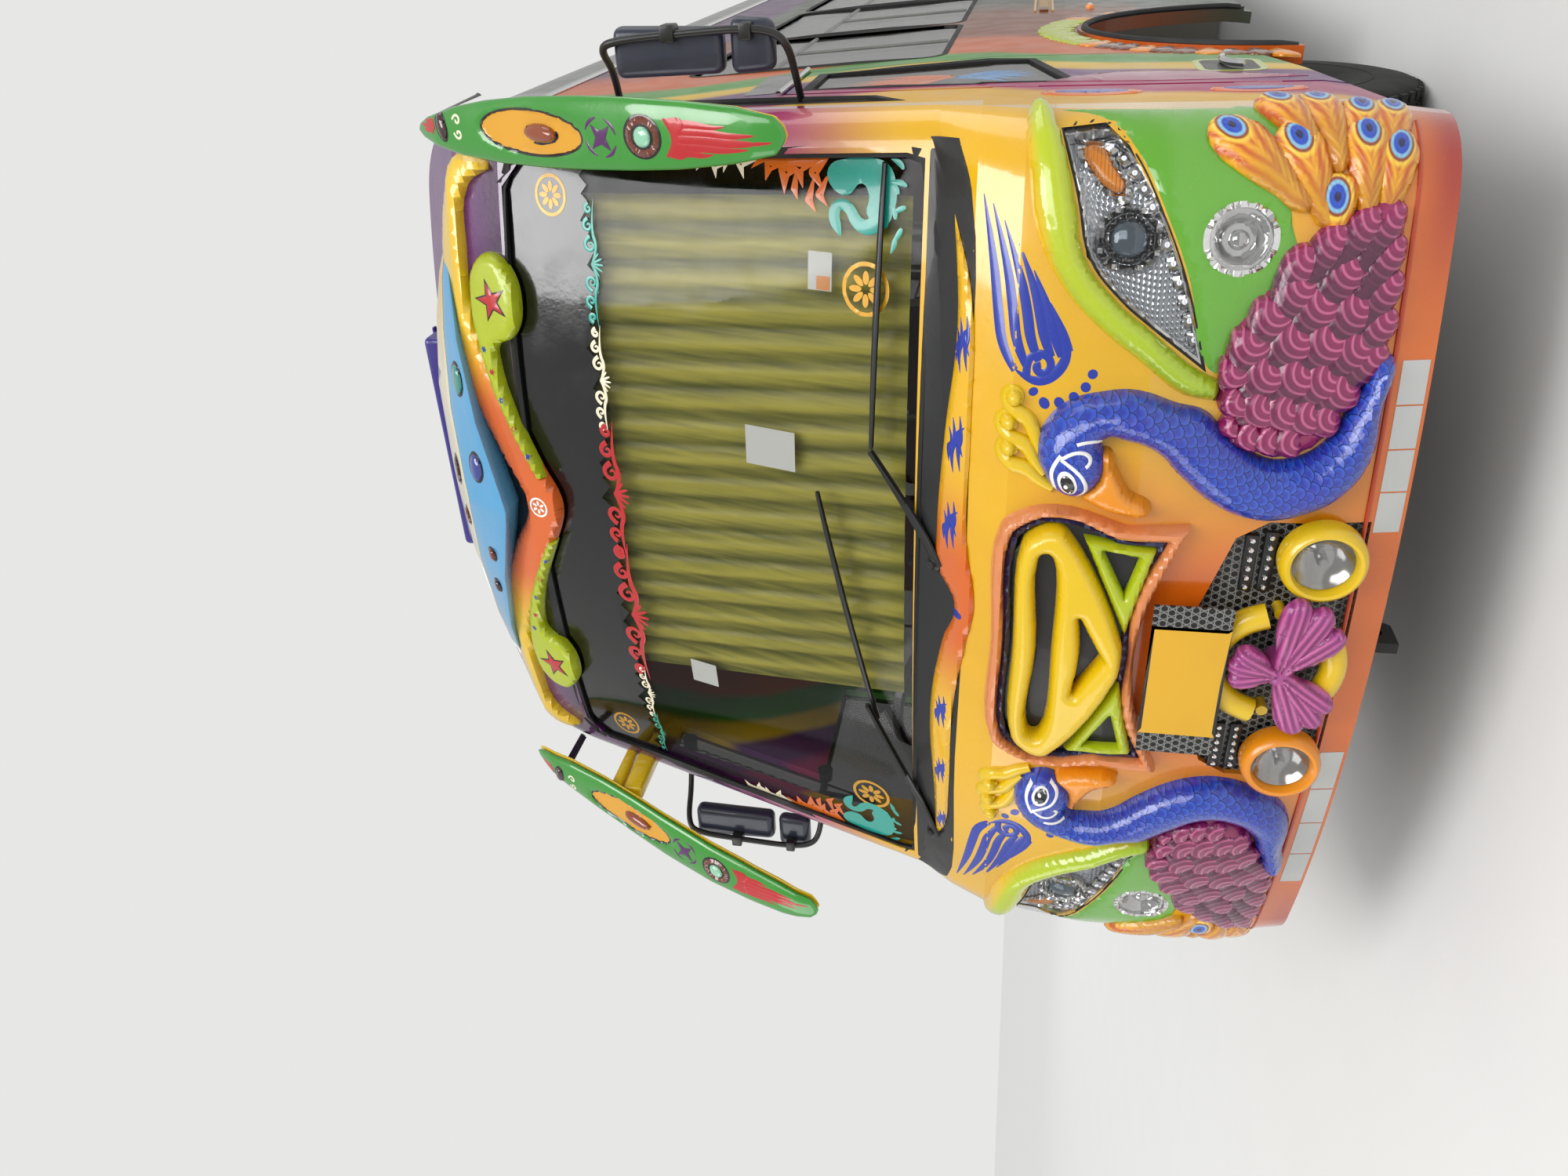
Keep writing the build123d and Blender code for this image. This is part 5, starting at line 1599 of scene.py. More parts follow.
    def _fog(self) -> None:
        """Chrome dishes with bulbs in the corner panels."""
        x, z = round_way(1.051), 0.846
        dish = relief(
            oval(x, z, 0.078, 0.078, 12), 0.001, 0.02, lift=-0.006, cell=0.007, dish=0.028, root=0.03,
            wrap=on_round
        )
        rim = relief(oval(x, z, 0.084, 0.084, 12), 0.006, 0.007, lift=0.002, cell=0.02,
                     holes=[oval(x, z, 0.070, 0.070, 12)], wrap=on_round)
        bulb = relief(oval(x, z, 0.024, 0.024), 0.018, 0.024, lift=-0.030, cell=0.01, wrap=on_round)
        piece("fog_lamp_dishes", pair(join([dish, rim, bulb])), CHROME)
        glass = relief(
            oval(x, z, 0.071, 0.071, 12), 0.006, 0.05, lift=-0.003, cell=0.02, root=0.002, wrap=on_round
        )
        piece("fog_lamp_glasses", pair(glass), COVER)

    def _round(self) -> None:
        """Round lamps with thick rims in the mesh, the left one's rim more orange."""
        rim_line = (
            (0.073, 0.0), (0.103, 0.0), (0.104, 0.022), (0.102, 0.044), (0.096, 0.058), (0.088, 0.064),
            (0.080, 0.062), (0.075, 0.052), (0.073, 0.040), (0.073, 0.0)
        )
        glass_line = (
            (0.0, 0.058), (0.03, 0.056), (0.055, 0.050), (0.0728, 0.038), (0.0728, 0.034), (0.055, 0.046),
            (0.03, 0.052), (0.0, 0.054)
        )
        bowl_line = (
            (0.0, 0.012), (0.02, 0.008), (0.045, 0.012), (0.060, 0.022), (0.0725, 0.036), (0.0725, 0.032),
            (0.060, 0.018), (0.045, 0.008), (0.02, 0.002), (0.0, 0.002)
        )
        bulb_line = ((0.0, 0.036), (0.010, 0.034), (0.014, 0.026), (0.014, 0.010), (0.0, 0.008))
        glasses, bowls = [], []
        for side, tint, name in ((1, Tint.YELLOW, "left"), (-1, Tint.AMBER, "right")):
            centre = (side * 0.312, FRONT_Y + 0.020, 0.572)
            rim = spun(rim_line, centre, (0, -1, 0), 48)
            piece(f"round_lamp_rim_{name}", rim, gloss(tint))
            glasses.append(spun(glass_line, centre, (0, -1, 0), 40))
            bowls += [spun(bowl_line, centre, (0, -1, 0), 40), spun(bulb_line, centre, (0, -1, 0), 16)]
        piece("round_lamp_glasses", join(glasses), FLUTED)
        piece("round_lamp_reflectors", join(bowls), CHROME)


@dataclass
class Cowl:
    """Lip strips, wavy band, black recess and wipers below the windscreen."""

    band: Sequence[Point] = (
        (-980, 1512, 1), (-770, 1516), (-378, 1534), (-99, 1500), (50, 1468), (134, 1522), (230, 1526),
        (523, 1512), (810, 1488), (1068, 1508, 1), (900, 1456), (551, 1442), (248, 1440), (61, 1412),
        (-60, 1430), (-316, 1462), (-700, 1470), (-880, 1480),
    )
    arms: Sequence[Sequence[Point]] = (
        ((-0.958, 1.512), (-0.72, 1.615), (-0.45, 1.738)), ((0.140, 1.520), (0.30, 1.62), (0.43, 1.722)),
    )
    blades: Sequence[Sequence[Point]] = (
        ((-0.52, 1.708), (-0.13, 1.798), (0.262, 1.887)), ((0.43, 1.722), (0.82, 1.712), (1.165, 1.700)),
    )

    def build(self) -> None:
        """Make the strips, the recess, the band and the wipers."""
        strips = []
        for x0, x1 in ((-0.887, -0.31), (0.365, 0.785)):
            cuts = np.linspace(x0, x1, 5)
            for a, b in zip(cuts, cuts[1:]):
                outline = [
                    (a + 0.002, 0.394, 1), (b - 0.002, 0.394, 1), (b - 0.002, 0.456, 1),
                    (a + 0.002, 0.456, 1)
                ]
                strips.append(relief(outline, 0.002, 0.003, cell=0.04))
        piece("lip_strips", join(strips), REFLECTOR)
        bead = tube([(way, 0.476) for way in np.linspace(-1.36, 1.36, 41)], 0.006, wrap=on_round)
        piece("lip_bead", bead, gloss(Tint.RED_ORANGE))
        recess = [
            (-1.19, 1.470), (-0.522, 1.452), (0.144, 1.440), (0.641, 1.447), (1.13, 1.468),
            (1.236, 1.506, 1), (1.232, 1.580, 1), (-1.232, 1.580, 1), (-1.236, 1.506, 1)
        ]
        piece("cowl_recess", relief(recess, 0.001, 0.004, cell=0.05), PLASTIC)
        band = relief(millimetres(self.band), 0.014, 0.018, lift=0.003, cell=0.014)
        lay = on_mesh(band)
        piece("cowl_band_wavy", band, BAND, replaces="cowl_band")
        strokes = []
        for x, z, size in (
            (-0.86, 1.488, 0.09), (-0.62, 1.494, 0.10), (-0.37, 1.496, 0.11), (0.27, 1.484, 0.12),
            (0.50, 1.476, 0.13), (0.76, 1.468, 0.12)
        ):
            strokes += self._flame(x, z, size, lay)
        strokes.append(relief(oval(0.02, 1.462, 0.012, 0.016), 0.002, 0.004, cell=0.03, wrap=lay))
        piece("cowl_flames", join(strokes), gloss(Tint.BLUE))
        self._decals()
        self._wipers()

    @staticmethod
    def _decals() -> None:
        """Painted blue wing on each side of the cowl, with dots along its shoulder."""
        feathers = (
            ((1126, 1436), (1000, 1406), (880, 1388), (780, 1372), (738, 1338)),
            ((1108, 1412), (990, 1372), (880, 1350), (800, 1338), (752, 1312)),
            ((1074, 1382), (965, 1338), (880, 1316), (806, 1304), (764, 1282)),
            ((1028, 1344), (940, 1304), (868, 1284), (812, 1270), (776, 1252)),
            ((972, 1306), (900, 1272), (845, 1252), (806, 1240), (778, 1228)),
            ((900, 1262), (850, 1238), (815, 1222), (790, 1214)),
            ((742, 1340), (712, 1300), (722, 1250), (770, 1214), (800, 1216)),
        )
        strokes = [tube(millimetres(line), 0.013, (0.1, 0.8, 1.0, 1.0, 0.7)[:len(line)], 0.12, on_front, 3)
                   for line in feathers]
        strokes.append(
            tube(curl(0.752, 1.275, 0.042, 1.3, 2.2, -1), 0.010, wrap=on_front, flat=0.15, sides=3)
        )
        for i, (x, z) in enumerate(
            ((664, 1262), (668, 1226), (684, 1192), (710, 1166), (742, 1152), (690, 1290))
        ):
            strokes.append(
                relief(
                    oval(x / 1000, z / 1000, 0.015 - 0.001 * i, 0.012, 8, 0.6), 0.001, 0.004, lift=0.0005,
                    cell=0.04
                )
            )
        piece("cowl_wing_decals", pair(join(strokes)), gloss(Tint.BLUE))

    @staticmethod
    def _flame(x: float, z: float, size: float, lay: Wrap) -> list[bmesh.types.BMesh]:
        """Painted flame of four strokes."""
        strokes = (
            ((-0.5, 0.06), (-0.1, 0.14), (0.2, 0.02), (0.62, 0.10)),
            ((-0.42, -0.08), (0.0, 0.0), (0.3, -0.10), (0.7, -0.04)),
            ((-0.3, 0.16), (0.0, 0.20), (0.1, 0.06), (0.4, 0.18)),
            ((-0.1, -0.12), (0.15, -0.02), (0.35, 0.02), (0.5, -0.14))
        )
        return [
            tube(
                [(x + a * size, z + b * size) for a, b in line], size * 0.055, (0.15, 1.0, 1.0, 0.15), 0.35,
                lay, 3
            )
            for line in strokes
        ]

    def _wipers(self) -> None:
        """Arms with springs, sprung blades with rubber lips, and capped pivots."""
        steel, rubber = [], []
        for arm, blade in zip(self.arms, self.blades):
            steel.append(tube(arm, 0.014, (1.2, 0.9, 0.7), 0.7, raised(on_glass, 0.034), 6))
            steel.append(tube(blade, 0.011, (0.5, 1.2, 0.5), 0.8, raised(on_glass, 0.020), 6))
            rubber.append(tube(blade, 0.009, (0.8, 1.0, 0.8), 0.9, raised(on_glass, 0.008), 6))
            rubber.append(tube(arm[1:], 0.007, (1, 1), 1.0, raised(on_glass, 0.046), 6))
            x, z = arm[0]
            foot = on_glass(x, z, 0.012)
            steel.append(
                spun(
                    (
                        (0, 0.034), (0.012, 0.032), (0.014, 0.024), (0.024, 0.018), (0.028, 0.006),
                        (0.03, -0.012), (0, -0.012)
                    ),
                    foot, (0, -0.75, 0.66), 20
                )
            )
            for place in along(blade, 4):
                middle = on_glass(place[0], place[1], 0.014)
                steel.append(
                    brick(
                        middle - Vector((0.012, 0.008, 0.006)), middle + Vector((0.012, 0.008, 0.006)),
                        0.003
                    )
                )
        piece("wiper_arms", join(steel), PLASTIC, replaces="wipers")
        piece("wiper_blades", join(rubber), RUBBER)


@dataclass
class Windscreen:
    """Gasket, black top band, scrollwork, corner flourishes, papers and curtain."""

    PLEATS = 17
    LOW, HIGH = 1.625, 2.945
    BEHIND = 0.060
    opening: Sequence[Point] = (
        (1.12, 1.594, 1), (1.168, 1.602, 1), (1.180, 1.645, 1), (1.106, 2.852, 1), (1.088, 2.90, 1),
        (1.022, 2.930, 1),
    )
    outside: Sequence[Point] = (
        (1.16, 1.566, 1), (1.208, 1.580, 1), (1.220, 1.640, 1), (1.144, 2.862, 1), (1.118, 2.93, 1),
        (1.036, 2.966, 1),
    )
    swan: Sequence[Point] = (
        (1010, 1700), (1035, 1745), (1085, 1742), (1110, 1762), (1080, 1800), (1092, 1842), (1140, 1858),
        (1168, 1800), (1172, 1740), (1158, 1690), (1110, 1668), (1050, 1672),
    )
    swan_neck: Sequence[Point] = (
        (1030, 1700), (1000, 1735), (1012, 1775), (1052, 1795), (1058, 1828), (1028, 1842), (996, 1828),
        (978, 1818),
    )
    swan_waves: Sequence[Sequence[float]] = (
        (1010, 1650, 2.6, 46), (1060, 1640, 2.0, 40), (1110, 1640, 1.4, 46), (1150, 1650, 1.0, 40),
        (985, 1668, 2.9, 40), (1030, 1668, 0.4, 34), (1090, 1662, 0.8, 34),
    )
    orange_leaves: Sequence[Sequence[float]] = (
        (1168, 1860, 1128, 1900, 1082, 1868, 15), (1168, 1870, 1140, 1945, 1088, 1930, 18),
        (1165, 1900, 1128, 1985, 1070, 1985, 20), (1162, 1950, 1140, 2030, 1100, 2042, 17),
        (1120, 1860, 1075, 1882, 1048, 1858, 12), (1110, 1900, 1060, 1912, 1030, 1890, 12),
        (1160, 1990, 1158, 2050, 1128, 2085, 14), (1130, 1950, 1085, 1955, 1058, 1945, 11),
    )
    pale_leaves: Sequence[Sequence[float]] = (
        (1156, 2060, 1138, 2120, 1100, 2108, 13), (1152, 2090, 1150, 2160, 1112, 2172, 13),
        (1150, 2130, 1128, 2200, 1096, 2195, 11), (1148, 2160, 1140, 2240, 1112, 2258, 11),
    )

    def build(self) -> None:
        """Make all that lies on and behind the glass."""
        gasket = relief(
            both_sides(self.outside), 0.010, 0.012, lift=-0.004, cell=0.06, root=0.014, raw=True,
            holes=[both_sides(self.opening)]
        )
        piece("windscreen_gasket", gasket, RUBBER)
        fringe = [
            (1.126 - 2.252 * i / 90, 2.632 + 0.010 * ((i * 7) % 5 - 2) + 0.012 * math.sin(i * 0.35), 1)
            for i in range(91)
        ]
        band = relief(
            [(-1.11, 2.86, 1), (-1.03, 2.936, 1), (1.03, 2.936, 1), (1.11, 2.86, 1)] + fringe, 0.0006,
            0.002, lift=0.0006, cell=0.08, root=0.0005, raw=True, wrap=on_glass
        )
        piece("windscreen_black_band", band, BAND_BLACK)
        self._scrolls()
        self._medallions()
        for side in (1, -1):
            self._flourish(side)
        self._papers()
        self._curtain()

    @staticmethod
    def _wave(x: float, z: float, size: float) -> list[bmesh.types.BMesh]:
        """One length of scrollwork: a fan of petals between paired curls."""
        made = []
        for way in (-1, 1):
            for step, radius, up in ((0.34, 0.16, 0.0), (0.68, 0.13, 0.04), (0.98, 0.10, 0.02)):
                line = curl(
                    x + way * step * size, z + up * size, radius * size, 1.2, math.pi * (0.5 - way * 0.5),
                    way
                )
                made.append(
                    tube(
                        line, 0.035 * size, [1.1 - 0.1 * i for i in range(len(line))] if len(line) < 9
                        else [1.2 - 0.9 * i / len(line) for i in range(len(line))], 0.15, PAINTED, 3
                    )
                )
            line = ((x + way * 0.05 * size, z - 0.04 * size), (x + way * 0.3 * size, z - 0.17 * size),
                    (x + way * 0.6 * size, z - 0.02 * size), (x + way * 1.15 * size, z - 0.10 * size))
            made.append(tube(line, 0.04 * size, (0.5, 1.0, 0.8, 0.1), 0.15, PAINTED, 3))
        for turn in (-50, -25, 0, 25, 50):
            angle = math.radians(turn - 90)
            tip = (x + 0.27 * size * math.cos(angle), z + 0.27 * size * math.sin(angle))
            made.append(
                tube(
                    ((x, z), ((x + tip[0]) / 2, (z + tip[1]) / 2), tip), 0.04 * size, (0.2, 1.0, 0.3), 0.15,
                    PAINTED, 3
                )
            )
        return made

    def _scrolls(self) -> None:
        """Scrollwork below the bare lettering place: red, cream and teal."""
        for name, tint, places in (
            ("red", Tint.RED, ((-0.38, 2.612, 0.26), (0.10, 2.612, 0.22))),
            ("cream", Tint.CREAM, ((0.48, 2.622, 0.15), (-0.76, 2.612, 0.12))),
            ("teal", Tint.TEAL, ((0.83, 2.626, 0.16), (-0.98, 2.602, 0.10))),
        ):
            strokes = [stroke for place in places for stroke in self._wave(*place)]
            piece(f"windscreen_scroll_{name}", join(strokes), gloss(tint))

    @staticmethod
    def _medallions() -> None:
        """Gold rings with a plain rosette at the ends of the band and low on the glass."""
        parts = []
        for x, z, size in (
            (1.015, 2.765, 0.060), (-0.995, 2.755, 0.060), (0.85, 1.745, 0.070), (-0.93, 1.745, 0.070)
        ):
            parts.append(
                relief(
                    oval(x, z, size, size * 0.95, 12), 0.0008, 0.004, lift=0.002, cell=0.05, root=0.0006,
                    holes=[oval(x, z, size * 0.84, size * 0.80, 12)], wrap=on_glass
                )
            )
            for i in range(8):
                angle = math.pi * i / 4
                middle = (x + size * 0.42 * math.cos(angle), z + size * 0.42 * math.sin(angle))
                parts.append(
                    relief(
                        oval(*middle, size * 0.25, size * 0.12, 8, angle), 0.0008, 0.004, lift=0.002,
                        cell=0.05, root=0.0006, wrap=on_glass
                    )
                )
        piece("windscreen_rosettes", join(parts), GOLD)

    @staticmethod
    def _petals(rows: Sequence[Sequence[float]], side: int, tint: Tint, name: str) -> None:
        """Sickle-shaped leaves: foot, bend, tip and width of each."""
        strokes = []
        for x0, z0, x1, z1, x2, z2, wide in rows:
            line = millimetres(((x0, z0), (x1, z1), (x2, z2)), side)
            strokes.append(
                tube(
                    [line[0], line[1], line[1], line[2]], wide / 1000, (0.3, 1.0, 0.9, 0.05), 0.06, PAINTED,
                    3
                )
            )
        piece(name, join(strokes), gloss(tint))

    def _flourish(self, side: int) -> None:
        """Corner ornament: swan below, orange leaves over it, pale leaves on top."""
        end = "left" if side > 0 else "right"
        body = millimetres(self.swan, side)
        neck = millimetres(self.swan_neck, side)
        parts = [relief(body, 0.0008, 0.004, lift=0.002, cell=0.05, root=0.0006, wrap=on_glass),
                 tube(neck, 0.015, (1.5, 1.3, 1.1, 0.95, 0.9, 1.1, 0.9, 0.1), 0.08, PAINTED, 3)]
        for x, z, turn, size in self.swan_waves:
            tip = (x + size * math.cos(turn), z + size * math.sin(turn))
            line = millimetres(((x, z), ((x + tip[0]) / 2 + 8, (z + tip[1]) / 2 - 8), tip), side)
            parts.append(tube(line, 0.011, (0.3, 1.1, 0.1), 0.08, PAINTED, 3))
        piece(f"windscreen_swan_{end}", join(parts), gloss(Tint.TEAL))
        self._petals(self.orange_leaves, side, Tint.ORANGE, f"windscreen_orange_leaves_{end}")
        self._petals(self.pale_leaves, side, Tint.CREAM, f"windscreen_pale_leaves_{end}")

    @staticmethod
    def _papers() -> None:
        """Blank sheet and stickers behind the glass."""
        behind = raised(on_glass, -0.0105)
        sheets = [
            relief(
                [(x0, z0, 1), (x1, z0, 1), (x1, z1, 1), (x0, z1, 1)], 0.0004, 0.002, cell=0.3, root=0.0004,
                wrap=behind, lift=0.0
            )
            for x0, z0, x1,
            z1 in ((0.30, 1.96, 0.42, 2.12), (0.83, 1.845, 0.93, 1.915), (-0.62, 2.30, -0.52, 2.40))
        ]
        piece("windscreen_papers", join(sheets), FOAM_WHITE)
        corner = relief(
            [(0.832, 1.850, 1), (0.868, 1.850, 1), (0.868, 1.89, 1), (0.832, 1.89, 1)], 0.0004, 0.002,
            cell=0.3, root=0.0004, lift=0.0006, wrap=behind
        )
        piece("windscreen_sticker_patch", corner, gloss(Tint.AMBER))

    def _fold(self, u: float, v: float) -> float:
        """Depth of the curtain's folds, from -1 to 1, across and up it."""
        turn = 2 * math.pi * self.PLEATS * u
        fold = math.sin(turn + 0.5 * math.sin(3 * v) + 0.8 * math.sin(9 * u))
        return 0.85 * fold + 0.25 * math.sin(turn * 2.6 + 2 * v) * (0.4 + 0.6 * v)

    @staticmethod
    def _edges(v: float) -> tuple[float, float]:
        """The curtain's left and right edges at a share of its height."""
        return -0.42 + (-0.70 + 0.42) * v, 1.08 - 0.08 * v

    def _curtain(self) -> None:
        """Pleated satin curtain on its track, drawn open on the driver's side."""
        low, high = self.LOW, self.HIGH
        count, rows = 384, 18
        work = bmesh.new()
        grid = []
        for j in range(rows + 1):
            v = j / rows
            z = low + (high - low) * v
            left, right = self._edges(v)
            line = []
            for i in range(count + 1):
                u = i / count
                x = left + (right - left) * u
                depth = 0.0085 * (0.75 + 0.25 * math.sin(5.0 * u + 2 * v))
                line.append(
                    work.verts.new((x, SKIN.front(x, z) + self.BEHIND + depth * self._fold(u, v), z))
                )
            grid.append(line)
        for a, b in zip(grid, grid[1:]):
            for i in range(count):
                work.faces.new((a[i], a[i + 1], b[i + 1], b[i]))
        area = sum(face.calc_area() for face in work.faces)
        bmesh.ops.solidify(work, geom=work.faces[:], thickness=0.0012)
        # The spine layer carries each point's fold depth, from which cloth_colour paints highlights on the
        # crests and shade in the hollows.
        layer = work.loops.layers.uv.new("spine")
        for face in work.faces:
            for corner in face.loops:
                v = (corner.vert.co.z - low) / (high - low)
                left, right = self._edges(v)
                corner[layer].uv = (self._fold((corner.vert.co.x - left) / (right - left), v), v)
        bmesh.ops.recalc_face_normals(work, faces=work.faces[:])
        made = piece("windscreen_curtain", work, SATIN, crease=180.0, replaces="curtain")
        long = (high - low) * 1.04
        line = [(x, SKIN.front(x, 2.952) + self.BEHIND, 2.952) for x in np.linspace(-0.80, 1.03, 14)]
        track = tube(line, 0.007)
        piece("curtain_track", track, STEEL)
        area / long


def crest_colour(shader: Shader) -> Maths:
    """Cream facet that turns yellow towards its ends."""
    x, _, _ = shader.axes()
    return shader.mix(x.size().ramp(0.35, 0.72), ink("E8DDB8"), ink("E6B93A"))


def trim_colour(shader: Shader) -> Maths:
    """Orange at the middle of the band, yellow towards its ends."""
    x, _, _ = shader.axes()
    return shader.mix((x - 0.03).size().ramp(0.28, 0.62), ink("D4601A"), ink("E8BE12"))


CREST_CREAM = Finish("crest_cream", ink("E8DDB8"), rough=0.22, coat=0.9, pattern=crest_colour)
CREST_BLUE = Finish("crest_blue", ink("4F9AC8"), rough=0.22, coat=0.9, vary=0.15)
TRIM = Finish("roof_band", ink("E8BE12"), rough=0.22, coat=0.9, pattern=trim_colour)
VIOLET = Finish("roof_box_violet", ink("2A1C7C"), rough=0.3, coat=0.6, vary=0.2)
RECESS = Finish("recess_yellow", ink("D89A12"), rough=0.3, coat=0.6)
HORN = Finish("horn_green", ink("2E8A24"), rough=0.22, coat=0.9, vary=0.15)
GEM_AMBER = Finish("gem_amber", ink("8A3E14"), rough=0.06, coat=1.0, vary=0.3)
GEM_GREEN = Finish("gem_pale_green", ink("8FC8A8"), rough=0.06, coat=1.0)
GEM_BROWN = Finish("gem_brown", ink("6A2A12"), rough=0.05, coat=1.0, vary=0.3)
GEM_DARK = Finish("gem_dark", ink("3A1216"), rough=0.05, coat=1.0)
GEM_BLUE = Finish("gem_blue", ink("2A3A8A"), rough=0.05, coat=1.0)
GEM_TEAL = Finish("gem_teal", ink("3F8A80"), rough=0.05, coat=1.0)


@dataclass
class RoofFront:
    """Band, lime bars with star paddles, faceted crest with gems, roof box and markers."""

    band: Sequence[Point] = (
        (-1096, 2990, 1), (-1122, 3070), (-1104, 3138), (-996, 3202), (-778, 3256), (-560, 3236),
        (-380, 3165), (-160, 3050), (0, 2968), (160, 3040), (380, 3160), (560, 3235), (778, 3256),
        (996, 3202), (1104, 3138), (1122, 3070), (1096, 2990, 1), (1076, 2992, 1), (1020, 3085),
        (828, 3108), (640, 3100), (560, 3072), (404, 3001), (150, 2876), (52, 2824), (0, 2822), (-52, 2836),
        (-183, 2900), (-444, 3020), (-600, 3085), (-828, 3108), (-1020, 3085), (-1076, 2992, 1),
    )
    bar: Sequence[Point] = (
        (118, 2862, 1), (330, 2955), (490, 3000), (548, 2996), (590, 2925), (700, 2893), (800, 2928),
        (836, 2990), (800, 3068), (700, 3096), (600, 3090), (430, 3050), (300, 2995), (112, 2898, 1),
    )
    stations: Sequence[Sequence[float]] = (
        (0.0, 3.015, 3.190, 3.360, 0.118, 0.140, 0.095), (0.06, 3.030, 3.205, 3.368, 0.112, 0.134, 0.090),
        (0.30, 3.100, 3.245, 3.385, 0.100, 0.116, 0.080), (0.56, 3.150, 3.240, 3.335, 0.080, 0.094, 0.060),
        (0.72, 3.185, 3.237, 3.285, 0.055, 0.064, 0.040), (0.80, 3.215, 3.234, 3.250, 0.028, 0.034, 0.022),
    )

    def build(self) -> None:
        """Make the ornament over the windscreen."""
        band = relief(millimetres(self.band), 0.040, 0.030, lift=0.002, cell=0.022)
        lay_band = on_mesh(band)
        piece("roof_band_vee", band, TRIM, replaces="roof_trim")
        bar = relief(millimetres(self.bar), 0.034, 0.026, lift=0.018, cell=0.016)
        lay = on_mesh(bar)
        stars, edges, dots = [], [], []
        edges.append(relief(star(0.700, 2.992, 0.070, 0.028), 0.001, 0.004, cell=0.02, wrap=lay))
        stars.append(
            relief(star(0.700, 2.992, 0.058, 0.022), 0.002, 0.004, lift=0.002, cell=0.02, wrap=lay)
        )
        for i, (x, z) in enumerate(
            ((0.20, 2.915), (0.29, 2.958), (0.38, 2.995), (0.47, 3.022), (0.54, 3.045))
        ):
            outline = star(x, z, 0.012, 0.006, 6)
            (stars if i % 2 else dots).append(
                relief(outline, 0.001, 0.003, cell=0.03, wrap=lay))
        piece("roof_bars_lime", pair(bar), gloss(Tint.LIME))
        piece("roof_star_edges", pair(join(edges)), gloss(Tint.BLACK))
        piece("roof_stars_red", pair(join(stars)), gloss(Tint.RED))
        piece("roof_dots_blue", pair(join(dots)), gloss(Tint.BLUE))
        ring = relief(oval(0.015, 2.905, 0.036, 0.036, 12), 0.001, 0.004, cell=0.02,
                      holes=[oval(0.015, 2.905, 0.029, 0.029, 12)], wrap=lay_band)
        petals = [
            relief(
                oval(0.015 + 0.016 * math.cos(a), 2.905 + 0.016 * math.sin(a), 0.009, 0.0045, 6, a), 0.001,
                0.003, cell=0.02, wrap=lay_band
            )
            for a in np.arange(6) * math.pi / 3
        ]
        piece("roof_medallion", join([ring] + petals), gloss(Tint.WHITE))
        self._crest()
        self._top()

    def _facets(self, upper: bool) -> bmesh.types.BMesh:
        """One strip of the crest, from end to end."""
        work = bmesh.new()
        rows = [(-s[0], *s[1:]) for s in reversed(self.stations[1:])] + list(self.stations)
        rings = []
        for x, z0, z1, z2, h0, h1, h2 in rows:
            low, high = ((z1, h1), (z2, h2)) if upper else ((z0, h0), (z1, h1))
            rings.append([work.verts.new(on_front(x, z, h)) for z, h in
                          ((low[0], -0.01), low, high, (high[0], -0.01))])
        for a, b in zip(rings, rings[1:]):
            for i in range(4):
                work.faces.new((a[i], a[(i + 1) % 4], b[(i + 1) % 4], b[i]))
        work.faces.new(rings[0])
        work.faces.new(rings[-1])
        bmesh.ops.subdivide_edges(work, edges=work.edges[:], cuts=2, use_grid_fill=True)
        bmesh.ops.recalc_face_normals(work, faces=work.faces[:])
        sharp = [e for e in work.edges if len(e.link_faces) == 2 and e.calc_face_angle() > 0.6]
        bmesh.ops.bevel(
            work, geom=sharp, offset=0.006, segments=2, profile=0.5, affect="EDGES", material=-1
        )
        return work

    def _crest(self) -> None:
        """Cream upper facets and blue lower ones, with gems in dark settings."""
        lower, upper = self._facets(False), self._facets(True)
        lays = {False: on_mesh(lower), True: on_mesh(upper)}
        piece("crest_facets_blue", lower, CREST_BLUE, crease=25, replaces="roof_crest")
        piece("crest_facets_cream", upper, CREST_CREAM, crease=25)
        settings = []
        gems = (
            (-0.13, 3.275, 0.032, 0.022, True, GEM_BROWN), (0.05, 3.285, 0.048, 0.024, True, GEM_DARK),
            (-0.37, 3.165, 0.026, 0.018, False, GEM_DARK), (-0.22, 3.145, 0.026, 0.018, False, GEM_BROWN),
            (0.13, 3.135, 0.046, 0.028, False, GEM_BLUE), (0.42, 3.180, 0.050, 0.026, False, GEM_TEAL)
        )
        for i, (x, z, wide, high, top, finish) in enumerate(gems):
            lay = lays[top]
            settings.append(relief(oval(x, z, wide * 1.2, high * 1.25), 0.004, 0.006, cell=0.02, wrap=lay))
            gem = relief(oval(x, z, wide, high), 0.016, min(wide, high), lift=0.003, cell=0.008, wrap=lay)
            piece(f"crest_gem_{i + 1}", gem, finish)
        piece("crest_gem_settings", join(settings), gloss(Tint.BLACK))

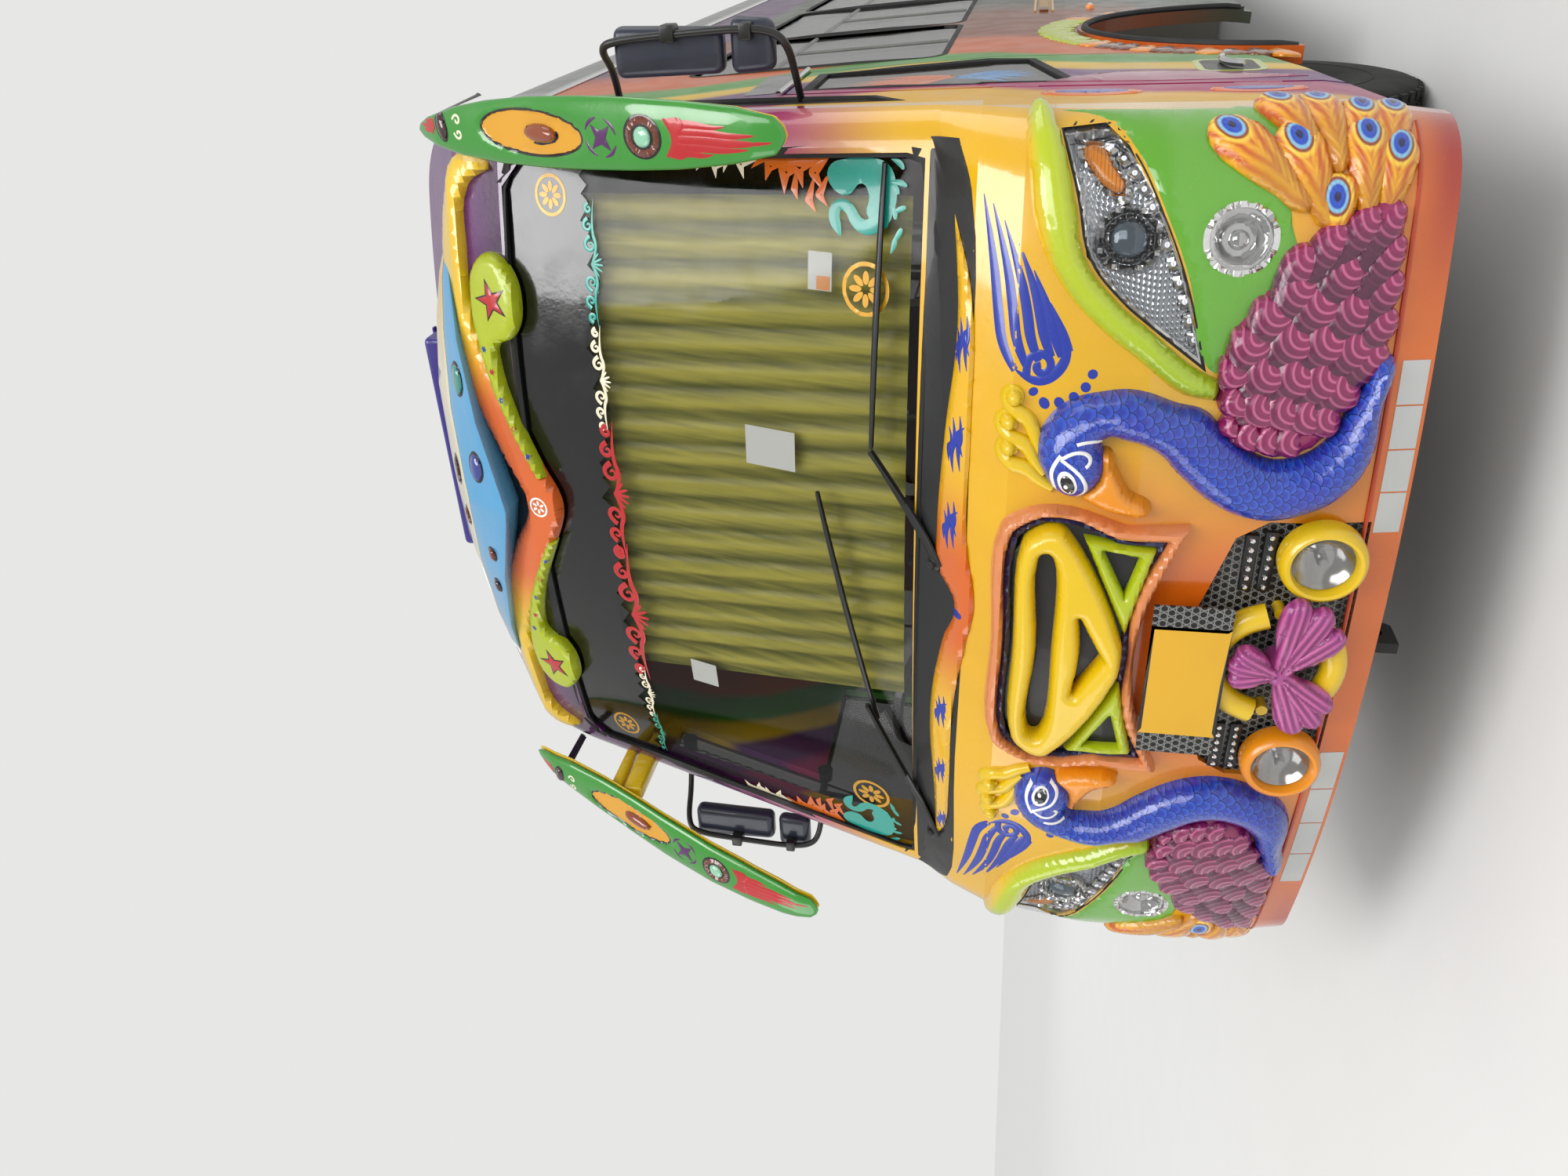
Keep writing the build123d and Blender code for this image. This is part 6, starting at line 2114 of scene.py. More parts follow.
    @staticmethod
    def _top() -> None:
        """Roof box behind the crest, marker lamps, hatches and gutters."""
        box = [brick((-0.43, -4.36, 3.372), (0.43, -2.5, 3.482), 0.02, 3)]
        for y in np.linspace(-4.25, -2.65, 9):
            box.append(brick((-0.44, y - 0.012, 3.478), (0.44, y + 0.012, 3.488), 0.004))
        piece("roof_box_ribbed", join(box), VIOLET)
        hatches = []
        for y in (-0.6, 2.2):
            hatches.append(brick((-0.34, y, 3.385), (0.34, y + 0.62, 3.43), 0.018, 3))
            hatches.append(brick((-0.28, y + 0.06, 3.425), (0.28, y + 0.56, 3.445), 0.012, 3))
        piece("roof_hatches", join(hatches), FOAM_WHITE)
        lamps = []
        for side in (1, -1):
            lamps.append(
                spun(
                    (
                        (0.0, 0.040), (0.018, 0.037), (0.032, 0.024), (0.038, 0.006), (0.040, -0.03),
                        (0.0, -0.03)
                    ),
                    (side * 0.907, 1.240 + FRONT_Y, 3.345), (0, 0, 1), 24
                )
            )
        piece("roof_markers", join(lamps), GEM_BROWN)
        gutter = tube([(1.2185, FRONT_Y + y, 2.952) for y in np.linspace(1.1, 10.85, 14)], 0.011)
        piece("roof_gutters", pair(gutter), CHROME)


@dataclass
class Horns:
    """Curved blades beside the windscreen, with their painted and set ornament."""

    left_edge: Sequence[Point] = (
        (1904, 1278), (1911, 1261), (1931, 1236), (2046, 1209), (2197, 1186), (2358, 1170), (2502, 1158),
        (2654, 1148), (2816, 1143), (2985, 1150), (3093, 1169), (3150, 1186), (3172, 1203),
    )
    right_edge: Sequence[Point] = (
        (1904, 1279), (1911, 1301), (1934, 1324), (2035, 1344), (2180, 1351), (2333, 1352), (2505, 1346),
        (2694, 1332), (2858, 1311), (2992, 1285), (3119, 1246), (3160, 1224), (3172, 1206),
    )
    line: Sequence[Point] = (
        (1890, 172), (1985, 190), (2150, 252), (2330, 330), (2540, 440), (2750, 560), (3080, 740),
        (3200, 830)
    )

    def _blade(self, ahead: float, behind: float, share: float, dent: bool) -> bmesh.types.BMesh:
        """Loft of rounded sections up the blade."""
        low, high = (np.array(self.left_edge).T / 1000), (np.array(self.right_edge).T / 1000)
        lead = np.array(self.line).T / 1000
        work = bmesh.new()
        rings = []
        for part in (1 - np.cos(np.linspace(0.0, math.pi, 97))) / 2:
            z = 1.9045 + (3.1715 - 1.9045) * part
            x0, x1 = np.interp(z, *low), np.interp(z, *high)
            y0 = np.interp(z, *lead) + FRONT_Y
            half = (x1 - x0) / 2 * share
            end = min(1.0, 3.2 * math.sqrt(max(part * (1 - part), 0.0)))
            ring = []
            for k in range(40):
                angle = 2 * math.pi * k / 40
                across = math.copysign(abs(math.cos(angle)) ** 0.8, math.cos(angle))
                deep = math.copysign(abs(math.sin(angle)) ** 0.9, math.sin(angle))
                x = (x0 + x1) / 2 + half * across
                y = y0 + (ahead + behind) / 2 - (behind - ahead) / 2 * deep * end
                if dent and deep > 0:
                    far = ((x - 1.241) / 0.058) ** 2 + ((z - 2.690) / 0.190) ** 2
                    y += 0.016 * max(0.0, min(1.0, (1.12 - far) / 0.22))
                ring.append(work.verts.new((x, y, z)))
            rings.append(ring)
        for a, b in zip(rings, rings[1:]):
            for k in range(40):
                work.faces.new((a[k], a[(k + 1) % 40], b[(k + 1) % 40], b[k]))
        work.faces.new(rings[0])
        work.faces.new(rings[-1])
        bmesh.ops.recalc_face_normals(work, faces=work.faces[:])
        return work

    @staticmethod
    def _paint(outline: Sequence[Point], lay: Wrap, lift: float = 0.001) -> bmesh.types.BMesh:
        """Flat painted shape on the blade."""
        return relief(outline, 0.001, 0.004, lift=lift, cell=0.014, root=0.002, wrap=lay)

    def build(self) -> None:
        """Make both blades and what is on them."""
        front = self._blade(0.0, 0.048, 1.0, True)
        lay = on_mesh(front)
        recess = self._paint(oval(1.241, 2.690, 0.057, 0.188, 12), lay)
        rim = tube(oval(1.241, 2.690, 0.059, 0.192, 16) + [(1.300, 2.690)], 0.0045, wrap=lay, flat=0.6)
        ringed = relief(oval(1.262, 2.300, 0.050, 0.052, 12), 0.006, 0.008, cell=0.012,
                        holes=[oval(1.262, 2.300, 0.030, 0.032, 12)], wrap=lay)
        gem = relief(oval(1.241, 2.655, 0.026, 0.060, 12), 0.024, 0.024, lift=0.002, cell=0.008, wrap=lay)
        green = relief(oval(1.262, 2.300, 0.026, 0.026), 0.012, 0.02, lift=0.002, cell=0.008, wrap=lay)
        eye = relief(
            oval(1.232, 3.045, 0.040, 0.018, turn=0.2), 0.010, 0.018, lift=0.002, cell=0.008, wrap=lay
        )
        # Black ovals a little larger than the gem, the ring and the eye, centred under each: painted shade
        # round their feet.
        shade = [self._paint(oval(1.241, 2.655, 0.032, 0.068, 12), lay, 0.002),
                 self._paint(oval(1.262, 2.300, 0.055, 0.058, 12), lay),
                 self._paint(oval(1.232, 3.045, 0.047, 0.024, turn=0.2), lay)]
        motif = [self._paint(star(1.250, 2.435, 0.044, 0.017, 4, math.pi / 4), lay)]
        for turn in (0.2, 1.77, 3.34, 4.91):
            line = [
                (1.250 + 0.050 * math.cos(turn + a), 2.435 + 0.052 * math.sin(turn + a))
                for a in (0.0, 0.35, 0.7, 1.05)
            ]
            motif.append(tube(line, 0.005, (0.3, 1.0, 1.0, 0.3), 0.3, lay, 3))
        flames = []
        for x, z, drop, wide in (
            (1.245, 2.20, -0.20, 0.012), (1.262, 2.21, -0.27, 0.014), (1.279, 2.205, -0.23, 0.012),
            (1.296, 2.20, -0.14, 0.011), (1.229, 2.195, -0.10, 0.010), (1.212, 3.085, 0.050, 0.008),
            (1.225, 3.075, 0.075, 0.009), (1.238, 3.08, 0.045, 0.008)
        ):
            line = (
                (x, z), (x + 0.004, z + drop * 0.35), (x - 0.003, z + drop * 0.7), (x + 0.003, z + drop)
            )
            flames.append(tube(line, wide, (1.2, 0.95, 0.7, 0.15), 0.12, lay, 3))
        crown = (
            (1.218, 2.232, 1), (1.262, 2.212), (1.310, 2.236, 1), (1.304, 2.175), (1.262, 2.185),
            (1.224, 2.172)
        )
        flames.append(self._paint(crown, lay))
        pale = [
            tube(curl(x, 2.975, 0.018, 1.1, 1.5, way), 0.0035, wrap=lay, flat=0.3, sides=3) for x,
            way in ((1.215, 1), (1.252, -1))
        ]
        piece("horn_blades", pair(front), HORN,
                     replaces="horns")
        back = self._blade(0.034, 0.0615, 0.95, False)
        piece("horn_backs", pair(back), gloss(Tint.YELLOW))
        for name, parts, finish, slot in (
            ("horn_recesses", [recess], RECESS, "yellow_moulding"),
            ("horn_outlines_and_painted_shade", [rim, *shade], gloss(Tint.BLACK), "cabin_plastic"),
            ("horn_ring_settings", [ringed], GEM_BROWN, "crest_moulding"),
            ("horn_gems_brown", [gem], GEM_AMBER, "crest_moulding"),
            ("horn_gems_green", [green], GEM_GREEN, "crest_moulding"),
            ("horn_eyes", [eye], GEM_DARK, "crest_moulding"),
            ("horn_motifs", motif, gloss(Tint.PURPLE), "purple_paint"),
            ("horn_flames", flames, gloss(Tint.RED), "magenta_moulding"),
            ("horn_scrolls", pale, gloss(Tint.CREAM), "lime_moulding"),
        ):
            piece(name, pair(join(parts)), finish)
        self._arms()

    @staticmethod
    def _arms() -> None:
        """Bracket arms between the blades and the body."""
        parts = []
        for z0, z1 in ((2.66, 2.735), (2.745, 2.79)):
            parts.append(brick(*from_front((1.165, 0.610, z0), (1.222, 0.86, z1)), 0.012, 3))
        piece("horn_arms", pair(join(parts)), gloss(Tint.YELLOW))


@dataclass
class Mirrors:
    """Two-part mirrors on bent tubes, with clamps."""

    path: Sequence[Point] = (
        (1.225, 0.960, 2.560), (1.345, 0.890, 2.545), (1.425, 0.730, 2.530), (1.448, 0.700, 2.480),
        (1.460, 0.700, 2.30), (1.470, 0.700, 2.12), (1.462, 0.705, 2.03), (1.425, 0.722, 1.992),
        (1.34, 0.80, 1.988), (1.255, 0.870, 1.985),
    )

    def build(self) -> None:
        """Make heads, glass, tubes and clamps."""
        path = from_front(*self.path)
        metal = [tube(path, 0.011, sides=9)]
        for z0, z1 in ((2.300, 2.340), (2.085, 2.120)):
            metal.append(brick(*from_front((1.440, 0.682, z0), (1.485, 0.745, z1)), 0.006))
        for x, y, z in ((1.225, 0.965, 2.560), (1.25, 0.872, 1.985)):
            metal.append(
                spun(
                    ((0, 0.02), (0.026, 0.016), (0.03, -0.03), (0, -0.03)), (x - 0.01, y + FRONT_Y, z),
                    (1, 0, 0), 16
                )
            )
        piece("mirror_tubes", pair(join(metal)), PLASTIC, replaces="mirrors")
        heads, glasses = [], []
        for x0, x1, y1, z0, z1 in (
            (1.345, 1.480, 0.790, 2.175, 2.490), (1.350, 1.498, 0.780, 2.030, 2.155)
        ):
            shell = brick(*from_front((x0, 0.722, z0), (x1, y1, z1)), 0.026, 5)
            for vert in shell.verts:
                part = (vert.co.z - z0) / (z1 - z0)
                vert.co.x = (x0 + x1) / 2 + (vert.co.x - (x0 + x1) / 2) * (0.88 + 0.12 * part)
            heads.append(shell)
            glasses.append(
                brick(
                    *from_front((x0 + 0.022, y1 - 0.004, z0 + 0.020), (x1 - 0.022, y1 + 0.002, z1 - 0.020)),
                    0.002
                )
            )
        piece("mirror_heads", pair(join(heads)), MIRROR_SHELL)
        piece("mirror_glasses", pair(join(glasses)), CHROME)


@dataclass
class Sides:
    """Window rubbers and rails, painted ornament, door and flap fittings."""

    bays: Sequence[tuple[float, float]] = tuple(
        [(1.560, 2.560)] + [(2.640 + i * 1.29833, 2.640 + (i + 1) * 1.29833 - 0.080) for i in range(6)])

    def build(self) -> None:
        """Dress both side walls."""
        self._windows()
        self._ornament()
        self._door()
        self._arches()
        self._fittings()

    def _windows(self) -> None:
        """Rubbers round each window, with sliding frames and guard rails."""
        both_walls, rails, left_only, right_only = [], [], [], []
        for i, (start, end) in enumerate(self.bays):
            target = left_only if i == 6 else both_walls
            target.append(ring_relief(start, end, 1.640, 2.500, 0.020, 0.006, on_left))
            rail_target = rails if i < 6 else left_only
            middle = (start + end) / 2
            for line in (((start + 0.01, 2.22), (end - 0.01, 2.22)), ((middle, 1.65), (middle, 2.215))):
                rail_target.append(
                    tube([line[0], line[0], line[1], line[1]], 0.010, wrap=on_left_glass, flat=0.6)
                )
        right_only.append(ring_relief(9.13167, 9.500, 1.640, 2.500, 0.020, 0.006, on_left))
        quarter = [(0.6605, 1.690, 1), (0.787, 1.780, 1), (1.0495, 2.620, 1), (0.9245, 2.620, 1)]
        both_walls.append(relief(scaled(quarter, 1.05), 0.004, 0.004, cell=0.3, root=0.008, raw=True,
                                 holes=[scaled(quarter, 0.98)], wrap=on_left))
        driver = [(0.770, 1.410, 1), (1.430, 1.410, 1), (1.430, 1.980, 1), (0.808, 1.980, 1)]
        right_only.append(relief(scaled(driver, 1.07), 0.004, 0.004, cell=0.3, root=0.008, raw=True,
                                 holes=[driver], wrap=on_left))
        piece("window_rubbers", pair(join(both_walls)), RUBBER)
        piece("window_rails", pair(join(rails)), STEEL)
        piece("window_rubber_last_left", join(left_only), RUBBER)
        piece("window_rubbers_right", flipped_only(join(right_only)), RUBBER)
        exit_ring = ring_relief(9.670, 10.260, 1.640, 2.410, 0.020, 0.006, on_left)
        piece("exit_door_rubber", flipped_only(exit_ring), RUBBER, "exit_door")
        handle = tube(
            [(10.20, 1.42), (10.20, 1.42), (10.06, 1.42), (10.06, 1.42)], 0.012, wrap=raised(on_left, 0.012)
        )
        piece("exit_door_handle", flipped_only(handle), CHROME, "exit_door")

    @staticmethod
    def _ornament() -> None:
        """Feather eyes, feather chain on the quarter glass and drip rail."""
        orange, blue = [], []
        for y, z, wide, high in ((0.645, 1.185, 0.050, 0.130), (0.655, 0.775, 0.045, 0.120)):
            orange.append(relief(oval(y, z, wide, high, 10), 0.003, 0.006, cell=0.03, wrap=on_left))
            blue.append(
                relief(
                    oval(y, z, wide * 0.55, high * 0.72, 10), 0.002, 0.006, lift=0.004, cell=0.03,
                    wrap=on_left
                )
            )
        piece("side_eyes_orange", pair(join(orange)), gloss(Tint.ORANGE))
        piece("side_eyes_blue", pair(join(blue)), gloss(Tint.BLUE))
        chain = []
        for i in range(18):
            part = i / 17
            y, z = 0.700 + 0.27 * part, 1.735 + 0.84 * part
            for way in (-1, 1):
                line = (
                    (y, z), (y + way * 0.014, z + 0.018), (y + way * 0.012, z + 0.044),
                    (y + way * 0.004, z + 0.056)
                )
                chain.append(tube(line, 0.005, (0.6, 1.2, 0.9, 0.2), 0.2, on_left_glass, 3))
        piece("quarter_feather_chains", pair(join(chain)), gloss(Tint.WHITE))
        rail = tube([(y, 2.068) for y in np.linspace(0.94, 1.46, 8)], 0.008, wrap=raised(on_left, 0.006))
        piece("door_drip_rail", rail, CHROME)
        sign = relief(
            box_line(0.985, 1.40, 2.09, 2.185, 0.012), 0.003, 0.004, cell=0.2, raw=True, wrap=on_left
        )
        piece("door_sign_panel", sign, gloss(Tint.BLACK))

    @staticmethod
    def _door() -> None:
        """Window rubber, painted feathers, handle in its recess and lock, all on the door."""
        body = "entry_door"
        window = [
            (0.860, 1.235, 1), (1.330, 1.350, 1), (1.330, 1.985, 1), (1.010, 1.985, 1), (0.860, 1.500, 1)
        ]
        rubber = relief(scaled(window, 1.07), 0.005, 0.004, cell=0.3, root=0.008, raw=True,
                        holes=[scaled(window, 0.985)], wrap=on_left)
        piece("door_rubber", rubber, RUBBER, body)
        for name, tint, foot, rows in (
            ("orange", Tint.ORANGE, (1.10, 1.56), (70, 82, 94, 106, 118, 130, 142)),
            ("blue", Tint.SKY, (1.06, 1.56), (-58, -70, -82, -94, -106, -118, -128)),
        ):
            strokes = []
            for i, turn in enumerate(rows):
                angle = math.radians(turn)
                reach = 0.36 - 0.028 * abs(i - 3) if name == "orange" else 0.24 - 0.014 * abs(i - 3)
                sway = 0.03 * math.sin(i * 1.7)
                line = [(foot[0] + reach * part * math.cos(angle + sway) + 0.018 * math.sin(part * 5 + i),
                         foot[1] + reach * part * math.sin(angle)) for part in (0.05, 0.35, 0.7, 1.0)]
                strokes.append(tube(line, 0.017, (0.5, 1.2, 0.9, 0.1), 0.1, on_left_glass, 3))
            piece(f"door_feathers_{name}", join(strokes), gloss(tint), body)
        panel = relief(
            [(0.85, 1.30, 1), (0.98, 1.16), (1.02, 0.98), (0.95, 0.78), (0.86, 0.62, 1), (0.83, 0.9)],
            0.003, 0.005, cell=0.05, wrap=on_left
        )
        piece("door_magenta_flame", panel, gloss(Tint.MAGENTA), body)
        frame_ring = ring_relief(1.00, 1.21, 0.715, 0.865, 0.020, 0.010, on_left, 0.03)
        piece("door_handle_frame", frame_ring, gloss(Tint.LIME), body)
        plate = relief(
            box_line(1.00, 1.21, 0.715, 0.865, 0.03), 0.001, 0.003, cell=0.2, raw=True, wrap=on_left
        )
        piece("door_handle_recess", plate, PLASTIC, body)
        grip = tube([(1.03, 0.76), (1.05, 0.80), (1.15, 0.81), (1.185, 0.80)], 0.010,
                    wrap=raised(on_left, 0.013))
        lock = spun(
            ((0, 0.008), (0.012, 0.007), (0.017, 0.0), (0.017, -0.004), (0, -0.004)),
            on_left(1.38, 0.76, 0.001), (1, 0, 0), 16
        )
        piece("door_handle", join([grip, lock]), CHROME, body)

    @staticmethod
    def _arches() -> None:
        """Feathers that fan out round each wheel arch."""
        brown, lime, tan = [], [], []
        for centre in (FRONT_AXLE, REAR_AXLE):
            for i in range(31):
                angle = math.radians(8 + 164 * i / 30)
                root = (centre + 0.675 * math.cos(angle), AXLE_Z + 0.675 * math.sin(angle))
                lean = angle + 0.35
                tip = (root[0] + 0.135 * math.cos(lean), root[1] + 0.135 * math.sin(lean))
                on_top = 62 < math.degrees(angle) < 118
                feather = leaf(tip, root, 0.044, 0.006, 0.001 + 0.0012 * (i % 2), on_left, 0.03)
                (lime if on_top else (tan if i % 3 == 0 else brown)).append(feather)
        piece("arch_feathers_brown", pair(join(brown)), gloss(Tint.BROWN))
        piece("arch_feathers_lime", pair(join(lime)), gloss(Tint.LIME))
        piece("arch_feathers_tan", pair(join(tan)), gloss(Tint.AMBER))
        lips = []
        for centre in (FRONT_AXLE, REAR_AXLE):
            line = [
                (centre + 0.640 * math.cos(a), AXLE_Z + 0.640 * math.sin(a))
                for a in np.linspace(0.03, math.pi - 0.03, 25)
            ]
            lips.append(tube(line, 0.012, wrap=raised(on_left, 0.010), sides=6))
        piece("arch_lips", pair(join(lips)), RUBBER)

    @staticmethod
    def _fittings() -> None:
        """Marker lamps, flap locks, the fuel cap and gold waist beads."""
        markers = []
        for y in (2.98, 4.2, 6.3, 8.9, 9.42):
            markers.append(
                relief(
                    box_line(y - 0.05, y + 0.05, 1.10, 1.135, 0.012), 0.014, 0.012, cell=0.012, raw=True,
                    wrap=on_left
                )
            )
        piece("side_markers", pair(join(markers)), AMBER_LENS)
        for side, end in ((1, "left"), (-1, "right")):
            locks = []
            for y in (4.9, 5.6):
                lock = spun(
                    ((0, 0.010), (0.016, 0.009), (0.024, 0.0), (0.024, -0.003), (0, -0.003)),
                    on_left(y, 0.60, 0.001), (1, 0, 0), 20
                )
                locks += [lock, tube([(y - 0.04, 0.60), (y, 0.60), (y, 0.60), (y + 0.04, 0.60)], 0.006,
                                     wrap=raised(on_left, 0.013))]
            work = join(locks)
            piece(f"flap_locks_{end}", work if side > 0 else flipped_only(work), CHROME,
                  f"luggage_flap_{end}")
        cap = spun(((0, 0.020), (0.045, 0.018), (0.055, 0.006), (0.060, 0.0), (0.060, -0.003), (0, -0.003)),
                   on_left(3.40, 0.74, 0.001), (1, 0, 0), 28)
        piece("fuel_cap", flipped_only(cap), STEEL)
        beads = {
            "waist_beads": (2.86, 9.52), "waist_beads_behind_door": (10.40, 10.90),
            "exit_door_beads": (9.60, 10.32)
        }
        for name, (start, end) in beads.items():
            rails = [
                tube([(y, z) for y in np.linspace(start, end, 12)], 0.006, wrap=on_left)
                for z in (1.345, 1.272)
            ]
            work = join(rails)
            if name == "exit_door_beads":
                piece("waist_beads_rear_left", work.copy(), GOLD)
                piece(name, flipped_only(work), GOLD, "exit_door")
            else:
                piece(name, pair(work), GOLD)


@dataclass
class Wheels:
    """Treaded tyres, nuts and hub caps."""

    carcass: Sequence[Point] = (
        (0.2545, -0.1075), (0.272, -0.112), (0.30, -0.124), (0.345, -0.134), (0.390, -0.1370),
        (0.43, -0.1360), (0.46, -0.133), (0.488, -0.127), (0.504, -0.118), (0.513, -0.100), (0.5155, -0.05),
        (0.5155, 0.05), (0.513, 0.100), (0.504, 0.118), (0.488, 0.127), (0.46, 0.133), (0.43, 0.1360),
        (0.390, 0.1370), (0.345, 0.134), (0.30, 0.124), (0.272, 0.112), (0.2545, 0.1075), (0.2545, -0.1075),
    )

    def _tyre(self, centre: Point) -> bmesh.types.BMesh:
        """Carcass with rows of tread blocks."""
        parts = [spun(self.carcass, centre, (1, 0, 0), 72)]
        blocks = bmesh.new()
        for row, count, wide, long, shift in (
            (-0.098, 54, 0.034, 0.040, 0.0), (-0.050, 54, 0.038, 0.034, 0.5), (0.0, 54, 0.040, 0.030, 0.0),
            (0.050, 54, 0.038, 0.034, 0.5), (0.098, 54, 0.034, 0.040, 0.0)
        ):
            high = 0.5245 if abs(row) < 0.09 else 0.5215
            for i in range(count):
                angle = 2 * math.pi * (i + shift) / count
                made = bmesh.ops.create_cube(blocks, size=1.0)["verts"]
                bmesh.ops.scale(blocks, vec=(wide, long, 0.014), verts=made)
                for vert in made:
                    if vert.co.z > 0:
                        vert.co.x *= 0.9
                        vert.co.y *= 0.9
                place = (Matrix.Translation(centre) @ Matrix.Rotation(angle, 4, "X")
                         @ Matrix.Translation((row, 0.0, high - 0.007)))
                bmesh.ops.transform(blocks, matrix=place, verts=made)
        parts.append(blocks)
        for side in (1, -1):
            x = centre[0] + side * 0.1368
            parts.append(
                spun(
                    ((0.355, -0.002), (0.357, 0.0006), (0.362, 0.0006), (0.364, -0.002), (0.355, -0.002)),
                    (x, centre[1], centre[2]), (side, 0, 0), 60
                )
            )
        return join(parts)

    def build(self) -> None:
        """Make the four wheel ends."""
        for side, end in ((1, "left"), (-1, "right")):
            front = (side * 1.0, FRONT_AXLE + FRONT_Y, AXLE_Z)
            body = f"wheel_front_{end}"
            piece(
                f"tyre_front_{end}_treaded", self._tyre(front), TYRE, body,
                replaces=f"tyre_front_{end}"
            )
            self._nuts(side, side * 1.050, 0.147, front, side * 1.110, 0.055, body, end, "front")
            rear_y = REAR_AXLE + FRONT_Y
            tyres = join([self._tyre((side * x, rear_y, AXLE_Z)) for x in (0.764, 1.086)])
            body = f"wheels_rear_{end}"
            piece(f"tyres_rear_{end}_treaded", tyres, TYRE, body, replaces=f"tyres_rear_{end}")
            self._nuts(
                side, side * 1.046, 0.1675, (0, rear_y, AXLE_Z), side * 1.130, 0.075, body, end, "rear"
            )

    @staticmethod
    def _nuts(
        side: int, face: float, pitch: float, centre: Point, cap: float, radius: float, body: str, end: str,
        name: str
    ) -> None:
        """Ring of nuts on studs, a stepped hub cap and black discs as painted shade in the hand holes."""
        metal, dark = [], []
        for i in range(10):
            angle = 2 * math.pi * i / 10
            y, z = centre[1] + pitch * math.cos(angle), centre[2] + pitch * math.sin(angle)
            metal.append(
                spun(
                    ((0, 0.030), (0.007, 0.030), (0.009, 0.020), (0.016, 0.018), (0.018, 0.0), (0.0, 0.0)),
                    (face, y, z), (side, 0, 0), 6
                )
            )
        metal.append(
            spun(
                (
                    (0, 0.016), (radius * 0.5, 0.014), (radius * 0.8, 0.008), (radius, 0.0),
                    (radius, -0.004), (0, -0.004)
                ),
                (cap, centre[1], centre[2]), (side, 0, 0), 32
            )
        )
        # Black discs at the hand holes stand for the shade inside them: painted shade.
        ring = pitch + 0.030
        for i in range(8):
            angle = 2 * math.pi * (i + 0.5) / 8
            y, z = centre[1] + ring * math.cos(angle), centre[2] + ring * math.sin(angle)
            dark.append(
                spun(((0, 0.0015), (0.012, 0.0015), (0.013, 0.0), (0, 0.0)), (face, y, z), (side, 0, 0), 16)
            )
        piece(f"wheel_nuts_{name}_{end}", join(metal), STEEL, body)
        piece(f"wheel_holes_{name}_{end}", join(dark), gloss(Tint.BLACK), body)


@dataclass
class Rear:
    """Window rubber, lamp clusters, blank plate, boot fittings and painted feathers."""

    def build(self) -> None:
        """Dress the back."""
        piece(
            "rear_window_rubber", ring_relief(-0.9, 0.9, 1.80, 2.70, 0.025, 0.008, on_back, 0.12), RUBBER,
        )
        lenses = {"red": [], "amber": [], "white": []}
        for z0, z1, kind in ((1.325, 1.455, "red"), (1.185, 1.315, "amber"), (1.045, 1.175, "white")):
            outline = box_line(0.975, 1.125, z0, z1, 0.02)
            lenses[kind].append(
                relief(outline, 0.012, 0.03, lift=-0.004, cell=0.02, raw=True, wrap=on_back)
            )
        lamp_red = pair(join(lenses["red"]))
        piece("tail_lamps_red", lamp_red, RED_LENS, replaces="small_lamps")
        piece("tail_lamps_amber", pair(join(lenses["amber"])), AMBER_LENS)
        piece("tail_lamps_white", pair(join(lenses["white"])), WHITE_LENS)
        ring = ring_relief(0.972, 1.128, 1.042, 1.458, 0.016, 0.008, on_back, 0.02)
        piece("tail_lamp_frames", pair(ring), CHROME)
        plate = relief(
            box_line(-0.17, 0.17, 1.06, 1.16, 0.01), 0.003, 0.002, cell=0.2, raw=True, wrap=on_back
        )
        piece("rear_plate_blank", plate, PLATE, "boot_lid")
        grip = tube(
            [(-0.09, 1.22), (-0.08, 1.235), (0.08, 1.235), (0.09, 1.22)], 0.010, wrap=raised(on_back, 0.012)
        )
        piece("boot_handle", grip, CHROME, "boot_lid")
        strips = relief(
            [(-1.1, 0.445, 1), (1.1, 0.445, 1), (1.1, 0.505, 1), (-1.1, 0.505, 1)], 0.002, 0.003, cell=0.2,
            wrap=on_back
        )
        piece("rear_strips", strips, REFLECTOR)
        for name, tint, width, reach in (
            ("orange", Tint.ORANGE, 0.060, 0.34), ("blue", Tint.BLUE, 0.030, 0.20)
        ):
            feathers = []
            for turn in (20, 45, 70, 95, 120, 145):
                angle = math.radians(turn)
                tip = (0.36 + reach * math.cos(angle), 1.27 + reach * 0.72 * math.sin(angle))
                root = (0.36 + 0.05 * math.cos(angle), 1.25 + 0.03 * math.sin(angle))
                feathers.append(
                    leaf(tip, root, width, 0.004, 0.001 if name == "orange" else 0.005, on_back, 0.04)
                )
            piece(
                f"boot_feathers_{name}", pair(join(feathers)), gloss(tint), "boot_lid"
            )
        swirls = []
        for way in (-1, 1):
            swirls.append(tube(curl(way * 1.05, 2.2, 0.085, 1.3, 1.57, way), 0.012, wrap=on_back, flat=0.3))
            swirls.append(
                tube(
                    ((way * 1.05, 1.62), (way * 1.12, 1.8), (way * 1.02, 2.0), (way * 1.08, 2.1)), 0.018,
                    (0.2, 1, 1, 0.3), wrap=on_back, flat=0.3
                )
            )
        piece("rear_swirls", join(swirls), gloss(Tint.YELLOW))


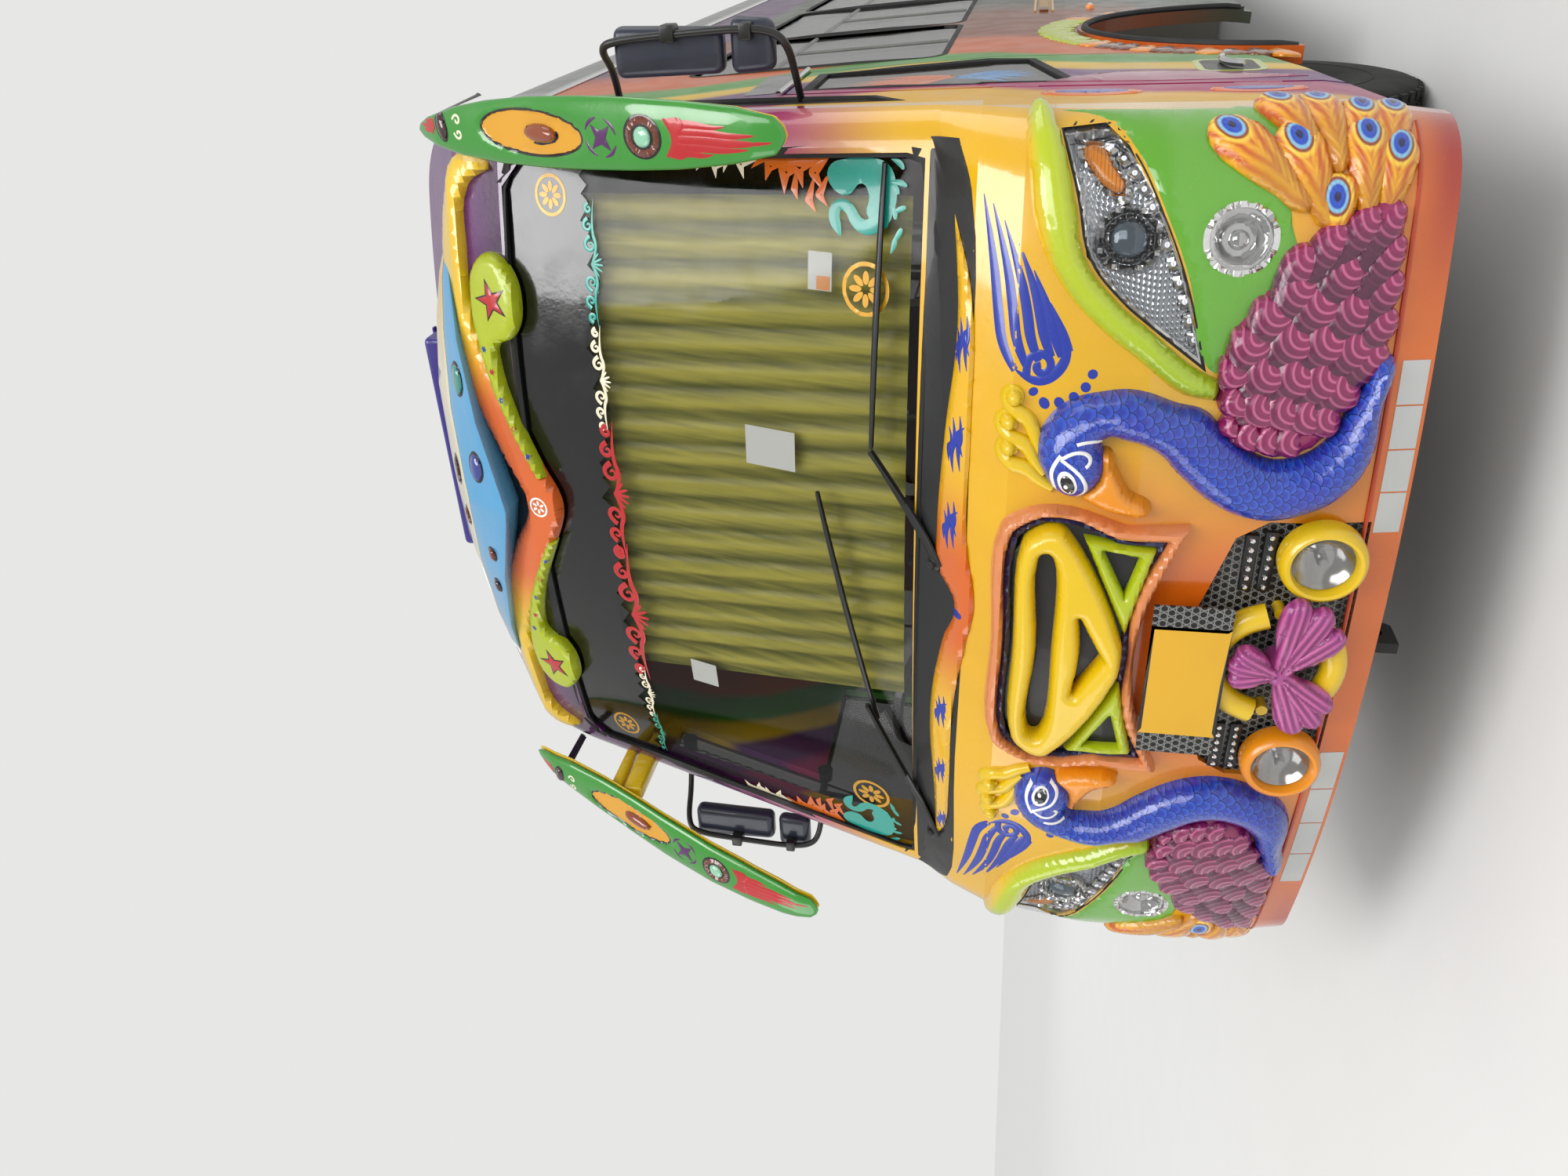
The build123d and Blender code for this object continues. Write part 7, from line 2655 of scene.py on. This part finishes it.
@dataclass
class Interior:
    """Padded seats, racks, poles, instruments and a gear lever seen through the glass."""

    def _pad(self, low: Point, high: Point, crown: float, lean: float = 0.0) -> bmesh.types.BMesh:
        """Crowned cushion whose sides pull in between its corners."""
        work = bmesh.new()
        bmesh.ops.create_cube(work, size=2.0)
        bmesh.ops.subdivide_edges(work, edges=work.edges[:], cuts=6, use_grid_fill=True)
        middle = [(a + b) / 2 for a, b in zip(low, high)]
        half = [(b - a) / 2 for a, b in zip(low, high)]
        for vert in work.verts:
            a, b, c = vert.co
            round_off = (abs(a) ** 6 + abs(b) ** 6 + abs(c) ** 6) ** (-1 / 6)
            a, b, c = a * round_off, b * round_off, c * round_off
            pull = 1.0 - 0.03 * (1 - a * a) * (1 - b * b)
            seam = 0.006 * math.exp(-((abs(b) - 0.45) / 0.06) ** 2)
            z = middle[2] + half[2] * c + (crown * (1 - a * a) * (1 - b * b) - seam) * (c > 0)
            vert.co = (
                middle[0] + half[0] * a * pull, middle[1] + half[1] * b * pull + lean * (z - low[2]), z
            )
        return work

    def build(self) -> None:
        """Make what is inside the cabin."""
        cushions, backs, frames = [], [], []
        rows = [2.9 + 0.76 * i for i in range(9)]
        seats = [(x0, y) for y in rows for x0 in (0.31, 0.75)]
        for x0, y in seats:
            y += FRONT_Y
            cushions.append(self._pad((x0, y, 1.300), (x0 + 0.42, y + 0.42, 1.425), 0.014))
            backs.append(self._pad((x0, y + 0.385, 1.43), (x0 + 0.42, y + 0.475, 1.985), 0.0, 0.20))
        for y in rows:
            y += FRONT_Y
            over_wheel = abs(y + 0.28 - FRONT_Y - REAR_AXLE) < 0.3
            frames.append(brick((0.34, y + 0.05, 0.985), (0.38, y + 0.38, 1.30), 0.006))
            frames.append(
                brick((1.10, y + 0.05, 1.17 if over_wheel else 0.985), (1.14, y + 0.38, 1.30), 0.006)
            )
            frames.append(
                tube(
                    [
                        (0.30, y + 0.50, 1.62), (0.285, y + 0.45, 1.60), (0.285, y + 0.10, 1.56),
                        (0.30, y + 0.06, 1.50)
                    ],
                    0.014
                )
            )
        bottoms, rests, bases = pair(join(cushions)), pair(join(backs)), pair(join(frames))
        driver_y = 1.42 + FRONT_Y
        seat = self._pad((-0.98, driver_y, 1.28), (-0.52, driver_y + 0.40, 1.42), 0.016)
        rest = self._pad((-0.98, driver_y + 0.40, 1.42), (-0.52, driver_y + 0.49, 1.975), 0.0, 0.16)
        made = piece(
            "seat_cushions", join([bottoms, seat]), SEAT, crease=180, replaces="seats"
        )
        piece("seat_backs", join([rests, rest]), SEAT, crease=180)
        base = [brick((-0.93, driver_y + 0.03, 0.985), (-0.57, driver_y + 0.17, 1.28), 0.02),
                brick((-0.93, driver_y + 0.15, 1.130), (-0.57, driver_y + 0.37, 1.28), 0.02)]
        piece("seat_frames", join([bases, *base]), FRAME_BLACK)
        racks = []
        for x, z in ((0.78, 2.62), (0.92, 2.60), (1.06, 2.60)):
            racks.append(tube([(x, FRONT_Y + y, z) for y in np.linspace(2.4, 10.3, 6)], 0.012))
        for y in np.arange(2.6, 10.3, 0.95):
            racks.append(
                tube(from_front((0.78, y, 2.62), (0.95, y, 2.585), (1.08, y, 2.60), (1.18, y, 2.64)), 0.010)
            )
        for y in (2.2, 4.6, 7.6):
            racks.append(
                tube(from_front((0.26, y, 0.99), (0.26, y, 1.6), (0.26, y, 2.6), (0.26, y, 3.30)), 0.016)
            )
        piece("cabin_rails", pair(join(racks)), STEEL)
        dials = [
            spun(
                (
                    (0, 0.004), (r * 0.9, 0.004), (r, 0.010), (r * 1.08, 0.008), (r * 1.08, -0.01),
                    (0, -0.01)
                ),
                (x, FRONT_Y + 0.690, 1.415), (0, 0.86, 0.5), 24
            )
            for x, r in ((-0.86, 0.045), (-0.75, 0.03), (-0.64, 0.045))
        ]
        lever = tube(
            from_front((-0.36, 1.2, 1.42), (-0.37, 1.2, 1.5), (-0.40, 1.18, 1.6), (-0.41, 1.17, 1.66)),
            0.010
        )
        knob = spun(
            ((0, 0.025), (0.018, 0.018), (0.024, 0.0), (0.016, -0.02), (0, -0.024)),
            (-0.41, FRONT_Y + 1.17, 1.675), (0, 0, 1), 20
        )
        piece("cabin_dials", join(dials), CHROME)
        piece("gear_lever", join([lever, knob]), PLASTIC)


@dataclass
class Underbody:
    """Shaft, pipes, tanks and radiator under the floor."""

    def build(self) -> None:
        """Make what shows from below and behind the mesh."""
        shaft = tube(
            from_front((0, 1.78, 0.74), (0, 3.7, 0.70), (0, 5.6, 0.64), (0, 7.56, 0.56)), 0.045, sides=9
        )
        tanks = []
        for y in (3.05, 3.55):
            tanks.append(
                spun(
                    ((0, 0.42), (0.06, 0.41), (0.11, 0.37), (0.115, 0.02), (0.06, -0.02), (0, -0.03)),
                    (0.60, FRONT_Y + y, 0.70), (0, 1, 0), 32
                )
            )
        pipe = tube(
            from_front(
                (-0.30, 1.75, 0.60), (-0.34, 2.4, 0.56), (-0.30, 5.0, 0.55), (-0.30, 6.8, 0.58),
                (-0.34, 7.74, 0.80), (-0.34, 9.0, 0.60), (-0.34, 10.6, 0.50)
            ),
            0.035, sides=9
        )
        silencer = spun(
            ((0, 0.75), (0.08, 0.74), (0.10, 0.70), (0.10, 0.05), (0.08, 0.0), (0, -0.01)),
            (-0.30, FRONT_Y + 4.5, 0.55), (0, 1, 0), 28
        )
        piece("drive_shaft", shaft, FRAME_BLACK)
        piece("air_tanks", join(tanks), FRAME_BLACK)
        piece("exhaust_pipe", join([pipe, silencer]), STEEL)
        core = [brick(*from_front((-0.36, 0.33, 0.47), (0.36, 0.35, 0.84)), 0.004)]
        core += [
            brick(*from_front((-0.35, 0.322, z), (0.35, 0.332, z + 0.004)), 0.0)
            for z in np.arange(0.48, 0.83, 0.012)
        ]
        piece("radiator_core", join(core), FRAME_BLACK)


def main() -> None:
    """Build the camera, the stage and each sub-assembly."""
    logging.basicConfig(level=logging.INFO, format="%(message)s")
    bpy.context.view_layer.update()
    Camera().build()
    Stage().build()
    for finish, nodes in NODES_BY_FINISH:
        for node in nodes.split():
            dress(node, finish)
    for assembly in (
        Peacocks(), Grille(), Lamps(), Cowl(), Windscreen(), RoofFront(), Horns(), Mirrors(), Sides(),
        Wheels(), Rear(), Interior(), Underbody()
    ):
        assembly.build()


NODES_BY_FINISH: tuple[tuple[Finish, str], ...] = (
    (FRONT, "front_moulding"),
    (DOME, "roof_dome"),
    (SIDE, "side_left side_right entry_door skirt_left skirt_right rear_panel boot_lid exit_door "
           "luggage_flap_left luggage_flap_right"),
    (BOARD, "entry_steps floor_deck"),
    (DULL, "roof_panel"),
    (MESH, "grille_mesh"),
    (gloss(Tint.YELLOW), "grille_mouth ring_rims"),
    (gloss(Tint.SALMON), "grille_frame"),
    (gloss(Tint.AMBER), "cowl_band"),
    (gloss(Tint.LIME), "roof_trim headlamp_brows"),
    (gloss(Tint.SKY), "roof_crest"),
    (gloss(Tint.LEAF), "horns"),
    (GLASS, "windscreen headlamps small_lamps"),
    (DARK_GLASS, "side_glass_left side_glass_right rear_glass entry_door_glass exit_door_glass"),
    (TYRE, "tyre_front_left tyre_front_right tyres_rear_left tyres_rear_right"),
    (WHEEL, "wheel_front_left wheel_front_right wheels_rear_left wheels_rear_right"),
    (FRAME_BLACK, "chassis_frame front_axle rear_axle knuckle_left knuckle_right leaf_springs fuel_tank "
                  "luggage_boxes towing_eyes"),
    (IRON, "engine_block"),
    (PLASTIC, "engine_cover dashboard mirrors"),
    (RUBBER, "wipers"),
    (SEAT, "seats"),
    (SATIN, "curtain"),
)


if __name__ == "__main__":
    main()
